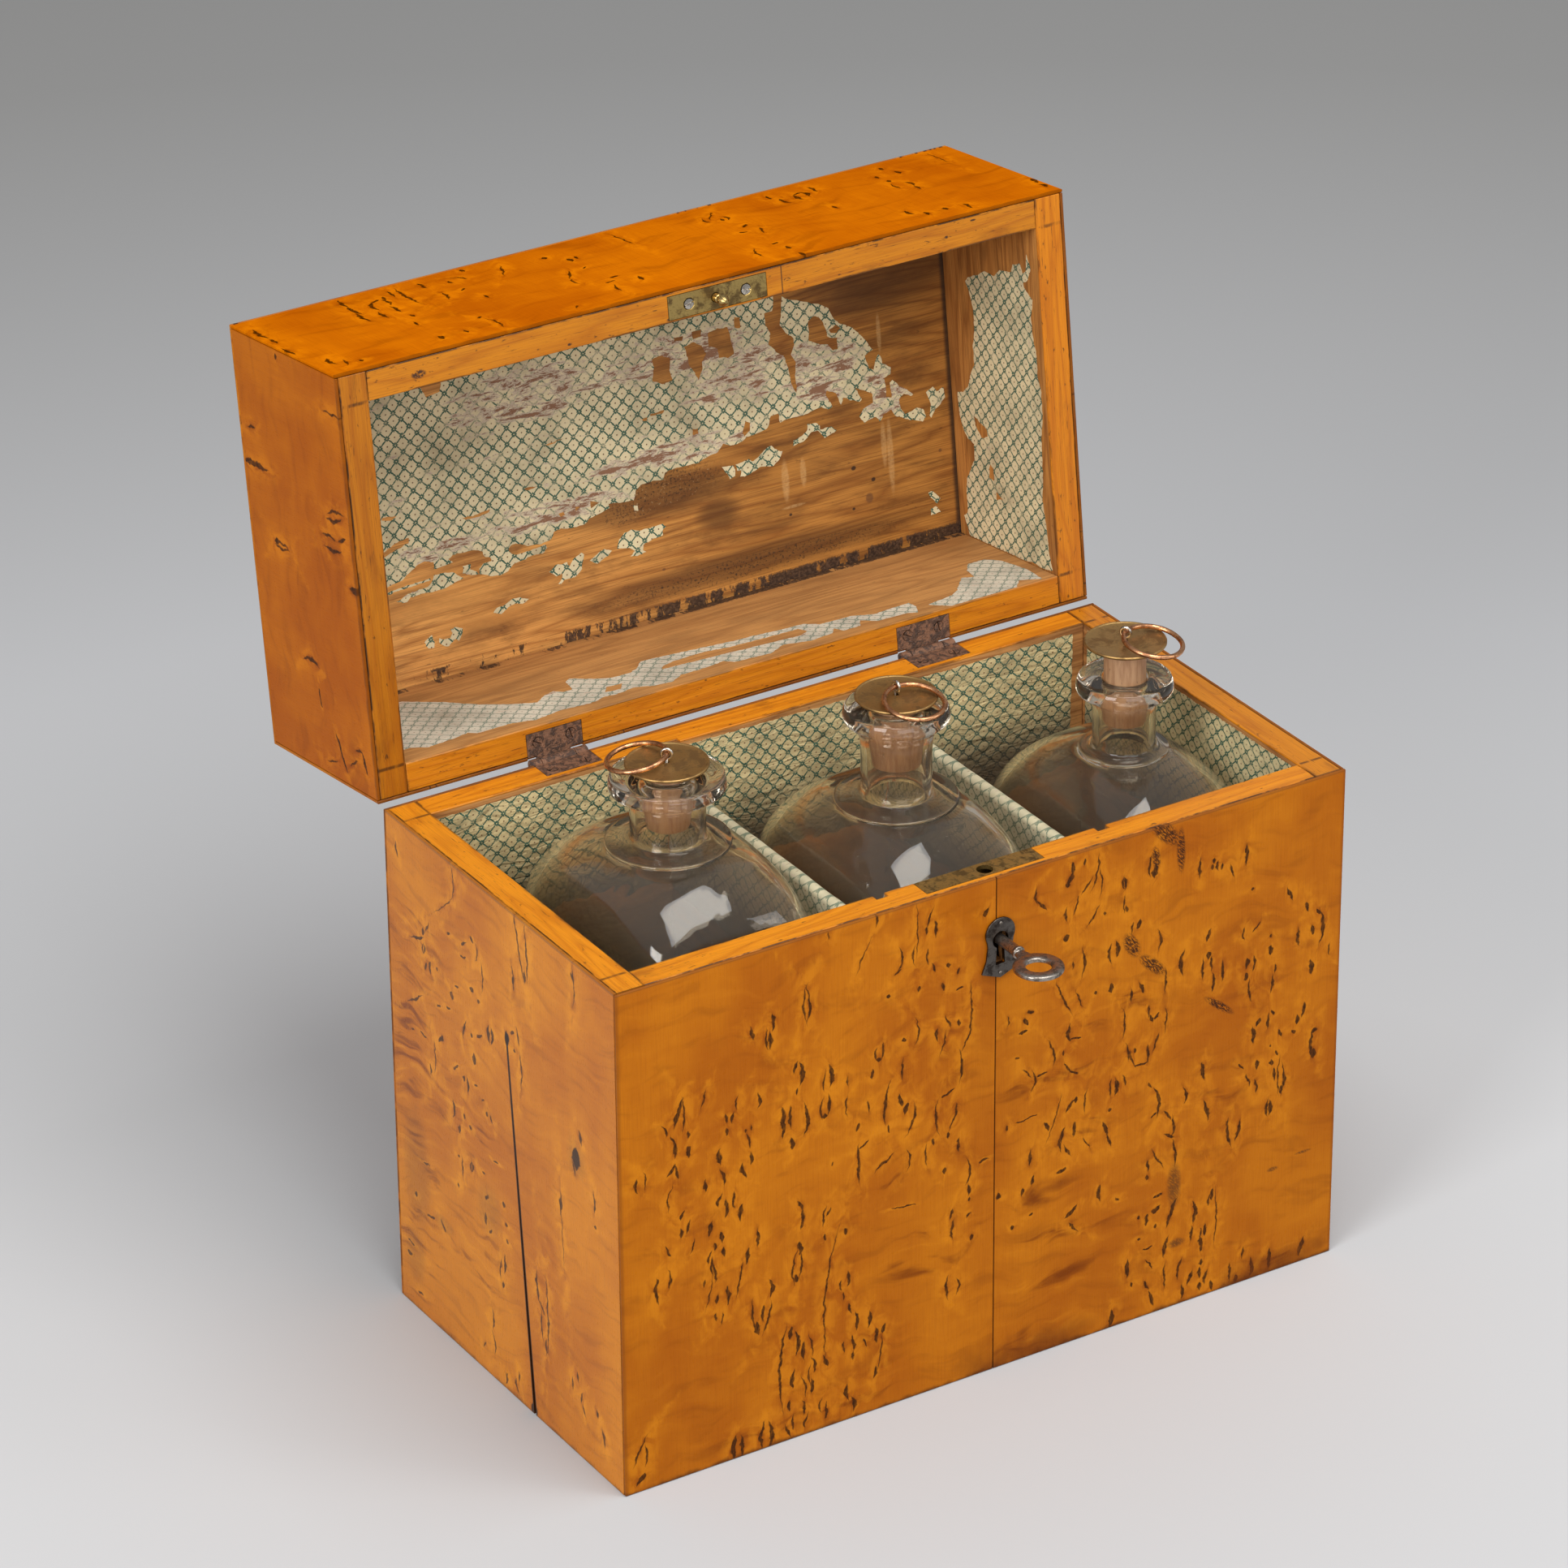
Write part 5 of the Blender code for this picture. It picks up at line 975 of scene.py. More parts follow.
    (126.3, 10, 4, -1.2, 0.9, 0.2), (122.5, 6, 2.4, 0, 1.0, 0), (129, 3.8, 2.8, 0, 0.9, -0.2),
    (116.7, 12.5, 3.8, 0, 0.8, 0.4), (112, 6.7, 4, 0.4, 0.9, 0), (91, 16.7, 2.8, 0, 0.6, -0.5),
    (94, 8.5, 4.5, 0, 0.7, -0.3), (82.5, 20, 1.1, 0, 0.6, 0), (140, 7.5, 5, 0, 0.9, 0),
    (152.2, 6.7, 5.5, 0.9, 1.1, 0), (163.3, 8.3, 5.5, 0.3, 1.1, 0), (183, 8.5, 5, -0.8, 1.1, 0.3),
    (143.5, 3, 2.2, 0, 1.1, 0), (147.5, 16, 3.2, 0, 0.5, 0), (70.5, 5, 5, 0.6, 1.2, 0.2),
)
hooks_left = (
    (-19.6, 250, 15.5, 0.6, 0.6, 0.25), (-25.8, 249, 14, -0.8, 0.6, 0.05), (-24.4, 236.5, 3.2, 0, 0.9, 0),
    (-13, 231, 6.5, -0.5, 0.7, 0.1), (-68, 252, 9.5, -0.6, 0.45, 0), (-67.5, 257, 1.7, 0, 1.2, 0.5),
    (93.6, 249, 4, 0.5, 0.7, 0.2), (46.4, 226, 1, 0, 1.6, -0.8), (32, 227.5, 2.2, 0.4, 0.9, -1.1),
    (24.5, 233, 1.6, 0, 1.6, 0.6), (21, 228, 4.5, -1, 0.5, 0), (16.3, 217, 7.5, -1.2, 0.5, 0),
    (33, 220, 0.8, 0, 1.6, -2.5), (71, 216, 2, 0, 1.2, 0), (66.5, 220, 2.8, 0, 0.6, -0.5),
    (77, 210, 3, 0, 1.4, -2.2), (71, 207, 2.8, -1.2, 0.6, 0), (71, 207, 2.8, 1.2, 0.6, 0),
    (26, 206, 1.7, 0, 1.5, 0), (19.5, 202.5, 1.3, 0, 1.0, 0), (64.5, 199, 3.2, 1, 0.7, 0),
    (69, 198, 2.2, 0, 0.5, -0.5), (40, 201, 0.9, 0, 1.2, -1.5), (58.5, 201.5, 0.9, 0, 0.8, 0),
    (45, 194, 2.2, -1, 0.6, 0), (45, 194, 2.2, 1, 0.7, 0), (10.5, 189.5, 4.8, 1.2, 1.0, 0),
    (9, 189.5, 4.4, -1.4, 1.1, 0), (-6, 195.5, 4, 0, 1.6, 0), (-11, 201, 1.6, 0, 1.4, -0.8),
    (-12.4, 192.5, 1, 0, 0.8, 0), (-16.2, 201, 4.2, -0.4, 0.6, 0.2), (-17.6, 184, 9.5, -1.0, 0.5, 0.05),
    (58, 182.5, 1, 0, 1.3, -1.2), (49, 185.4, 0.7, 0, 1.3, -1.6), (81, 175, 5, 0, 0.9, -1.4),
    (34, 181, 5.5, 0.6, 0.7, -0.3), (27.4, 181, 1.2, 0, 0.8, 0), (20, 184, 1.8, 0, 1.1, -1.2),
    (57, 165, 2.8, 0, 1.5, -0.7), (26, 169, 3.4, -0.6, 1.1, 0), (84, 157, 0.8, 0, 1.0, -1.2),
    (74, 159, 0.8, 0, 2.4, 3.0), (43, 156, 2.2, 0.5, 0.9, -1.2), (36, 154, 1.7, 0, 1.0, 0),
    (33.3, 152, 4.4, -1.2, 0.9, 0), (25, 155.5, 0.9, 0, 1.1, -1.2), (18.6, 150.4, 0.7, 0, 1.0, -1.5),
    (64, 152, 8.5, -1.1, 0.4, 0), (68, 143, 3.2, 0, 0.5, 0), (15, 145, 1.4, 0, 0.9, 0),
    (11, 144, 2.2, 0, 0.5, 0.4), (47.5, 132, 5, -1.4, 0.8, 0), (37, 133, 1.7, 0, 0.8, 0),
    (31, 129, 1.1, 0, 0.8, 0), (41.6, 123.5, 2.4, 0, 1.1, 0), (8, 122.5, 0.8, 0, 2.0, -2.0),
    (31, 108.3, 2.8, -1.3, 0.8, 0), (31, 108.3, 2.8, 1.3, 0.7, 0), (20, 111, 0.9, 0, 0.9, -0.8),
    (43.6, 108, 0.8, 0, 0.9, 0), (40.5, 103, 5.5, -0.6, 0.5, 0), (17.6, 98.6, 1.9, 0, 1.0, -0.5),
    (1.6, 102.6, 1.4, 0, 1.3, 0), (45, 91.4, 1.1, 0, 0.8, 0), (0, 92.6, 1.1, 0, 1.3, 0),
    (-0.4, 84, 1.5, 0, 0.9, 0), (19, 86, 3.4, 0.7, 1.0, 0), (15, 81.4, 1.4, 0, 1.0, -0.8),
    (76, 87.4, 0.9, 0, 2.2, -3.0), (2.5, 70, 5.5, -0.9, 0.8, 0), (5.8, 65, 5.5, 0.8, 0.4, -0.1),
    (4.2, 57.5, 2.2, 0, 0.8, 0), (-29, 73.5, 9, 1.4, 0.7, 0.1), (-32.2, 63.5, 2.4, 0, 0.9, 0.8),
    (-36.3, 62, 20, -1.0, 0.5, 0), (-35, 44, 4.4, 0, 0.5, 0), (-32, 53, 8, 1.0, 0.5, 0.1),
    (-52, 130, 6, 0, 1.0, 0), (-53, 113, 13, 0, 0.22, 0.05), (-66.8, 162, 6.5, 0, 3.0, 0),
    (-71, 175, 3.8, -0.4, 1.0, 0.3), (-64.5, 156, 3.2, 0, 0.6, 0.3), (-82.4, 147, 5.5, -0.7, 0.7, 0),
    (-83, 134, 1, 0, 0.8, 0), (-81, 32, 2.4, 0, 0.8, 0.3), (-86.2, 21, 5, -0.4, 0.8, 0.2),
    (-64, 43, 2.8, 0, 0.7, 0.2), (-59, 37, 3.2, 0, 0.5, 0), (-67, 33, 3.2, 0.5, 0.6, -0.2),
    (-69, 27, 3, 0, 0.6, 0.3), (15.6, 33, 5.5, -1.0, 0.6, 0), (15.3, 20, 5.5, -1.2, 0.6, 0.2),
    (24, 14, 2.2, 0, 0.6, -0.5), (4.8, 5.5, 3.4, -1.4, 0.8, 0), (2.6, 6, 3, 1.2, 0.6, 0),
    (-6, 7.5, 3.4, 0.8, 0.6, 0.3), (-8, 13, 2.8, -0.5, 0.5, 0), (73, 59.5, 1.4, 0, 2.2, -2.5),
    (87, 65, 1.4, 0, 1.1, 0), (61, 61, 2.8, 0, 1.0, 0.7), (94, 35, 0.9, 0, 2.4, 2.6),
    (95.5, 28, 1.4, 0, 1.8, 0), (86, 10, 0.8, 0, 2.2, -1.5), (42, 256, 9, -1.6, 0.35, 0.1),
    (49.5, 240, 8, -0.8, 0.35, -1.1),
)
hooks_lid_front = (
    (-190.8, 285, 5.5, -1.2, 1.1, 0), (-187, 279, 4, 0.6, 0.5, 0.3), (-180, 276.5, 1.7, 0, 0.9, 0),
    (-198.6, 312, 6.5, 0, 0.8, 0), (-136, 279.6, 2.8, 0, 1.0, 0), (-123, 279.6, 2.8, 0.4, 0.5, 0),
    (-108, 293, 1.4, 0, 1.2, 0.5), (-106.5, 281, 8, 0.9, 0.4, 0), (-66.7, 274.4, 1.7, 0, 0.8, 0.4),
    (-35.5, 296.3, 1.1, 0, 2.2, 1.6), (-30.3, 301.7, 1.2, 0, 1.6, 1.0), (-37.5, 286, 5.5, -0.5, 0.5, 0.2),
    (-22, 291, 3.8, 0.4, 1.1, 0.1), (-44.2, 320, 5.5, 0.3, 0.8, 0.55), (-47.3, 309, 4.5, -1.1, 0.5, 0),
    (-33, 324.5, 1.2, 0, 1.0, 0.8), (-32, 340, 2.8, 0, 1.0, 0), (-28, 341, 2.2, 0, 0.8, 0),
    (-39.5, 351.5, 1.7, 0, 1.1, 0), (-134.4, 307, 3.2, 0, 0.7, 0), (-130, 319, 2, 0, 0.9, 0),
    (-148, 333, 7.5, -1.1, 0.9, 0), (-139, 329.6, 5.5, -0.9, 0.8, 0), (-131, 333, 5.5, 0.7, 0.7, 0),
    (-146, 345, 7.5, -1.1, 0.9, 0), (-137.5, 342, 4.4, -0.4, 0.8, 0), (-135.7, 347, 3.4, -0.6, 0.9, 0.4),
    (-132.5, 350.3, 1.1, 0, 2.0, 1.8), (-129, 345, 4.5, 1.1, 0.7, 0), (-145, 358, 6.5, -0.9, 0.9, 0.1),
    (-127, 351, 3.4, 0, 0.8, 0.2), (-195.8, 345, 8.5, -1.2, 0.9, 0), (-197, 331, 4, 0.5, 0.7, 0),
    (-117, 347, 14, -0.6, 0.7, 0.05), (-121.2, 355, 5.5, 0.4, 0.7, 0.1), (-103.5, 334, 5.5, 0.5, 0.6, 0.2),
    (-104, 355.5, 4.4, -0.4, 0.9, 0), (-89.6, 319, 2.8, 0, 0.6, 0), (-92.7, 337, 1.4, 0, 1.1, 0.8),
    (-85.4, 353.6, 3.4, 0.4, 0.8, -0.8), (-91, 351, 2.4, -0.4, 0.6, 0), (-78, 363, 2.2, 0, 1.0, 0),
    (-64.6, 349, 6.5, 0.5, 0.5, 0.45), (3, 351, 10, 0, 0.4, 0), (39.2, 285, 6.5, -0.8, 0.5, 0.25),
    (54, 281.7, 2.2, 0, 1.0, 0), (53, 291.5, 1.4, 0, 1.2, 0.9), (53, 268, 3.4, 0.4, 1.0, 0),
    (51, 318, 1.4, 0, 1.2, -0.8), (57, 326.5, 2.2, 0, 1.4, 0.8), (59.4, 314, 4.4, 0, 0.5, 0.4),
    (57.3, 343.5, 3.4, 0.8, 0.8, 0), (54.6, 342.5, 2.2, -0.5, 0.7, 0), (48, 347, 4.5, -1.2, 0.5, 0),
    (53, 351.5, 4.4, 0, 0.5, 0.6), (56, 356, 1, 0, 0.9, 0), (92.7, 347, 4.5, -1, 0.9, 0),
    (100.8, 347, 4.8, -1.3, 1.1, 0), (105.5, 350, 4.8, 1.4, 1.2, 0), (103, 353, 1.2, 0, 1.6, 1.0),
    (105, 321, 2.8, 0, 0.6, 0), (112.5, 353.6, 4.4, 0.4, 0.8, 0), (89.6, 357.8, 3.4, -0.4, 0.8, 0),
    (126, 287, 4, -1.2, 1.0, 0), (131, 279.6, 3.2, 0.5, 0.8, 0), (141.7, 279.6, 2.2, 0, 1.0, 0),
    (152, 275.5, 4.5, 0.4, 0.8, 0), (151, 319, 2.8, 0, 0.8, 0), (152, 326.5, 4.5, 0.7, 0.8, 0),
    (144.8, 328.6, 4.5, -0.5, 0.6, 0), (146.9, 338, 2.2, 0, 1.0, 0), (158, 347, 2.8, 0, 0.8, 0),
    (146, 347.3, 2.2, 0, 0.7, 0.3), (155, 357.8, 2.2, 0, 1.0, 0), (185.4, 353.6, 8.5, 0, 0.3, 0),
    (196.9, 276.5, 3.4, 0.6, 1.0, 0), (198, 287, 4.5, 0.5, 1.1, 0.2),
)
hooks_lid_left = (
    (-4.8, 343, 2.6, 0, 1.2, 0), (-3.5, 338, 6.8, -1.4, 0.5, 0), (-3.5, 338, 6.8, 1.4, 0.7, 0),
    (-39.3, 360, 15, 0, 1.5, 0), (-58, 357, 3.8, 0, 0.6, 0.2), (50, 320, 7.5, -2.0, 0.9, 0),
    (66, 314.3, 1.2, 0, 4.0, -3.6), (89, 298, 4.2, 0, 2.4, -2.1), (88, 275, 2.2, 0, 2.4, -2.5),
    (83.5, 280, 3.4, -0.9, 0.7, 0), (-16.6, 285, 8.5, 1.3, 1.0, 0.05), (-21, 288, 6.5, -1.1, 0.7, 0),
    (-23, 275, 3.8, 0, 0.9, 0.4), (-32, 281, 7.5, 1.1, 0.9, 0.2), (-34.5, 279, 8, -1.4, 0.7, 0.2),
    (0, 268, 4.5, 0, 1.5, 0), (-100.5, 324, 1.2, 0, 1.2, 0), (-85, 273, 8, 0, 0.5, 0),
    (96, 308, 5, 0.6, 0.5, 0.3), (91, 286, 4, -0.5, 0.6, 0.5),
)

# Veneers and boards
left_smears = ((-30, 76, 34, 20), (-60, 150, 30, 14), (-40, 120, 30, 10), (-100, 12, 60, 10),
               (-20, 200, 18, 30))
right_smears = ((32, 150, 32, 13), (30, 88, 30, 7), (38, 62, 38, 6), (38, 38, 36, 7), (30, 10, 40, 10),
                (165, 8, 28, 9), (60, 116, 40, 8), (130, 112, 40, 8), (60, 178, 40, 10))
side_smears = ((86, 60, 32, 70), (86, 150, 28, 60), (80, 205, 32, 26), (30, 60, 34, 30), (40, 130, 34, 20))
end_hooks = (-105, 105, 4, 262)
lid_end_hooks = (-105, 105, 268, 366)
front_looks = dict(gloss=0.06, details=front_details)
lid_looks = dict(lid=True, details=lid_details)
for name, plane, seed, marks, looks in (
        ("front_left", "front", 1.0, hooks_front_left, dict(front_looks, smears=left_smears)),
        ("front_right", "front", 2.0, hooks_front_right, dict(front_looks, smears=right_smears)),
        # Painted light: the left end's tone brightens it, as for a face lit more strongly than the front.
        ("left", "side", 3.0, hooks_left,
         dict(tone=(1.36, 1.48, 1.4), gloss=0.22, curl=5.0, smears=side_smears, details=left_details)),
        ("right", "side", 4.0, scattered(4, *end_hooks, 108), dict(details=side_details)),
        ("back", "front", 5.0, scattered(5, -199, 199, 4, 262, 180), dict(details=side_details))):
    dress(veneer("birch_" + name, plane, seed, marks, **looks), "case_veneer_" + name)
for name, plane, seed, marks, looks in (
        # Painted light: the lid front's tone brightens and warms it, as for a face lit from above.
        ("front", "front", 6.0, hooks_lid_front, dict(lid_looks, tone=(1.27, 1.03, 0.2), gloss=0.0)),
        ("back", "front", 7.0, scattered(7, -199, 199, 268, 366, 72), lid_looks),
        # Painted light: the lid's left end is toned redder and less blue, to match how it is lit.
        ("left", "side", 8.0, hooks_lid_left, dict(lid_looks, tone=(1.1, 0.98, 0.7), gloss=0.04)),
        ("right", "side", 9.0, scattered(9, *lid_end_hooks, 36), lid_looks),
        ("top", "top", 10.0, scattered(10, -199, 199, -105, 105, 150), dict(lid=True))):
    dress(veneer("birch_lid_" + name, plane, seed, marks, **looks), "lid_veneer_" + name)
for name, grain, seed, looks in (
        ("front", "x", 1.0, dict(rim=case_rim)),
        ("back", "x", 2.0, dict(rim=case_rim)),
        ("left", "y", 3.0, dict(rim=case_rim, extra=split_shadow)),
        ("right", "y", 4.0, dict(rim=case_rim, rim_tone=0.83)),
        # Painted shade: the bottom board's dark tone stands for the shade in the compartments.
        ("bottom", "x", 5.0, dict(tone=(0.30, 0.26, 0.24)))):
    dress(pine("pine_case_" + name, grain, seed, **looks), f"case_{name}_board")
# Painted shade: the dividers' dark tone stands for the shade deep in the compartments.
dress(pine("pine_dividers", "y", 6.0, tone=(0.34, 0.30, 0.27)), "divider_left", "divider_right")
for name, grain, seed, looks in (
        ("front", "x", 7.0, dict(rim=lid_rim, rim_tone=0.72, extra=lid_front_marks)),
        ("back", "x", 8.0, dict(rim=lid_rim, tone=(0.92, 0.9, 0.8), rim_tone=0.9, extra=lid_back_marks)),
        ("left", "y", 9.0, dict(rim=lid_rim, tone=(0.9, 0.85, 0.7), rim_tone=0.66)),
        ("right", "y", 10.0, dict(rim=lid_rim, tone=(0.95, 0.88, 0.65), rim_tone=0.9)),
        ("top", "x", 11.0, dict(stain=0.7, extra=lid_top_marks))):
    dress(pine("pine_lid_" + name, grain, seed, lid=True, **looks), f"lid_{name}_board")

# Metal looks
old_brass = metal("old_brass", (0.60, 0.40, 0.13), (0.185, 0.110, 0.038), (0.34, 0.50), 5.0)
stud_brass = metal("stud_brass", (0.48, 0.34, 0.13), (0.23, 0.155, 0.065), (0.22, 0.38), 4.0)
worn_brass = metal("worn_brass", (0.46, 0.32, 0.11), (0.155, 0.100, 0.040), (0.34, 0.50), 6.0)
disc_brass = metal("disc_brass", (0.50, 0.310, 0.115), (0.270, 0.155, 0.060), (0.42, 0.56), 9.0)
ring_copper = metal("ring_copper", (0.70, 0.35, 0.17), (0.32, 0.145, 0.07), (0.24, 0.38), 4.0)
bright_steel = metal("bright_steel", (0.62, 0.57, 0.50), (0.34, 0.30, 0.25), (0.16, 0.30), 2.0, pit=0.2)
key_steel = metal("key_steel", (0.36, 0.320, 0.280), (0.140, 0.112, 0.090), (0.28, 0.46), 3.0, pit=0.5)
dark_iron = metal("dark_iron", (0.105, 0.092, 0.082), (0.044, 0.034, 0.029), (0.30, 0.48), 4.0)
rusty_iron = rust("rusty_iron")
dress(old_brass, "lock_plate")
dress(worn_brass, "link_plate")
dress(dark_iron, "lock_case")
dress(bright_steel, "lock_bolt")
for side in ("left", "right"):
    dress(rusty_iron, "hinge_case_leaf_" + side, "hinge_lid_leaf_" + side, "hinge_pin_" + side)

# Bottles
foot_round = 0.006
shoulder_rise = 0.051
punt_height = 0.005
glass_base = 0.006
glass_wall = 0.0032
neck_wall = 0.0033
collar_height = 0.0024
neck_fillet = 0.0032
mouth_round = 0.0020
mouth_depth = 0.009
mouth_taper = 0.006
body_squareness = 5.0
plan_sides = 112
shoulder_steps = 26
bottle_floor = 0.0123
bottles = (
    dict(centre=(-0.10794, 0.00107), width=0.1024, depth=0.1338, shoulder=0.2587, lip=0.2912,
         lip_radius=0.0275, lip_thickness=0.0088, lip_flare=0.0015, neck=0.0178, collar=0.0296,
         plug=0.0102, plug_length=0.031, stand=0.0048, turn=143.0),
    dict(centre=(0.00974, -0.01049), width=0.0980, depth=0.1310, shoulder=0.2537, lip=0.2990,
         lip_radius=0.0253, lip_thickness=0.0085, lip_flare=0.0140, neck=0.0169, collar=0.0295,
         plug=0.0116, plug_length=0.034, stand=0.0041, turn=-86.0),
    dict(centre=(0.13438, -0.01687), width=0.0940, depth=0.1310, shoulder=0.2447, lip=0.2824,
         lip_radius=0.0233, lip_thickness=0.0090, lip_flare=0.0050, neck=0.0152, collar=0.0218,
         plug=0.0101, plug_length=0.041, stand=0.0177, turn=-55.0),
)
disc_radius = 0.0197
disc_thickness = 0.0012
disc_bead = 0.0005
eye_radius = 0.0024
eye_wire = 0.00075
eye_shank_radius = 0.0009
eye_shank_length = 0.010
eye_lift = 0.0010
ring_radius = 0.01415
ring_wire = 0.0012
ring_wander = 0.00012
# The kicked-up base: share of the body's half width, squareness, share of the kick
punt_rings = ((0.2, 0.3, 0.97), (0.45, 0.6, 0.75), (0.68, 0.8, 0.38))


def plan_ring(half_x, half_y, blend, height):
    """A level ring: a rounded oblong where blend is 1, a round where it is 0."""
    points = []
    for turn in turns(plan_sides):
        c, s = math.cos(turn), math.sin(turn)
        square_c = lame(c, 2 / body_squareness)
        square_s = lame(s, 2 / body_squareness)
        points.append(Vector((half_x * (blend * square_c + (1 - blend) * c),
                              half_y * (blend * square_s + (1 - blend) * s), height)))
    return points


def dome(half_x, half_y, neck, foot, rise, last_blend):
    """Rings of a shoulder: an elliptical arc from the upright side towards the neck."""
    end = math.acos(last_blend)
    rings = []
    for i in range(shoulder_steps + 1):
        lift = end * i / shoulder_steps
        blend = math.cos(lift)
        rings.append(plan_ring(neck + (half_x - neck) * blend, neck + (half_y - neck) * blend,
                               blend, foot + rise * math.sin(lift)))
    return rings


def curve_through(points, steps):
    """Points of a smooth curve through (radius, height) pairs, Catmull-Rom."""
    ends = [points[0], *points, points[-1]]
    found = []
    for a, b, c, d in zip(ends, ends[1:], ends[2:], ends[3:]):
        for i in range(steps):
            t = i / steps
            found.append(tuple(0.5 * (2 * q + (r - p) * t + (2 * p - 5 * q + 4 * r - s) * t * t
                                      + (3 * q - p - 3 * r + s) * t ** 3)
                               for p, q, r, s in zip(a, b, c, d)))
    return [*found, points[-1]]


def bottle_rings(size):
    """Rings from the outer base up over the lip and down to the inner base."""
    half_x = size["width"] / 2
    half_y = size["depth"] / 2
    neck = size["neck"]
    lip = size["lip"]
    lip_radius = size["lip_radius"]
    collar = size["collar"]
    shoulder_foot = size["shoulder"] - shoulder_rise
    last_blend = (collar - neck) / (half_x - neck)
    inner_half_x = half_x - glass_wall
    inner_half_y = half_y - glass_wall

    def punt_ring(share, blend, kick, base):
        return plan_ring(half_x * share, half_y * share, blend, base + punt_height * kick)

    def inner_ring(inward, height):
        inward *= foot_round
        return plan_ring(inner_half_x - inward, inner_half_y - inward, 1, glass_base + foot_round * height)

    rings = [[Vector((0, 0, punt_height))]]
    rings += [punt_ring(share, blend, kick, 0) for share, blend, kick in punt_rings]
    for i in range(7):
        angle = math.pi / 2 * i / 6
        inward = foot_round * (1 - math.sin(angle))
        rings.append(plan_ring(half_x - inward, half_y - inward, 1, foot_round * (1 - math.cos(angle))))
    rings += dome(half_x, half_y, neck, shoulder_foot, shoulder_rise, last_blend)
    collar_foot = shoulder_foot + shoulder_rise * math.sin(math.acos(last_blend))
    inside_neck = neck - neck_wall
    bore = size["plug"] + fit_gap
    lip_thickness = size["lip_thickness"]
    lip_foot = lip - lip_thickness
    flare_foot = lip_foot - size["lip_flare"]
    flare_radius = lip_radius - mouth_round

    def flare(share):
        """Radius of the neck's flare into the lip."""
        return neck + (flare_radius - neck) * share

    outside = curve_through([
        (collar, collar_foot + collar_height * 0.3),
        (collar, collar_foot + collar_height * 0.7),
        (collar - collar_height * 0.6, collar_foot + collar_height),
        (neck + neck_fillet * 0.35, collar_foot + collar_height * 1.35),
        (neck, collar_foot + collar_height + neck_fillet),
        (neck, (flare_foot + collar_foot + collar_height + neck_fillet) / 2),
        (neck, flare_foot),
        (flare(0.14), flare_foot + size["lip_flare"] * 0.55),
        (flare(0.62), lip_foot + lip_thickness * 0.04),
        (lip_radius - mouth_round * 0.3, lip_foot + lip_thickness * 0.22),
        (lip_radius, lip_foot + lip_thickness * 0.5),
        (lip_radius - mouth_round * 0.3, lip - mouth_round * 0.8),
        (lip_radius - mouth_round * 1.2, lip),
        (bore + mouth_round, lip),
        (bore + mouth_round * 0.25, lip - mouth_round * 0.4),
        (bore, lip - mouth_round * 1.4),
        (bore, lip - mouth_depth),
        (inside_neck, lip - mouth_depth - mouth_taper),
        (inside_neck, collar_foot + collar_height),
    ], 4)
    rings += [plan_ring(radius, radius, 0, height) for radius, height in outside]
    inner_last = (neck_fillet * 0.8) / (inner_half_x - inside_neck)
    rings += reversed(dome(inner_half_x, inner_half_y, inside_neck, shoulder_foot, shoulder_rise - glass_wall,
                           inner_last))
    rings += [inner_ring(inward, height) for inward, height in ((0, 1), (0.12, 0.55), (0.4, 0.2), (1.3, 0))]
    rings += [punt_ring(share, blend, kick, glass_base) for share, blend, kick in reversed(punt_rings)]
    rings.append([Vector((0, 0, glass_base + punt_height))])
    return rings


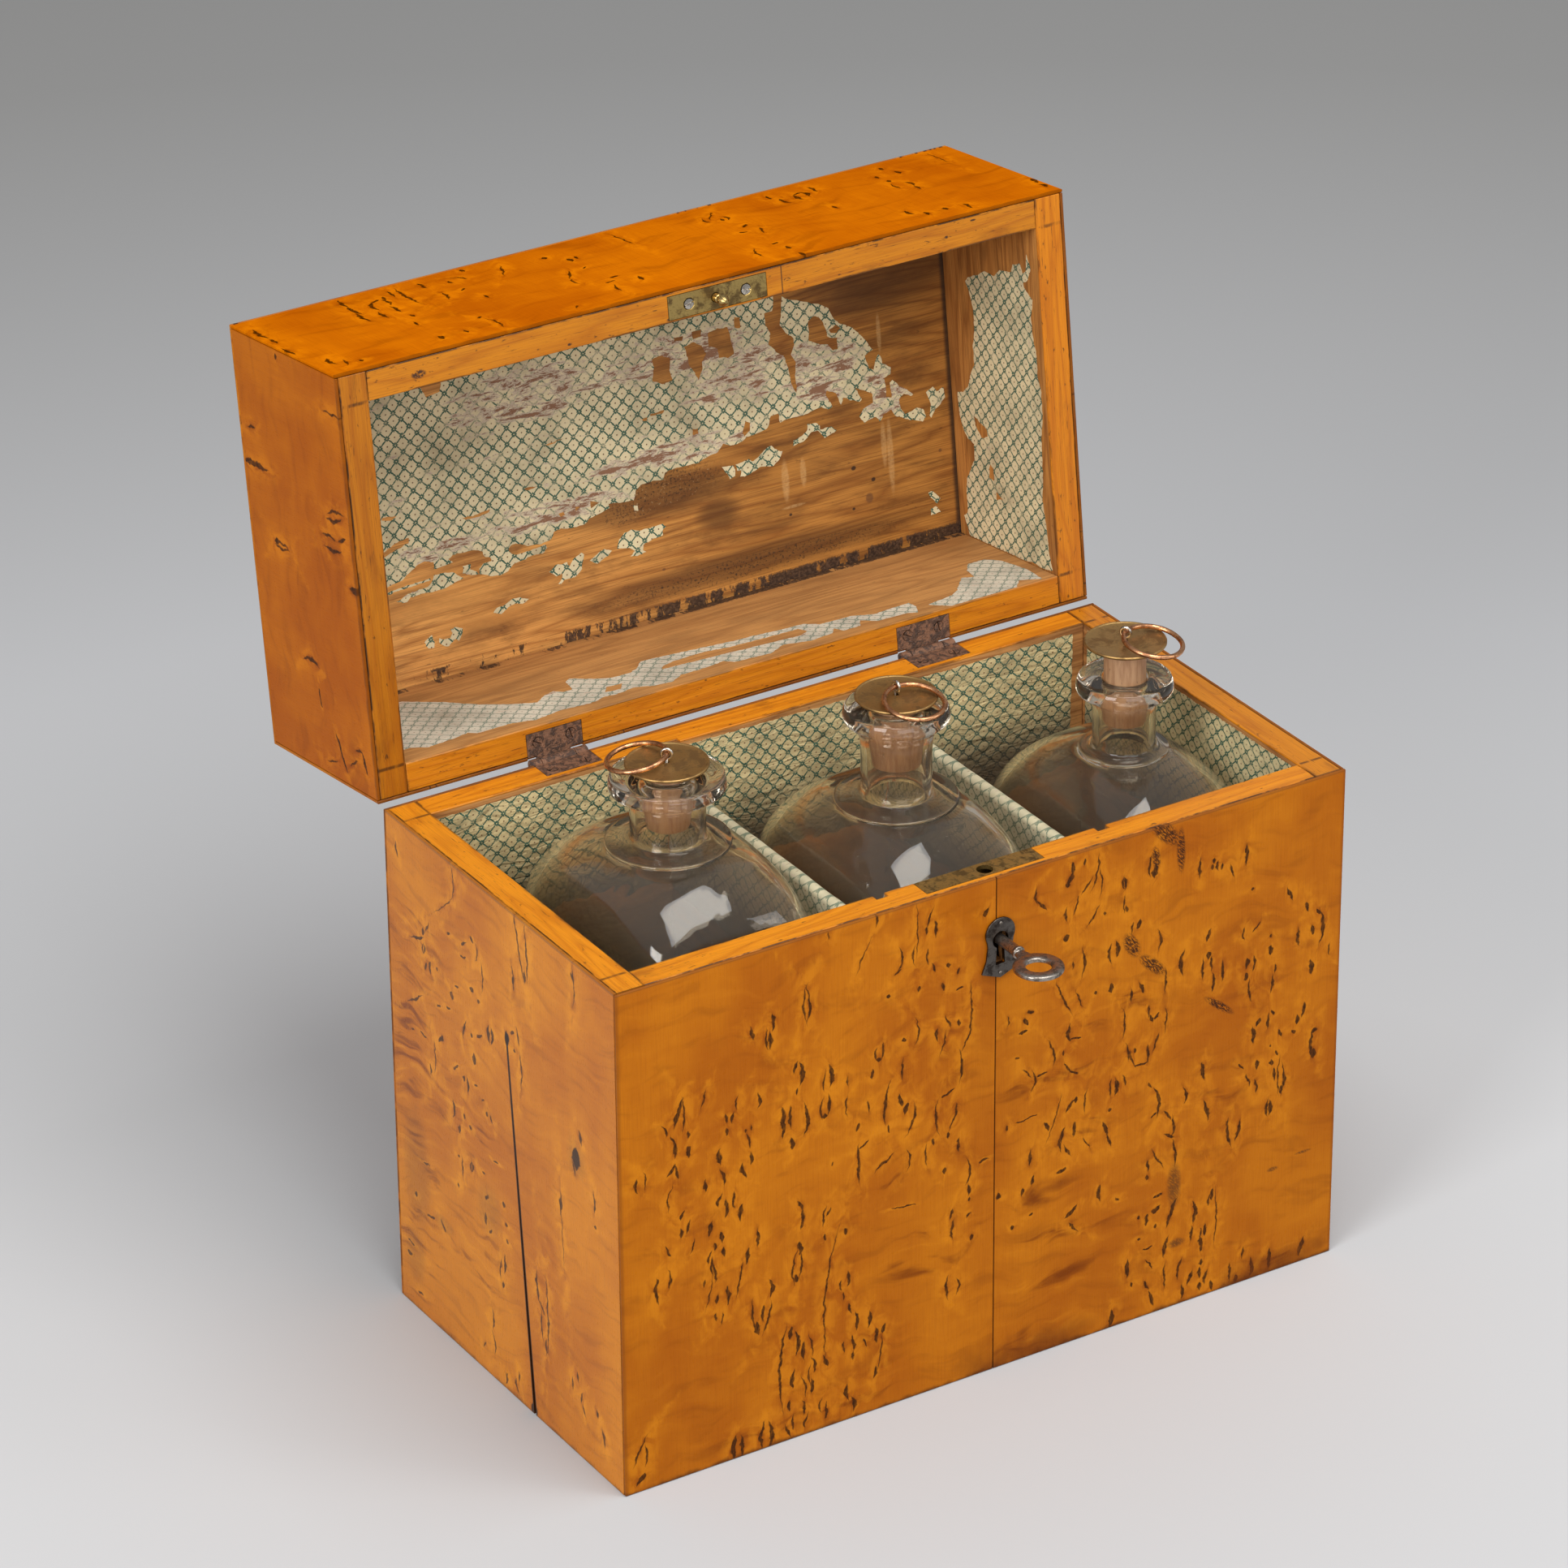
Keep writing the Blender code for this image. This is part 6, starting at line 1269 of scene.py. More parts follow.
wood_plug = plug_wood("plug_wood")
for number, size in enumerate(bottles):
    tag = f"_{number + 1}"
    stopper = "stopper" + tag
    place = Vector((*size["centre"], bottle_floor))
    shape = bmesh.new()
    skin_rings(shape, bottle_rings(size))
    glass = clear_glass("glass" + tag)
    piece = wrap("blown_bottle" + tag, shape, glass, "bottle" + tag, sharp=80.0, location=place)
    stand_in(piece, "bottle" + tag)

    seat = place + Vector((0, 0, size["lip"] + size["stand"]))
    hole = eye_shank_radius + fit_gap
    plug = size["plug"]
    length = size["plug_length"]
    profile = [(0, -length), (plug - 0.0014, -length), (plug - 0.0004, -length + 0.0004),
               (plug, -length + 0.0014), (plug, -length * 0.5), (plug, -0.0012), (plug - 0.0004, -fit_gap),
               (hole, -fit_gap), (hole, -eye_shank_length - fit_gap), (0, -eye_shank_length - fit_gap)]
    piece = wrap("turned_plug" + tag, turned(profile, 64), wood_plug, stopper, location=seat)
    stand_in(piece, "stopper_plug" + tag)

    edge = disc_radius
    top = disc_thickness
    profile = [(hole, 0), (edge * 0.5, 0), (edge - 0.0004, 0), (edge, 0.0004), (edge, top - 0.0002),
               (edge - 0.0002, top + disc_bead * 0.3), (edge - 0.0005, top + disc_bead / 2),
               (edge - 0.0010, top + disc_bead * 0.3), (edge - 0.0013, top - 0.0001),
               (edge - 0.0016, top - 0.0002), (edge * 0.5, top - 0.0001), (hole, top - 0.0001)]
    shape = turned(profile, 96, closed=True)
    piece = wrap("sheet_disc" + tag, shape, disc_brass, stopper, location=seat, sharp=50.0)
    stand_in(piece, "stopper_disc" + tag)

    eye_height = disc_thickness + eye_lift + eye_radius + eye_wire
    shank_foot = -eye_height - eye_shank_length
    turn = Matrix.Rotation(math.radians(size["turn"]), 4, "Z")
    eye_seat = seat + Vector((0, 0, eye_height))
    shape = wire_ring(eye_radius, eye_wire, 48, 16, Matrix.Rotation(math.pi / 2, 4, "X"))
    piece = wrap("screw_eye" + tag, shape, bright_steel, None, location=eye_seat, turn=turn)
    shank = turned(((0, shank_foot), (eye_shank_radius * 0.4, shank_foot),
                    (eye_shank_radius, -eye_height - eye_shank_length * 0.8), (eye_shank_radius, -eye_radius),
                    (0, -eye_radius)), 24)
    cut_with(piece, shank, Matrix.Translation(eye_seat) @ turn, "UNION")
    piece.data.shade_smooth()
    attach(piece, stopper)
    stand_in(piece, "stopper_eye" + tag)

    rest_reach = disc_radius * disc_radius / (2 * ring_radius)
    drop = eye_height - disc_thickness - disc_bead / 2 - ring_wire - fit_gap
    tilt = Matrix.Rotation(math.asin(drop / rest_reach), 4, "Y")
    hung = Matrix.Translation((ring_radius, 0, 0))
    shape = wire_ring(ring_radius, ring_wire, 96, 18, hung, ring_wander, number * 3.0)
    piece = wrap("pull_ring" + tag, shape, ring_copper, "ring" + tag, location=eye_seat, turn=turn @ tilt)
    stand_in(piece, "stopper_ring" + tag)

# Key
key_place = Vector((0.0045, -case_half_depth, 0.233))
along_y = Matrix.Rotation(math.pi / 2, 4, "X")
shank_radius = 0.0027
bit_far = -0.0911 - 0.0006 + case_half_depth
bit_near = bit_far - 0.0068
bit_radius = 0.0105
bit_half_thickness = 0.0010
ward_width = 0.0014
ward_top = -0.0075
collar_reach = 0.0150
collar_end = collar_reach + 0.0022
collar_radius = 0.0032
bow_radius = 0.0120
bow_hole = 0.0060
bow_flat = 0.00145
bow_reach = 0.0325
fan_reach = 0.0255
fan_half_width = 0.0072
shape = turned(((0, -bit_far), (shank_radius * 0.8, -bit_far), (shank_radius, -bit_far + shank_radius * 0.4),
                (shank_radius, collar_reach), (collar_radius, collar_reach + 0.0006),
                (collar_radius, collar_reach + 0.0016), (bow_flat, collar_end), (bow_flat / 2, fan_reach),
                (0, fan_reach)), 48, along_y)
key = wrap("filed_key", shape, key_steel, None)
rings = []
bow_mid = (bow_radius + bow_hole) / 2
bow_half = (bow_radius - bow_hole) / 2
for angle in turns(96):
    turn = Matrix.Rotation(angle, 4, "X")
    section = [(bow_flat * lame(math.sin(s), 0.6), bow_mid + bow_half * lame(math.cos(s), 0.7), 0)
               for s in turns(20)]
    rings.append([turn @ Vector(point) for point in section])
shape = bmesh.new()
skin_rings(shape, rings, closed=True)
cut_with(key, shape, Matrix.Translation((0, -bow_reach, 0)), "UNION")
rings = []
for i in range(13):
    share = i / 12
    half = shank_radius + (fan_half_width - shank_radius) * share ** 1.6
    thick = bow_flat * (1.15 - 0.3 * share)
    y = -collar_end + 0.0008 - (fan_reach + 0.0015 - collar_end) * share
    rings.append([Vector((thick * math.sin(s), y, half * lame(math.cos(s), 0.8))) for s in turns(24)])
shape = bmesh.new()
skin_rings(shape, [[Vector((0, rings[0][0].y, 0))], *rings, [Vector((0, rings[-1][0].y, 0))]])
cut_with(key, shape, operation="UNION")
ward_low = (bit_near + bit_far - ward_width) / 2
ward_high = ward_low + ward_width
shape = prism(((bit_near, 0), (bit_near, -bit_radius), (ward_low, -bit_radius), (ward_low, ward_top),
               (ward_high, ward_top), (ward_high, -bit_radius), (bit_far, -bit_radius), (bit_far, 0)),
              "X", -bit_half_thickness, bit_half_thickness)
cut_with(key, shape, operation="UNION")
step = key.modifiers.new("round", "REMESH")
step.mode = "VOXEL"
step.voxel_size = 0.00025
step.use_smooth_shade = True
step = key.modifiers.new("soft", "SMOOTH")
step.iterations = 3
settle(key)
key.data.shade_smooth()
key.matrix_world = Matrix.Translation(key_place) @ Matrix.Rotation(math.radians(90), 4, "Y")
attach(key, "key")
stand_in(key, "key")


# Escutcheon
def keyhole_outline(radius, half_top, half_foot, foot, sides):
    """A round hole over a slot that widens downwards, centred on the key's axis."""
    start = math.asin(half_top / radius)
    sweep = full_turn - 2 * start
    steps = [-math.pi / 2 + start + sweep * i / sides for i in range(sides + 1)]
    arc = [(radius * math.cos(s), radius * math.sin(s)) for s in steps]
    return [*arc, (-half_foot, foot), (half_foot, foot)]


head_radius = 0.0080
head_rise = 0.0033
waist = 0.0068
waist_drop = 0.0010
corner = 0.0101
corner_drop = 0.0160
point_drop = 0.0200
head_start = math.asin((head_rise + waist_drop) / head_radius)
head_sweep = math.pi + 2 * head_start * 0.8
head_steps = [-head_start * 0.8 + head_sweep * i / 56 for i in range(57)]
head_arc = [(head_radius * math.cos(s), head_rise + head_radius * math.sin(s)) for s in head_steps]
skirt = [(waist, -waist_drop - head_radius / 4), (waist * 1.12, -corner_drop * 0.62), (corner, -corner_drop)]
outline = [*[(-x, z) for x, z in skirt], (0, -point_drop), *reversed(skirt), *head_arc]
plate = wrap("cut_escutcheon", prism(outline, "Y", -0.0015, -0.0003), dark_iron, None, location=key_place)
shape = prism(keyhole_outline(0.0042, 0.0020, 0.0026, -0.0128, 48), "Y", -0.004, 0.004)
cut_with(plate, shape, Matrix.Translation(key_place))
step = plate.modifiers.new("round", "BEVEL")
step.width = 0.0004
step.segments = 3
step.limit_method = "ANGLE"
settle(plate)
smooth_to(plate, 40)
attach(plate, "case")
stand_in(plate, "escutcheon")
for name, z in (("top", 0.0087), ("bottom", -0.0173)):
    profile = [(0, -0.0006), (0.0008, -0.0006), (0.0010, 0.0), (0.0007, 0.0003), (0, 0.0004)]
    pin_place = Matrix.Translation(key_place + Vector((0, -0.0013, z)))
    piece = wrap("escutcheon_pin_" + name, turned(profile, 20, along_y), key_steel, "case", turn=pin_place)

# Stud
lid_turn = Matrix.Rotation(-lid_open_angle, 4, "X")
lid_place = Matrix.Translation((0, hinge_y, hinge_z)) @ lid_turn @ Matrix.Translation((0, -hinge_y, -hinge_z))
turn_over = Matrix.Rotation(math.pi, 4, "X")
stud_place = (0.0029, -case_half_depth + 0.0093, lid_bottom)
stud_profile = curve_through([(0.0006, -0.0100), (0.0010, -0.0099), (0.0020, -0.0088), (0.0028, -0.0075)], 5)
stud_profile = [(0, -0.0100), *stud_profile, (0.0029, -0.0070), (0.0027, -0.0066), (0.0017, -0.0065),
                (0.0016, -0.0062), (0.0016, -0.0036), (0.0020, -0.0034), (0.0022, -0.0031), (0.0022, 0.0019),
                (0, 0.0019)]
shape = turned(stud_profile, 48, lid_place @ Matrix.Translation(stud_place))
stand_in(wrap("turned_stud", shape, stud_brass, "lid"), "link_stud")

# Screws
wood_screw = ((0, -0.010), (0.0006, -0.010), (0.0012, -0.0088), (0.0012, -0.0012), (0.00245, -0.0001),
              (0.0025, 0.0), (0.0014, 0.00008), (0, 0.0001))
lock_screw = ((0, -0.0004), (0.0019, -0.0004), (0.0024, 0.0), (0.0015, 0.00016), (0, 0.0002))
slot_top = 0.002
slot_reach = 0.005


def slotted(name, profile, sides, place, look, body, half_slot, slot_foot):
    """A countersunk screw with a cut for the driver."""
    made = wrap(name, turned(profile, sides), look, None, turn=place)
    outline = ((-half_slot, slot_foot), (half_slot, slot_foot), (half_slot, slot_top), (-half_slot, slot_top))
    cut = prism(outline, "X", -slot_reach, slot_reach)
    cut_with(made, cut, place)
    smooth_to(made, 35)
    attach(made, body)
    return made


def screw(name, place, look, slot_turn, body, node):
    """A wood screw in a node's place."""
    place = place @ Matrix.Rotation(slot_turn, 4, "Z")
    stand_in(slotted(name, wood_screw, 40, place, look, body, 0.00035, -0.0006), node)


link_screw_y = -case_half_depth + 0.0092
for name, side, slot_turn in (("left", -1, 0.3), ("right", 1, -0.2)):
    place = lid_place @ Matrix.Translation((0.004 + side * 0.0157, link_screw_y, lid_bottom)) @ turn_over
    screw("cut_link_screw_" + name, place, bright_steel, slot_turn, "lid", "link_screw_" + name)
for name, x, z, slot_turn in (("low_left", -0.0275, 0.2215, 0.4), ("high_left", -0.0275, 0.2590, -0.7),
                              ("low_right", 0.0275, 0.2215, 1.1), ("high_right", 0.0275, 0.2590, 0.1)):
    turn = Matrix.Translation((x, -0.0896, z)) @ Matrix.Rotation(-math.pi / 2, 4, "X")
    turn = turn @ Matrix.Rotation(slot_turn, 4, "Z")
    piece = slotted("lock_fixing_screw_" + name, lock_screw, 32, turn, dark_iron, "case", 0.0003, -0.0002)
hinge_screw_y = hinge_y - 0.0152 + 0.0052
for name, x in (("left", -0.104), ("right", 0.104)):
    for end, side, slot_turn in (("a", -1, 0.5), ("b", 1, 1.3)):
        spot = (x + side * 0.009, hinge_screw_y)
        on_case = Matrix.Translation((*spot, case_height))
        on_lid = lid_place @ Matrix.Translation((*spot, lid_bottom)) @ turn_over
        for body, way, place in (("case", 1, on_case), ("lid", -1, on_lid)):
            tag = f"_screw_{body}_{name}_{end}"
            screw("worn" + tag, place, rusty_iron, way * slot_turn, body, "hinge" + tag)


# Paper linings: thin torn sheets glued to the inner faces, in millimetres on each face with the lid shut
paper_thickness = 0.00012
paper_off = 0.00003
torn_pitch = 1.2
torn_depth = 0.5


def torn(outline, seed):
    """An outline cut into short edges that wander as torn paper does."""

    def waver(at, size, layers):
        parts = [noise.noise(Vector((at.x / size, at.y / size, seed + layer))) for layer in layers]
        return Vector((*parts, 0)) * torn_depth

    points = []
    for a, b in zip(outline, [*outline[1:], outline[0]]):
        a = Vector((*a, 0))
        b = Vector((*b, 0))
        steps = max(1, round((b - a).length / torn_pitch))
        for j in range(steps):
            at = a.lerp(b, j / steps)
            points.append(at + waver(at, 3, (0, 9)) + waver(at, 1.1, (3, 5)) * 0.7)
    return points


def lining(name, outlines, to_world, look, body, seed, limits, holes):
    """Sheets of paper on one face, with holes worn through them. to_world takes its place on it in metres."""
    low_u, high_u, low_v, high_v = limits
    points = []
    loops = []
    for number, outline in enumerate([*outlines, *holes]):
        edge = torn(outline, seed + number * 1.7)
        if sum(a.x * b.y - b.x * a.y for a, b in zip(edge, [*edge[1:], edge[0]])) < 0:
            edge.reverse()
        loops.append(range(len(points), len(points) + len(edge)))
        points += [Vector((held(p.x, low_u, high_u), held(p.y, low_v, high_v))) for p in edge]
    corners, _, faces, _, _, sources = delaunay_2d_cdt(points, [], loops, 1, 1e-4)
    kept = [face for face, source in zip(faces, sources) if source and max(source) < len(outlines)]
    used = sorted({corner for face in kept for corner in face})
    shape = bmesh.new()
    layers = []
    for height in (paper_off, paper_off + paper_thickness):
        places = [to_world(corners[i].x / millimetres, corners[i].y / millimetres, height) for i in used]
        layers.append({i: shape.verts.new(place) for i, place in zip(used, places)})
    sides = {(a, b) for face in kept for a, b in zip(face, [*face[1:], face[0]])}
    for layer in layers:
        for face in kept:
            shape.faces.new([layer[i] for i in face])
    for a, b in sides:
        if (b, a) not in sides:
            shape.faces.new((layers[0][a], layers[0][b], layers[1][b], layers[1][a]))
    wrap(name, shape, look, body, smooth=False)


def on_case_left(u, v, height):
    return Vector((-inner_half_width + height, u, v))


def on_case_right(u, v, height):
    return Vector((inner_half_width - height, u, v))


def on_case_back(u, v, height):
    return Vector((u, inner_half_depth - height, v))


def on_lid_right(u, v, height):
    return lid_place @ on_case_right(u, v, height)


def on_lid_back(u, v, height):
    return lid_place @ on_case_back(u, v, height)


def on_lid_top(u, v, height):
    return lid_place @ Vector((u, v, lid_ceiling - height))


top_sheet = [
    (-183.5, -89), (84, -89), (85.5, -54.5), (84.5, -50), (80, -49.5), (80, -43.6), (82.3, -39), (81, -33.6),
    (85.5, -28.2), (89, -26), (90.5, -20), (91.4, -14.5), (93, -7.5), (94.7, -5.5), (95, -9), (94.5, -14.5),
    (95.5, -21), (93.2, -25.5), (95, -29), (95.5, -33.6), (91, -37.3), (88.2, -41.8), (89, -46.4), (90.5, -56),
    (92, -54.5), (99, -52), (105, -49.5), (112, -47), (116, -44), (119, -38), (121.5, -35), (124, -34),
    (129, -31), (132, -28), (136, -23), (138.5, -19.5), (140, -17), (135, -15), (135.5, -13), (137, -8),
    (140, -7), (141, -11), (142.8, -14), (144, -13), (145, -9), (149.5, -6), (149, -2), (145.2, -1),
    (145.5, 0), (146, 9), (149, 10), (148.5, 2), (150, 1), (154, 5), (158, 8), (161.5, 11.2),
    (160, 11.5), (156, 9.5), (153, 12), (153.5, 17), (156, 20.5), (163, 19), (166.5, 20), (168, 24.5),
    (166, 26.5), (159, 24), (155, 22), (150, 19.5), (148, 16), (144, 17), (141, 20.5), (139, 17.5),
    (132, 19), (129.5, 15), (132, 12), (138, 10), (138, 5), (133, 2.5), (128, 0), (131.5, 6.5),
    (130, 7.8), (124, 5), (121, 3), (119.5, 7), (118.5, 4), (117, 0), (112, -2.5), (111, 0),
    (113.5, 4), (114.5, 6.5), (112, 7.5), (108, 5), (100, 6.5), (95, 6.8), (89, 6.8), (83.6, 7.3),
    (83.6, 2.7), (79, 2.7), (77.3, 7.3), (76.4, 8.6), (72.7, 9.5), (64.5, 10.5), (59, 12.5), (54.5, 12.3),
    (50.9, 10.5), (47.3, 14.1), (40, 15), (36.4, 16.8), (29, 16.4), (22.7, 15.9), (16.8, 17.3), (15.5, 20.5),
    (10, 19.5), (2.7, 20), (0, 21.8), (-0.5, 24.5), (-1.8, 26.4), (-10, 25.9), (-15.5, 25), (-15.5, 27.3),
    (-20, 28.6), (-26.5, 29.6), (-30, 31.9), (-36.9, 32.3), (-43, 30.8), (-47, 31.5), (-47.7, 33.6),
    (-50, 35.4), (-55.4, 35.8), (-63, 34.6), (-66.2, 33), (-70.8, 31.9), (-73, 34.2), (-71, 37), (-68.5, 38),
    (-63, 37.7), (-56.2, 37.3), (-52, 36.9), (-51.5, 38.8), (-54.6, 40.8), (-60, 40.8), (-66.2, 41.5),
    (-70.8, 42.3), (-73.8, 45), (-78.5, 45.8), (-83, 45.4), (-86.2, 43.8), (-89.6, 42.7), (-89.2, 40),
    (-87, 38), (-82.3, 37.7), (-82.7, 35.8), (-86.2, 34.2), (-87, 31.5), (-89.2, 30.4), (-93.8, 29.5),
    (-99.2, 29.5), (-103, 29.2), (-105.4, 30.8), (-103, 33), (-109.2, 33.8), (-113.5, 33.5), (-113.8, 30.4),
    (-118.5, 28.5), (-122.3, 29.6), (-124.6, 30.8), (-128.5, 33), (-130.8, 35), (-135.4, 35.8), (-140, 36.5),
    (-160, 44), (-183.5, 52),
]
top_patches = [
    [(-135.4, 45), (-132.3, 46.5), (-130, 46.5), (-127.7, 44.6), (-119.2, 44.6), (-114.6, 45), (-109.2, 45),
     (-104.6, 43.8), (-98.5, 42.3), (-101.5, 40), (-103.8, 38), (-109.2, 37), (-113.8, 37.3), (-114.6, 39.2),
     (-117.7, 42), (-127.7, 42.3), (-131.5, 43.8)],
    [(-98, 36.5), (-94, 36), (-94.6, 38.8), (-91, 40.8), (-89.8, 42.5), (-94, 41.8), (-98.5, 39.9)],
    [(-140, 39.2), (-128, 38.4), (-116, 38), (-116, 38.9), (-128, 39.7), (-140, 40.3)],
    [(-122.7, 68.8), (-118.5, 66.5), (-117, 70.4), (-117.7, 73), (-120.8, 73), (-122, 71)],
    [(-114.6, 69.2), (-112.3, 70.4), (-108.5, 70.4), (-107.3, 68.5), (-108, 66), (-105.4, 65.8), (-101.5, 67),
     (-102, 70.4), (-103.8, 72.7), (-106, 71.5), (-107.7, 72.7), (-109.6, 74.2), (-113, 73), (-115, 71)],
    [(-84.2, 64.2), (-82.3, 62), (-77.7, 61.5), (-73, 59.6), (-69.2, 59.6), (-64.2, 62), (-67.7, 63.5),
     (-70.8, 62.3), (-75.4, 63), (-80, 65.4)],
    [(-51.5, 51.2), (-47.7, 48.5), (-41.5, 48.8), (-40, 51.2), (-37.7, 48), (-33, 46), (-31.7, 47.3),
     (-33, 51.2), (-33.5, 54.2), (-37.7, 57.3), (-43.8, 57.3), (-45.8, 59.2), (-47, 58.5), (-44.6, 55.8),
     (-44.6, 53.5), (-47.7, 54.6)],
    [(-28.8, 51.2), (-25.4, 49.2), (-20, 47), (-16.4, 49), (-19, 51.4), (-24.6, 53.5), (-27, 52.7)],
    [(-13.2, 48.6), (-11.8, 44.5), (-8.2, 41.8), (-3.6, 41.4), (0, 42.7), (7.3, 42.7), (13.6, 42.3),
     (15, 44.5), (13.2, 45.5), (12.7, 48.6), (6.4, 49), (1.8, 50.5), (1, 53.2), (2.7, 54.5), (-1.8, 55.6),
     (-6, 54.5), (-3.6, 52.3), (-6.4, 50), (-10, 49.5)],
    [(49, 22.3), (55.5, 22.7), (56.5, 25.5), (56, 28.2), (53.2, 29.5), (51.8, 26.4)],
    [(57.3, 22.7), (64.5, 21.8), (67.3, 23.2), (72.7, 20.5), (75.5, 18.2), (78.2, 18.2), (79.5, 20),
     (84, 22.3), (81.8, 26.4), (78.2, 28.6), (71, 27.3), (61.8, 30), (59, 29), (60, 26.4), (57.7, 26)],
    [(90.5, 18.5), (95, 17.5), (99, 15.5), (99.5, 12), (104, 12.5), (106.5, 14.5), (106, 16.5), (113, 16.5),
     (115.8, 19), (113, 20), (109, 21.5), (105, 17), (101.5, 16.5), (97, 20), (90.5, 21)],
    [(169, 12), (173.5, 10), (175, 13), (179, 12), (179.8, 17), (177, 20), (174, 22), (171, 26), (170, 24),
     (171.5, 19)],
    [(166.5, 64.5), (169, 64), (173, 69), (171, 71), (167.5, 67)],
    [(167, 73), (170.5, 72.5), (173, 76), (167, 76.5)],
    [(-2.3, 29.5), (0.5, 29.5), (0.5, 32.7), (-1.4, 32.7)],
]
top_holes = [
    [(104, -40), (108, -42), (111, -40.5), (112.5, -37), (114, -34), (114.5, -30), (116, -29), (120, -28),
     (120, -22), (117, -22.5), (114, -25.5), (110, -27), (104, -30)],
    [(115.5, -33), (120, -34.5), (122.5, -32.5), (120, -30.5), (116.5, -31)],
    [(15, -41.8), (20, -42.3), (25.5, -39.5), (24.5, -33.6), (25.5, -28.2), (20, -27.7), (14.5, -30.5),
     (15.5, -36.4)],
    [(33.6, -43.6), (39, -44.5), (43.2, -41.8), (45.5, -37.3), (42.7, -33.6), (42.7, -30), (40, -25),
     (38.2, -29), (35.5, -33.6), (34.5, -39)],
    [(47.3, -47.3), (52.7, -48.2), (58.6, -47.7), (60, -41.8), (61, -33.6), (57.3, -32.3), (52.7, -33.6),
     (51.8, -38.2), (47.3, -41)],
    [(38, -50), (43.6, -49.5), (43.6, -46.4), (39, -46)],
    [(28, -49.5), (33.6, -49), (32.7, -46.8), (28, -47.5)],
    [(62.7, -51.8), (66, -51), (65.5, -45.5), (62.3, -46.4)],
    [(64.5, 2.3), (66.8, 3.6), (66.4, 7.3), (62.7, 9.8), (62.3, 7.3)],
    [(34.5, -1.4), (37.3, -0.9), (37.7, 1.8), (34.5, 1.8)],
    [(6.8, -13.2), (10, -13.6), (9.5, -11.4), (7.3, -11.8)],
    [(11.4, -14.5), (19.5, -14.5), (19, -13.2), (11.8, -13.2)],
    [(-140, 18.8), (-130.8, 15.4), (-125.4, 15), (-125.8, 17.3), (-132.3, 19.2), (-140, 21.5)],
    [(-96.2, 12.3), (-90, 12.7), (-80.8, 11.5), (-80.8, 13), (-86.2, 13.8), (-93.8, 13.8)],
    [(-61.5, 5.8), (-53.8, 6.5), (-58.5, 7.7)],
    [(-43.8, 23), (-40.8, 22.7), (-40, 24.6), (-43, 25)],
    [(-33.8, 22), (-31.2, 23), (-34.6, 24.2)],
    [(-26, 21), (-20.8, 23), (-25.4, 25)],
    [(-112, -57.8), (-100.4, -57.8), (-101.4, -52.6), (-109, -51.6)],
    [(-139, 1.5), (-131, 2.5), (-134, 4), (-139, 3)],
    [(-47.5, -13), (-36, -14), (-46, -12.2)],
]
back_sheets = [
    [(-183, 283), (-171.6, 281.3), (-164.8, 276.5), (-149.5, 278.4), (-141.8, 280.3), (-139, 276.5),
     (-119.7, 276.5), (-109, 272.7), (-93.7, 275.5), (-78.3, 273.6), (-68.7, 276.5), (-63, 275.5),
     (-51.4, 277.5), (-43.7, 272.7), (-34, 271.7), (-26.4, 276.5), (-13, 276.5), (-1.4, 278.4), (1.5, 273.6),
     (21.7, 271.7), (31.3, 277.5), (44.8, 272.7), (58.2, 274.6), (62, 279.4), (64, 273.6), (73.6, 273.6),
     (77.5, 280.3), (83.2, 273.6), (100.5, 272.7), (104.4, 269.8), (108.2, 277.5), (108.2, 284.2), (87, 282.3),
     (77.5, 288), (60, 289), (54.4, 294.8), (41, 295.7), (27.5, 297.7), (14, 298.6), (-3.3, 301.5),
     (-22.5, 304.4), (-32, 305.3), (-38, 298.6), (-43.7, 295.7), (-53.3, 295.7), (-61, 300.5), (-69.7, 309.2),
     (-73.5, 306.3), (-75.4, 295.7), (-81.2, 295.7), (-84, 299.6), (-89.8, 297.7), (-97.5, 291.9),
     (-109, 299.6), (-118.7, 308.2), (-124.5, 315), (-130.2, 322.7), (-138.9, 331.3), (-145.6, 338),
     (-160, 342), (-183, 345)],
    [(135.2, 282.3), (141, 289), (146.7, 295.7), (152.5, 292.8), (154.4, 302.5), (160, 310.2), (169.8, 310.2),
     (175.5, 302.5), (177.5, 283.2), (175.5, 267.8), (166, 273.6), (160, 266.4), (121.7, 266.4), (114, 275.5),
     (129.4, 278.4)],
]
back_holes = [
    [(-30.2, 289), (-18.7, 288), (12, 285.2), (44.8, 282.3), (50.5, 285.2), (48.6, 291), (25.5, 291.9),
     (10.2, 292.8), (-3.3, 295.7), (-20.6, 294.8), (-26.4, 292.8)],
    [(-66, 281), (-58, 280), (-53.5, 286), (-62, 287)],
]
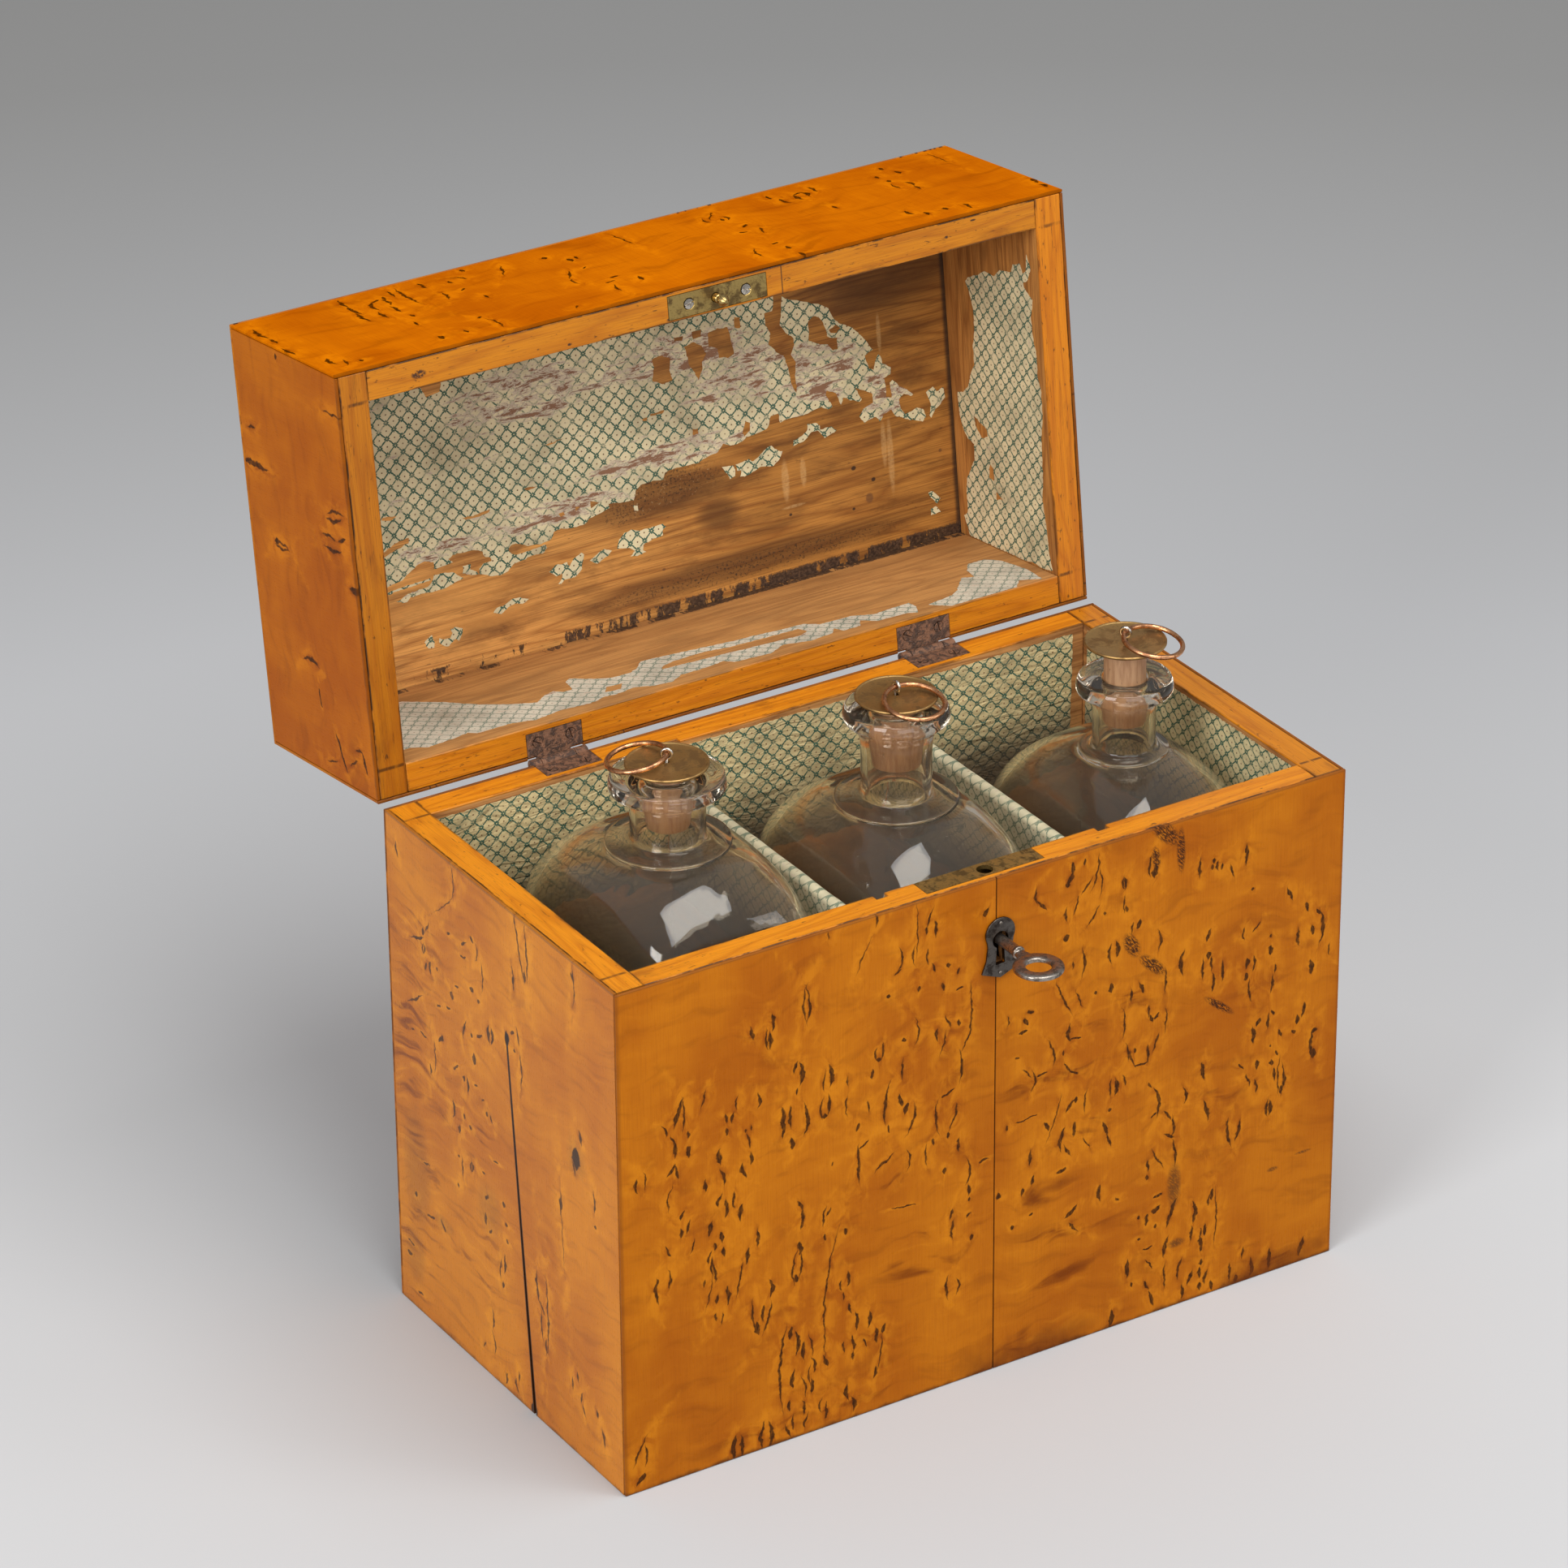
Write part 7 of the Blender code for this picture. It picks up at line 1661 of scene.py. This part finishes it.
right_sheet = [
    (-49.5, 331), (-47, 332.9), (-39.5, 329), (-32, 327.3), (-22, 327.9), (-14.5, 329.8), (-4.5, 329.8),
    (0.5, 333.5), (8, 336.6), (13, 342.3), (13.6, 347.3), (26, 346.6), (33, 343.5), (36.8, 339.8), (38, 334.8),
    (46.8, 335.4), (53, 339.8), (58, 343.5), (65.5, 344.8), (76.8, 344.8), (79.3, 348.5), (88, 344.8),
    (89, 344), (89, 293.5), (88, 287.9), (89, 278.5), (88, 269.8), (80.5, 272.3), (70.5, 272.9), (61.8, 274),
    (51.8, 275.4), (39.3, 273.5), (20.5, 272.9), (6.8, 270.4), (-5.8, 270.4), (-12, 272.9), (-22, 272.3),
    (-32, 274.8), (-42, 275.4), (-50.8, 272.9), (-55.8, 279.8), (-58, 280.4), (-60.8, 276), (-67, 272.9),
    (-73.9, 276), (-65, 277), (-63, 280.4), (-67.6, 282.3), (-65.8, 288.5), (-61.4, 291), (-60, 301),
    (-55.8, 306), (-56.4, 314.8), (-52.6, 322.3),
]
right_holes = [
    [(23, 333.5), (28, 332.9), (33, 327.3), (31, 321.6), (27.4, 322.3), (25, 327.9)],
    [(45.5, 321.6), (53, 322.9), (53.6, 318.5), (46.8, 318.5)],
    [(58.6, 317.3), (63, 317.3), (61.8, 311.6)],
]
rubbed_zones = ((30, -40, 62, 15), (-55, -40, 55, 20), (60, -25, 40, 22), (-50, 22, 55, 9), (20, 8, 60, 9),
                (110, -15, 30, 26), (-110, 25, 30, 8), (150, 5, 26, 20))
paper_lid_top = paper("paper_lid_top", "top", 1.0, lid=True, rubbed=0.62, zones=rubbed_zones, tilt=0.031)
paper_lid_right = paper("paper_lid_right", "side", 2.0, lid=True, rubbed=0.45)
paper_lid_back = paper("paper_lid_back", "front", 3.0, lid=True, ground=(0.60, 0.53, 0.41), printed=0.6,
                       rubbed=0.72)
paper_back = paper("paper_back", "front", 4.0, ground=(0.64, 0.50, 0.25), rubbed=0.1, wrinkled=0.7)
paper_right = paper("paper_right", "side", 5.0, ground=(0.68, 0.57, 0.31), rubbed=0.15, wrinkled=0.3)
paper_divider = paper("paper_divider", "side", 6.0, ground=(0.62, 0.55, 0.36), printed=0.7, rubbed=0.5)
case_back_sheets = [
    [(-183, 261), (-183, 196), (-150, 190), (-110, 199), (-55, 193), (-55, 262)],
    [(-47, 262), (-47, 190), (0, 197), (66, 192), (66, 261)],
    [(74, 261), (74, 194), (120, 188), (176, 195), (177, 261)],
]
case_right_sheet = [(-88, 262), (-88, 190), (-20, 197), (88, 188), (86, 262)]
case_left_sheet = [(-88, 262), (-88, 192), (30, 186), (88, 196), (88, 262)]
across = (-183.6, 183.6)
deep = (-89.1, 89.1)
case_up = (13.0, 263.0)
for name, sheets, to_world, look, seed, limits, holes in (
        ("lid_top", [top_sheet, *top_patches], on_lid_top, paper_lid_top, 1.0, (*across, *deep), top_holes),
        ("lid_right", [right_sheet], on_lid_right, paper_lid_right, 2.0, (*deep, 266.5, 353.0), right_holes),
        ("lid_back", back_sheets, on_lid_back, paper_lid_back, 3.0, (*across, 266.2, 353.0), back_holes),
        ("case_back", case_back_sheets, on_case_back, paper_back, 4.0, (*across, *case_up), ()),
        ("case_right", [case_right_sheet], on_case_right, paper_right, 5.0, (*deep, *case_up), ()),
        ("case_left", [case_left_sheet], on_case_left, paper_right, 6.0, (*deep, *case_up), ())):
    lining("lining_" + name, sheets, to_world, look, name.split("_")[0], seed, limits, holes)

# The dividers' covers
cover_half = 0.0030
cover_top = 0.245
cover_foot = 0.19
cover_half_length = 0.0889
cover_rows = 60
cover_columns = 24


def divider_cover(name, x):
    """Paper folded over a divider: up one side, round the top and down the other."""
    straight = cover_top - cover_half - cover_foot
    shape = bmesh.new()
    grid = []
    for i in range(cover_rows + 1):
        y = -cover_half_length + 2 * cover_half_length * i / cover_rows
        line = []
        for j in range(cover_columns + 1):
            share = j / cover_columns
            if share < 0.25:
                point = Vector((-cover_half, 0, cover_foot + straight * share / 0.25))
                out = Vector((-1, 0, 0))
            elif share > 0.75:
                point = Vector((cover_half, 0, cover_foot + straight * (1 - share) / 0.25))
                out = Vector((1, 0, 0))
            else:
                angle = math.pi - math.pi * (share - 0.25) / 0.5
                out = Vector((math.cos(angle), 0, math.sin(angle)))
                point = Vector((cover_half * math.cos(angle), 0,
                                cover_top - cover_half + cover_half * math.sin(angle)))
            wave = 0.00018 + 0.00022 * (1 + noise.noise(Vector((y * 90, point.z * 60, x * 50))))
            line.append(shape.verts.new(point + out * wave + Vector((x, y, 0))))
        grid.append(line)
    for a, b in zip(grid, grid[1:]):
        for i in range(cover_columns):
            shape.faces.new((a[i], a[i + 1], b[i + 1], b[i]))
    made = wrap(name, shape, paper_divider, None)
    step = made.modifiers.new("thickness", "SOLIDIFY")
    step.thickness = paper_thickness
    step.offset = -1.0
    settle(made)
    made.data.shade_smooth()
    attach(made, "case")


divider_cover("lining_divider_left", -0.0511)
divider_cover("lining_divider_right", 0.0706)


# Floor, world and lights
def make_floor():
    """A wide pale floor, greyer further away: painted shade for the lamps' falloff."""
    graph = Graph("floor")
    graph.set(Roughness=0.9, Specular_IOR_Level=0.1)
    where = graph.node("ShaderNodeTexCoord").outputs["Object"]
    reach = graph.vector("LENGTH", where)
    ahead = graph.vector("DOT_PRODUCT", where, (0.539, 0.842, 0.0))
    # Painted shade: the floor's colour darkens with distance, most of all away from the camera.
    far = graph.add(graph.times(reach, 0.75), graph.times(ahead, 0.45))
    colour = (0.505, 0.51, 0.515)
    for low, high, tint in ((0.05, 0.40, (0.60, 0.605, 0.61)), (0.40, 0.9, (0.57, 0.575, 0.585)),
                            (0.9, 1.9, (0.43, 0.428, 0.42))):
        colour = graph.mix(graph.spread(far, low, high, 0.0, 1.0), colour, tint)
    graph.set(Base_Color=colour)
    shape = bmesh.new()
    bmesh.ops.create_circle(shape, cap_ends=True, segments=96, radius=9.0)
    wrap("floor", shape, graph.material, None, smooth=False, location=(0, 0, -0.0002))


def make_light(name, place, aim, size, power):
    """A softbox that looks at a point above the floor's middle."""
    data = bpy.data.lights.new(name, "AREA")
    data.shape = "RECTANGLE"
    data.size, data.size_y = size
    data.energy = power
    made = bpy.data.objects.new(name, data)
    scene.collection.objects.link(made)
    place = Vector(place)
    look = (Vector((0, 0, aim)) - place).to_track_quat("-Z", "Y")
    made.matrix_world = Matrix.Translation(place) @ look.to_matrix().to_4x4()


make_floor()
world = bpy.data.worlds.new("studio")
world.use_nodes = True
sky = world.node_tree.nodes["Background"].inputs
sky["Color"].default_value = (0.50, 0.50, 0.51, 1.0)
sky["Strength"].default_value = 0.65
scene.world = world
make_light("softbox_left", (-2.3, -1.0, 1.4), 0.15, (1.1, 1.4), 40.0)
make_light("softbox_right", (1.9, -2.0, 1.4), 0.15, (1.0, 1.3), 12.0)
make_light("softbox_top", (0.05, -0.75, 2.1), 0.2, (1.6, 1.3), 34.0)
make_light("softbox_front", (-0.6, -2.7, 1.15), 0.3, (1.8, 1.0), 14.0)
scene.view_settings.view_transform = "Standard"
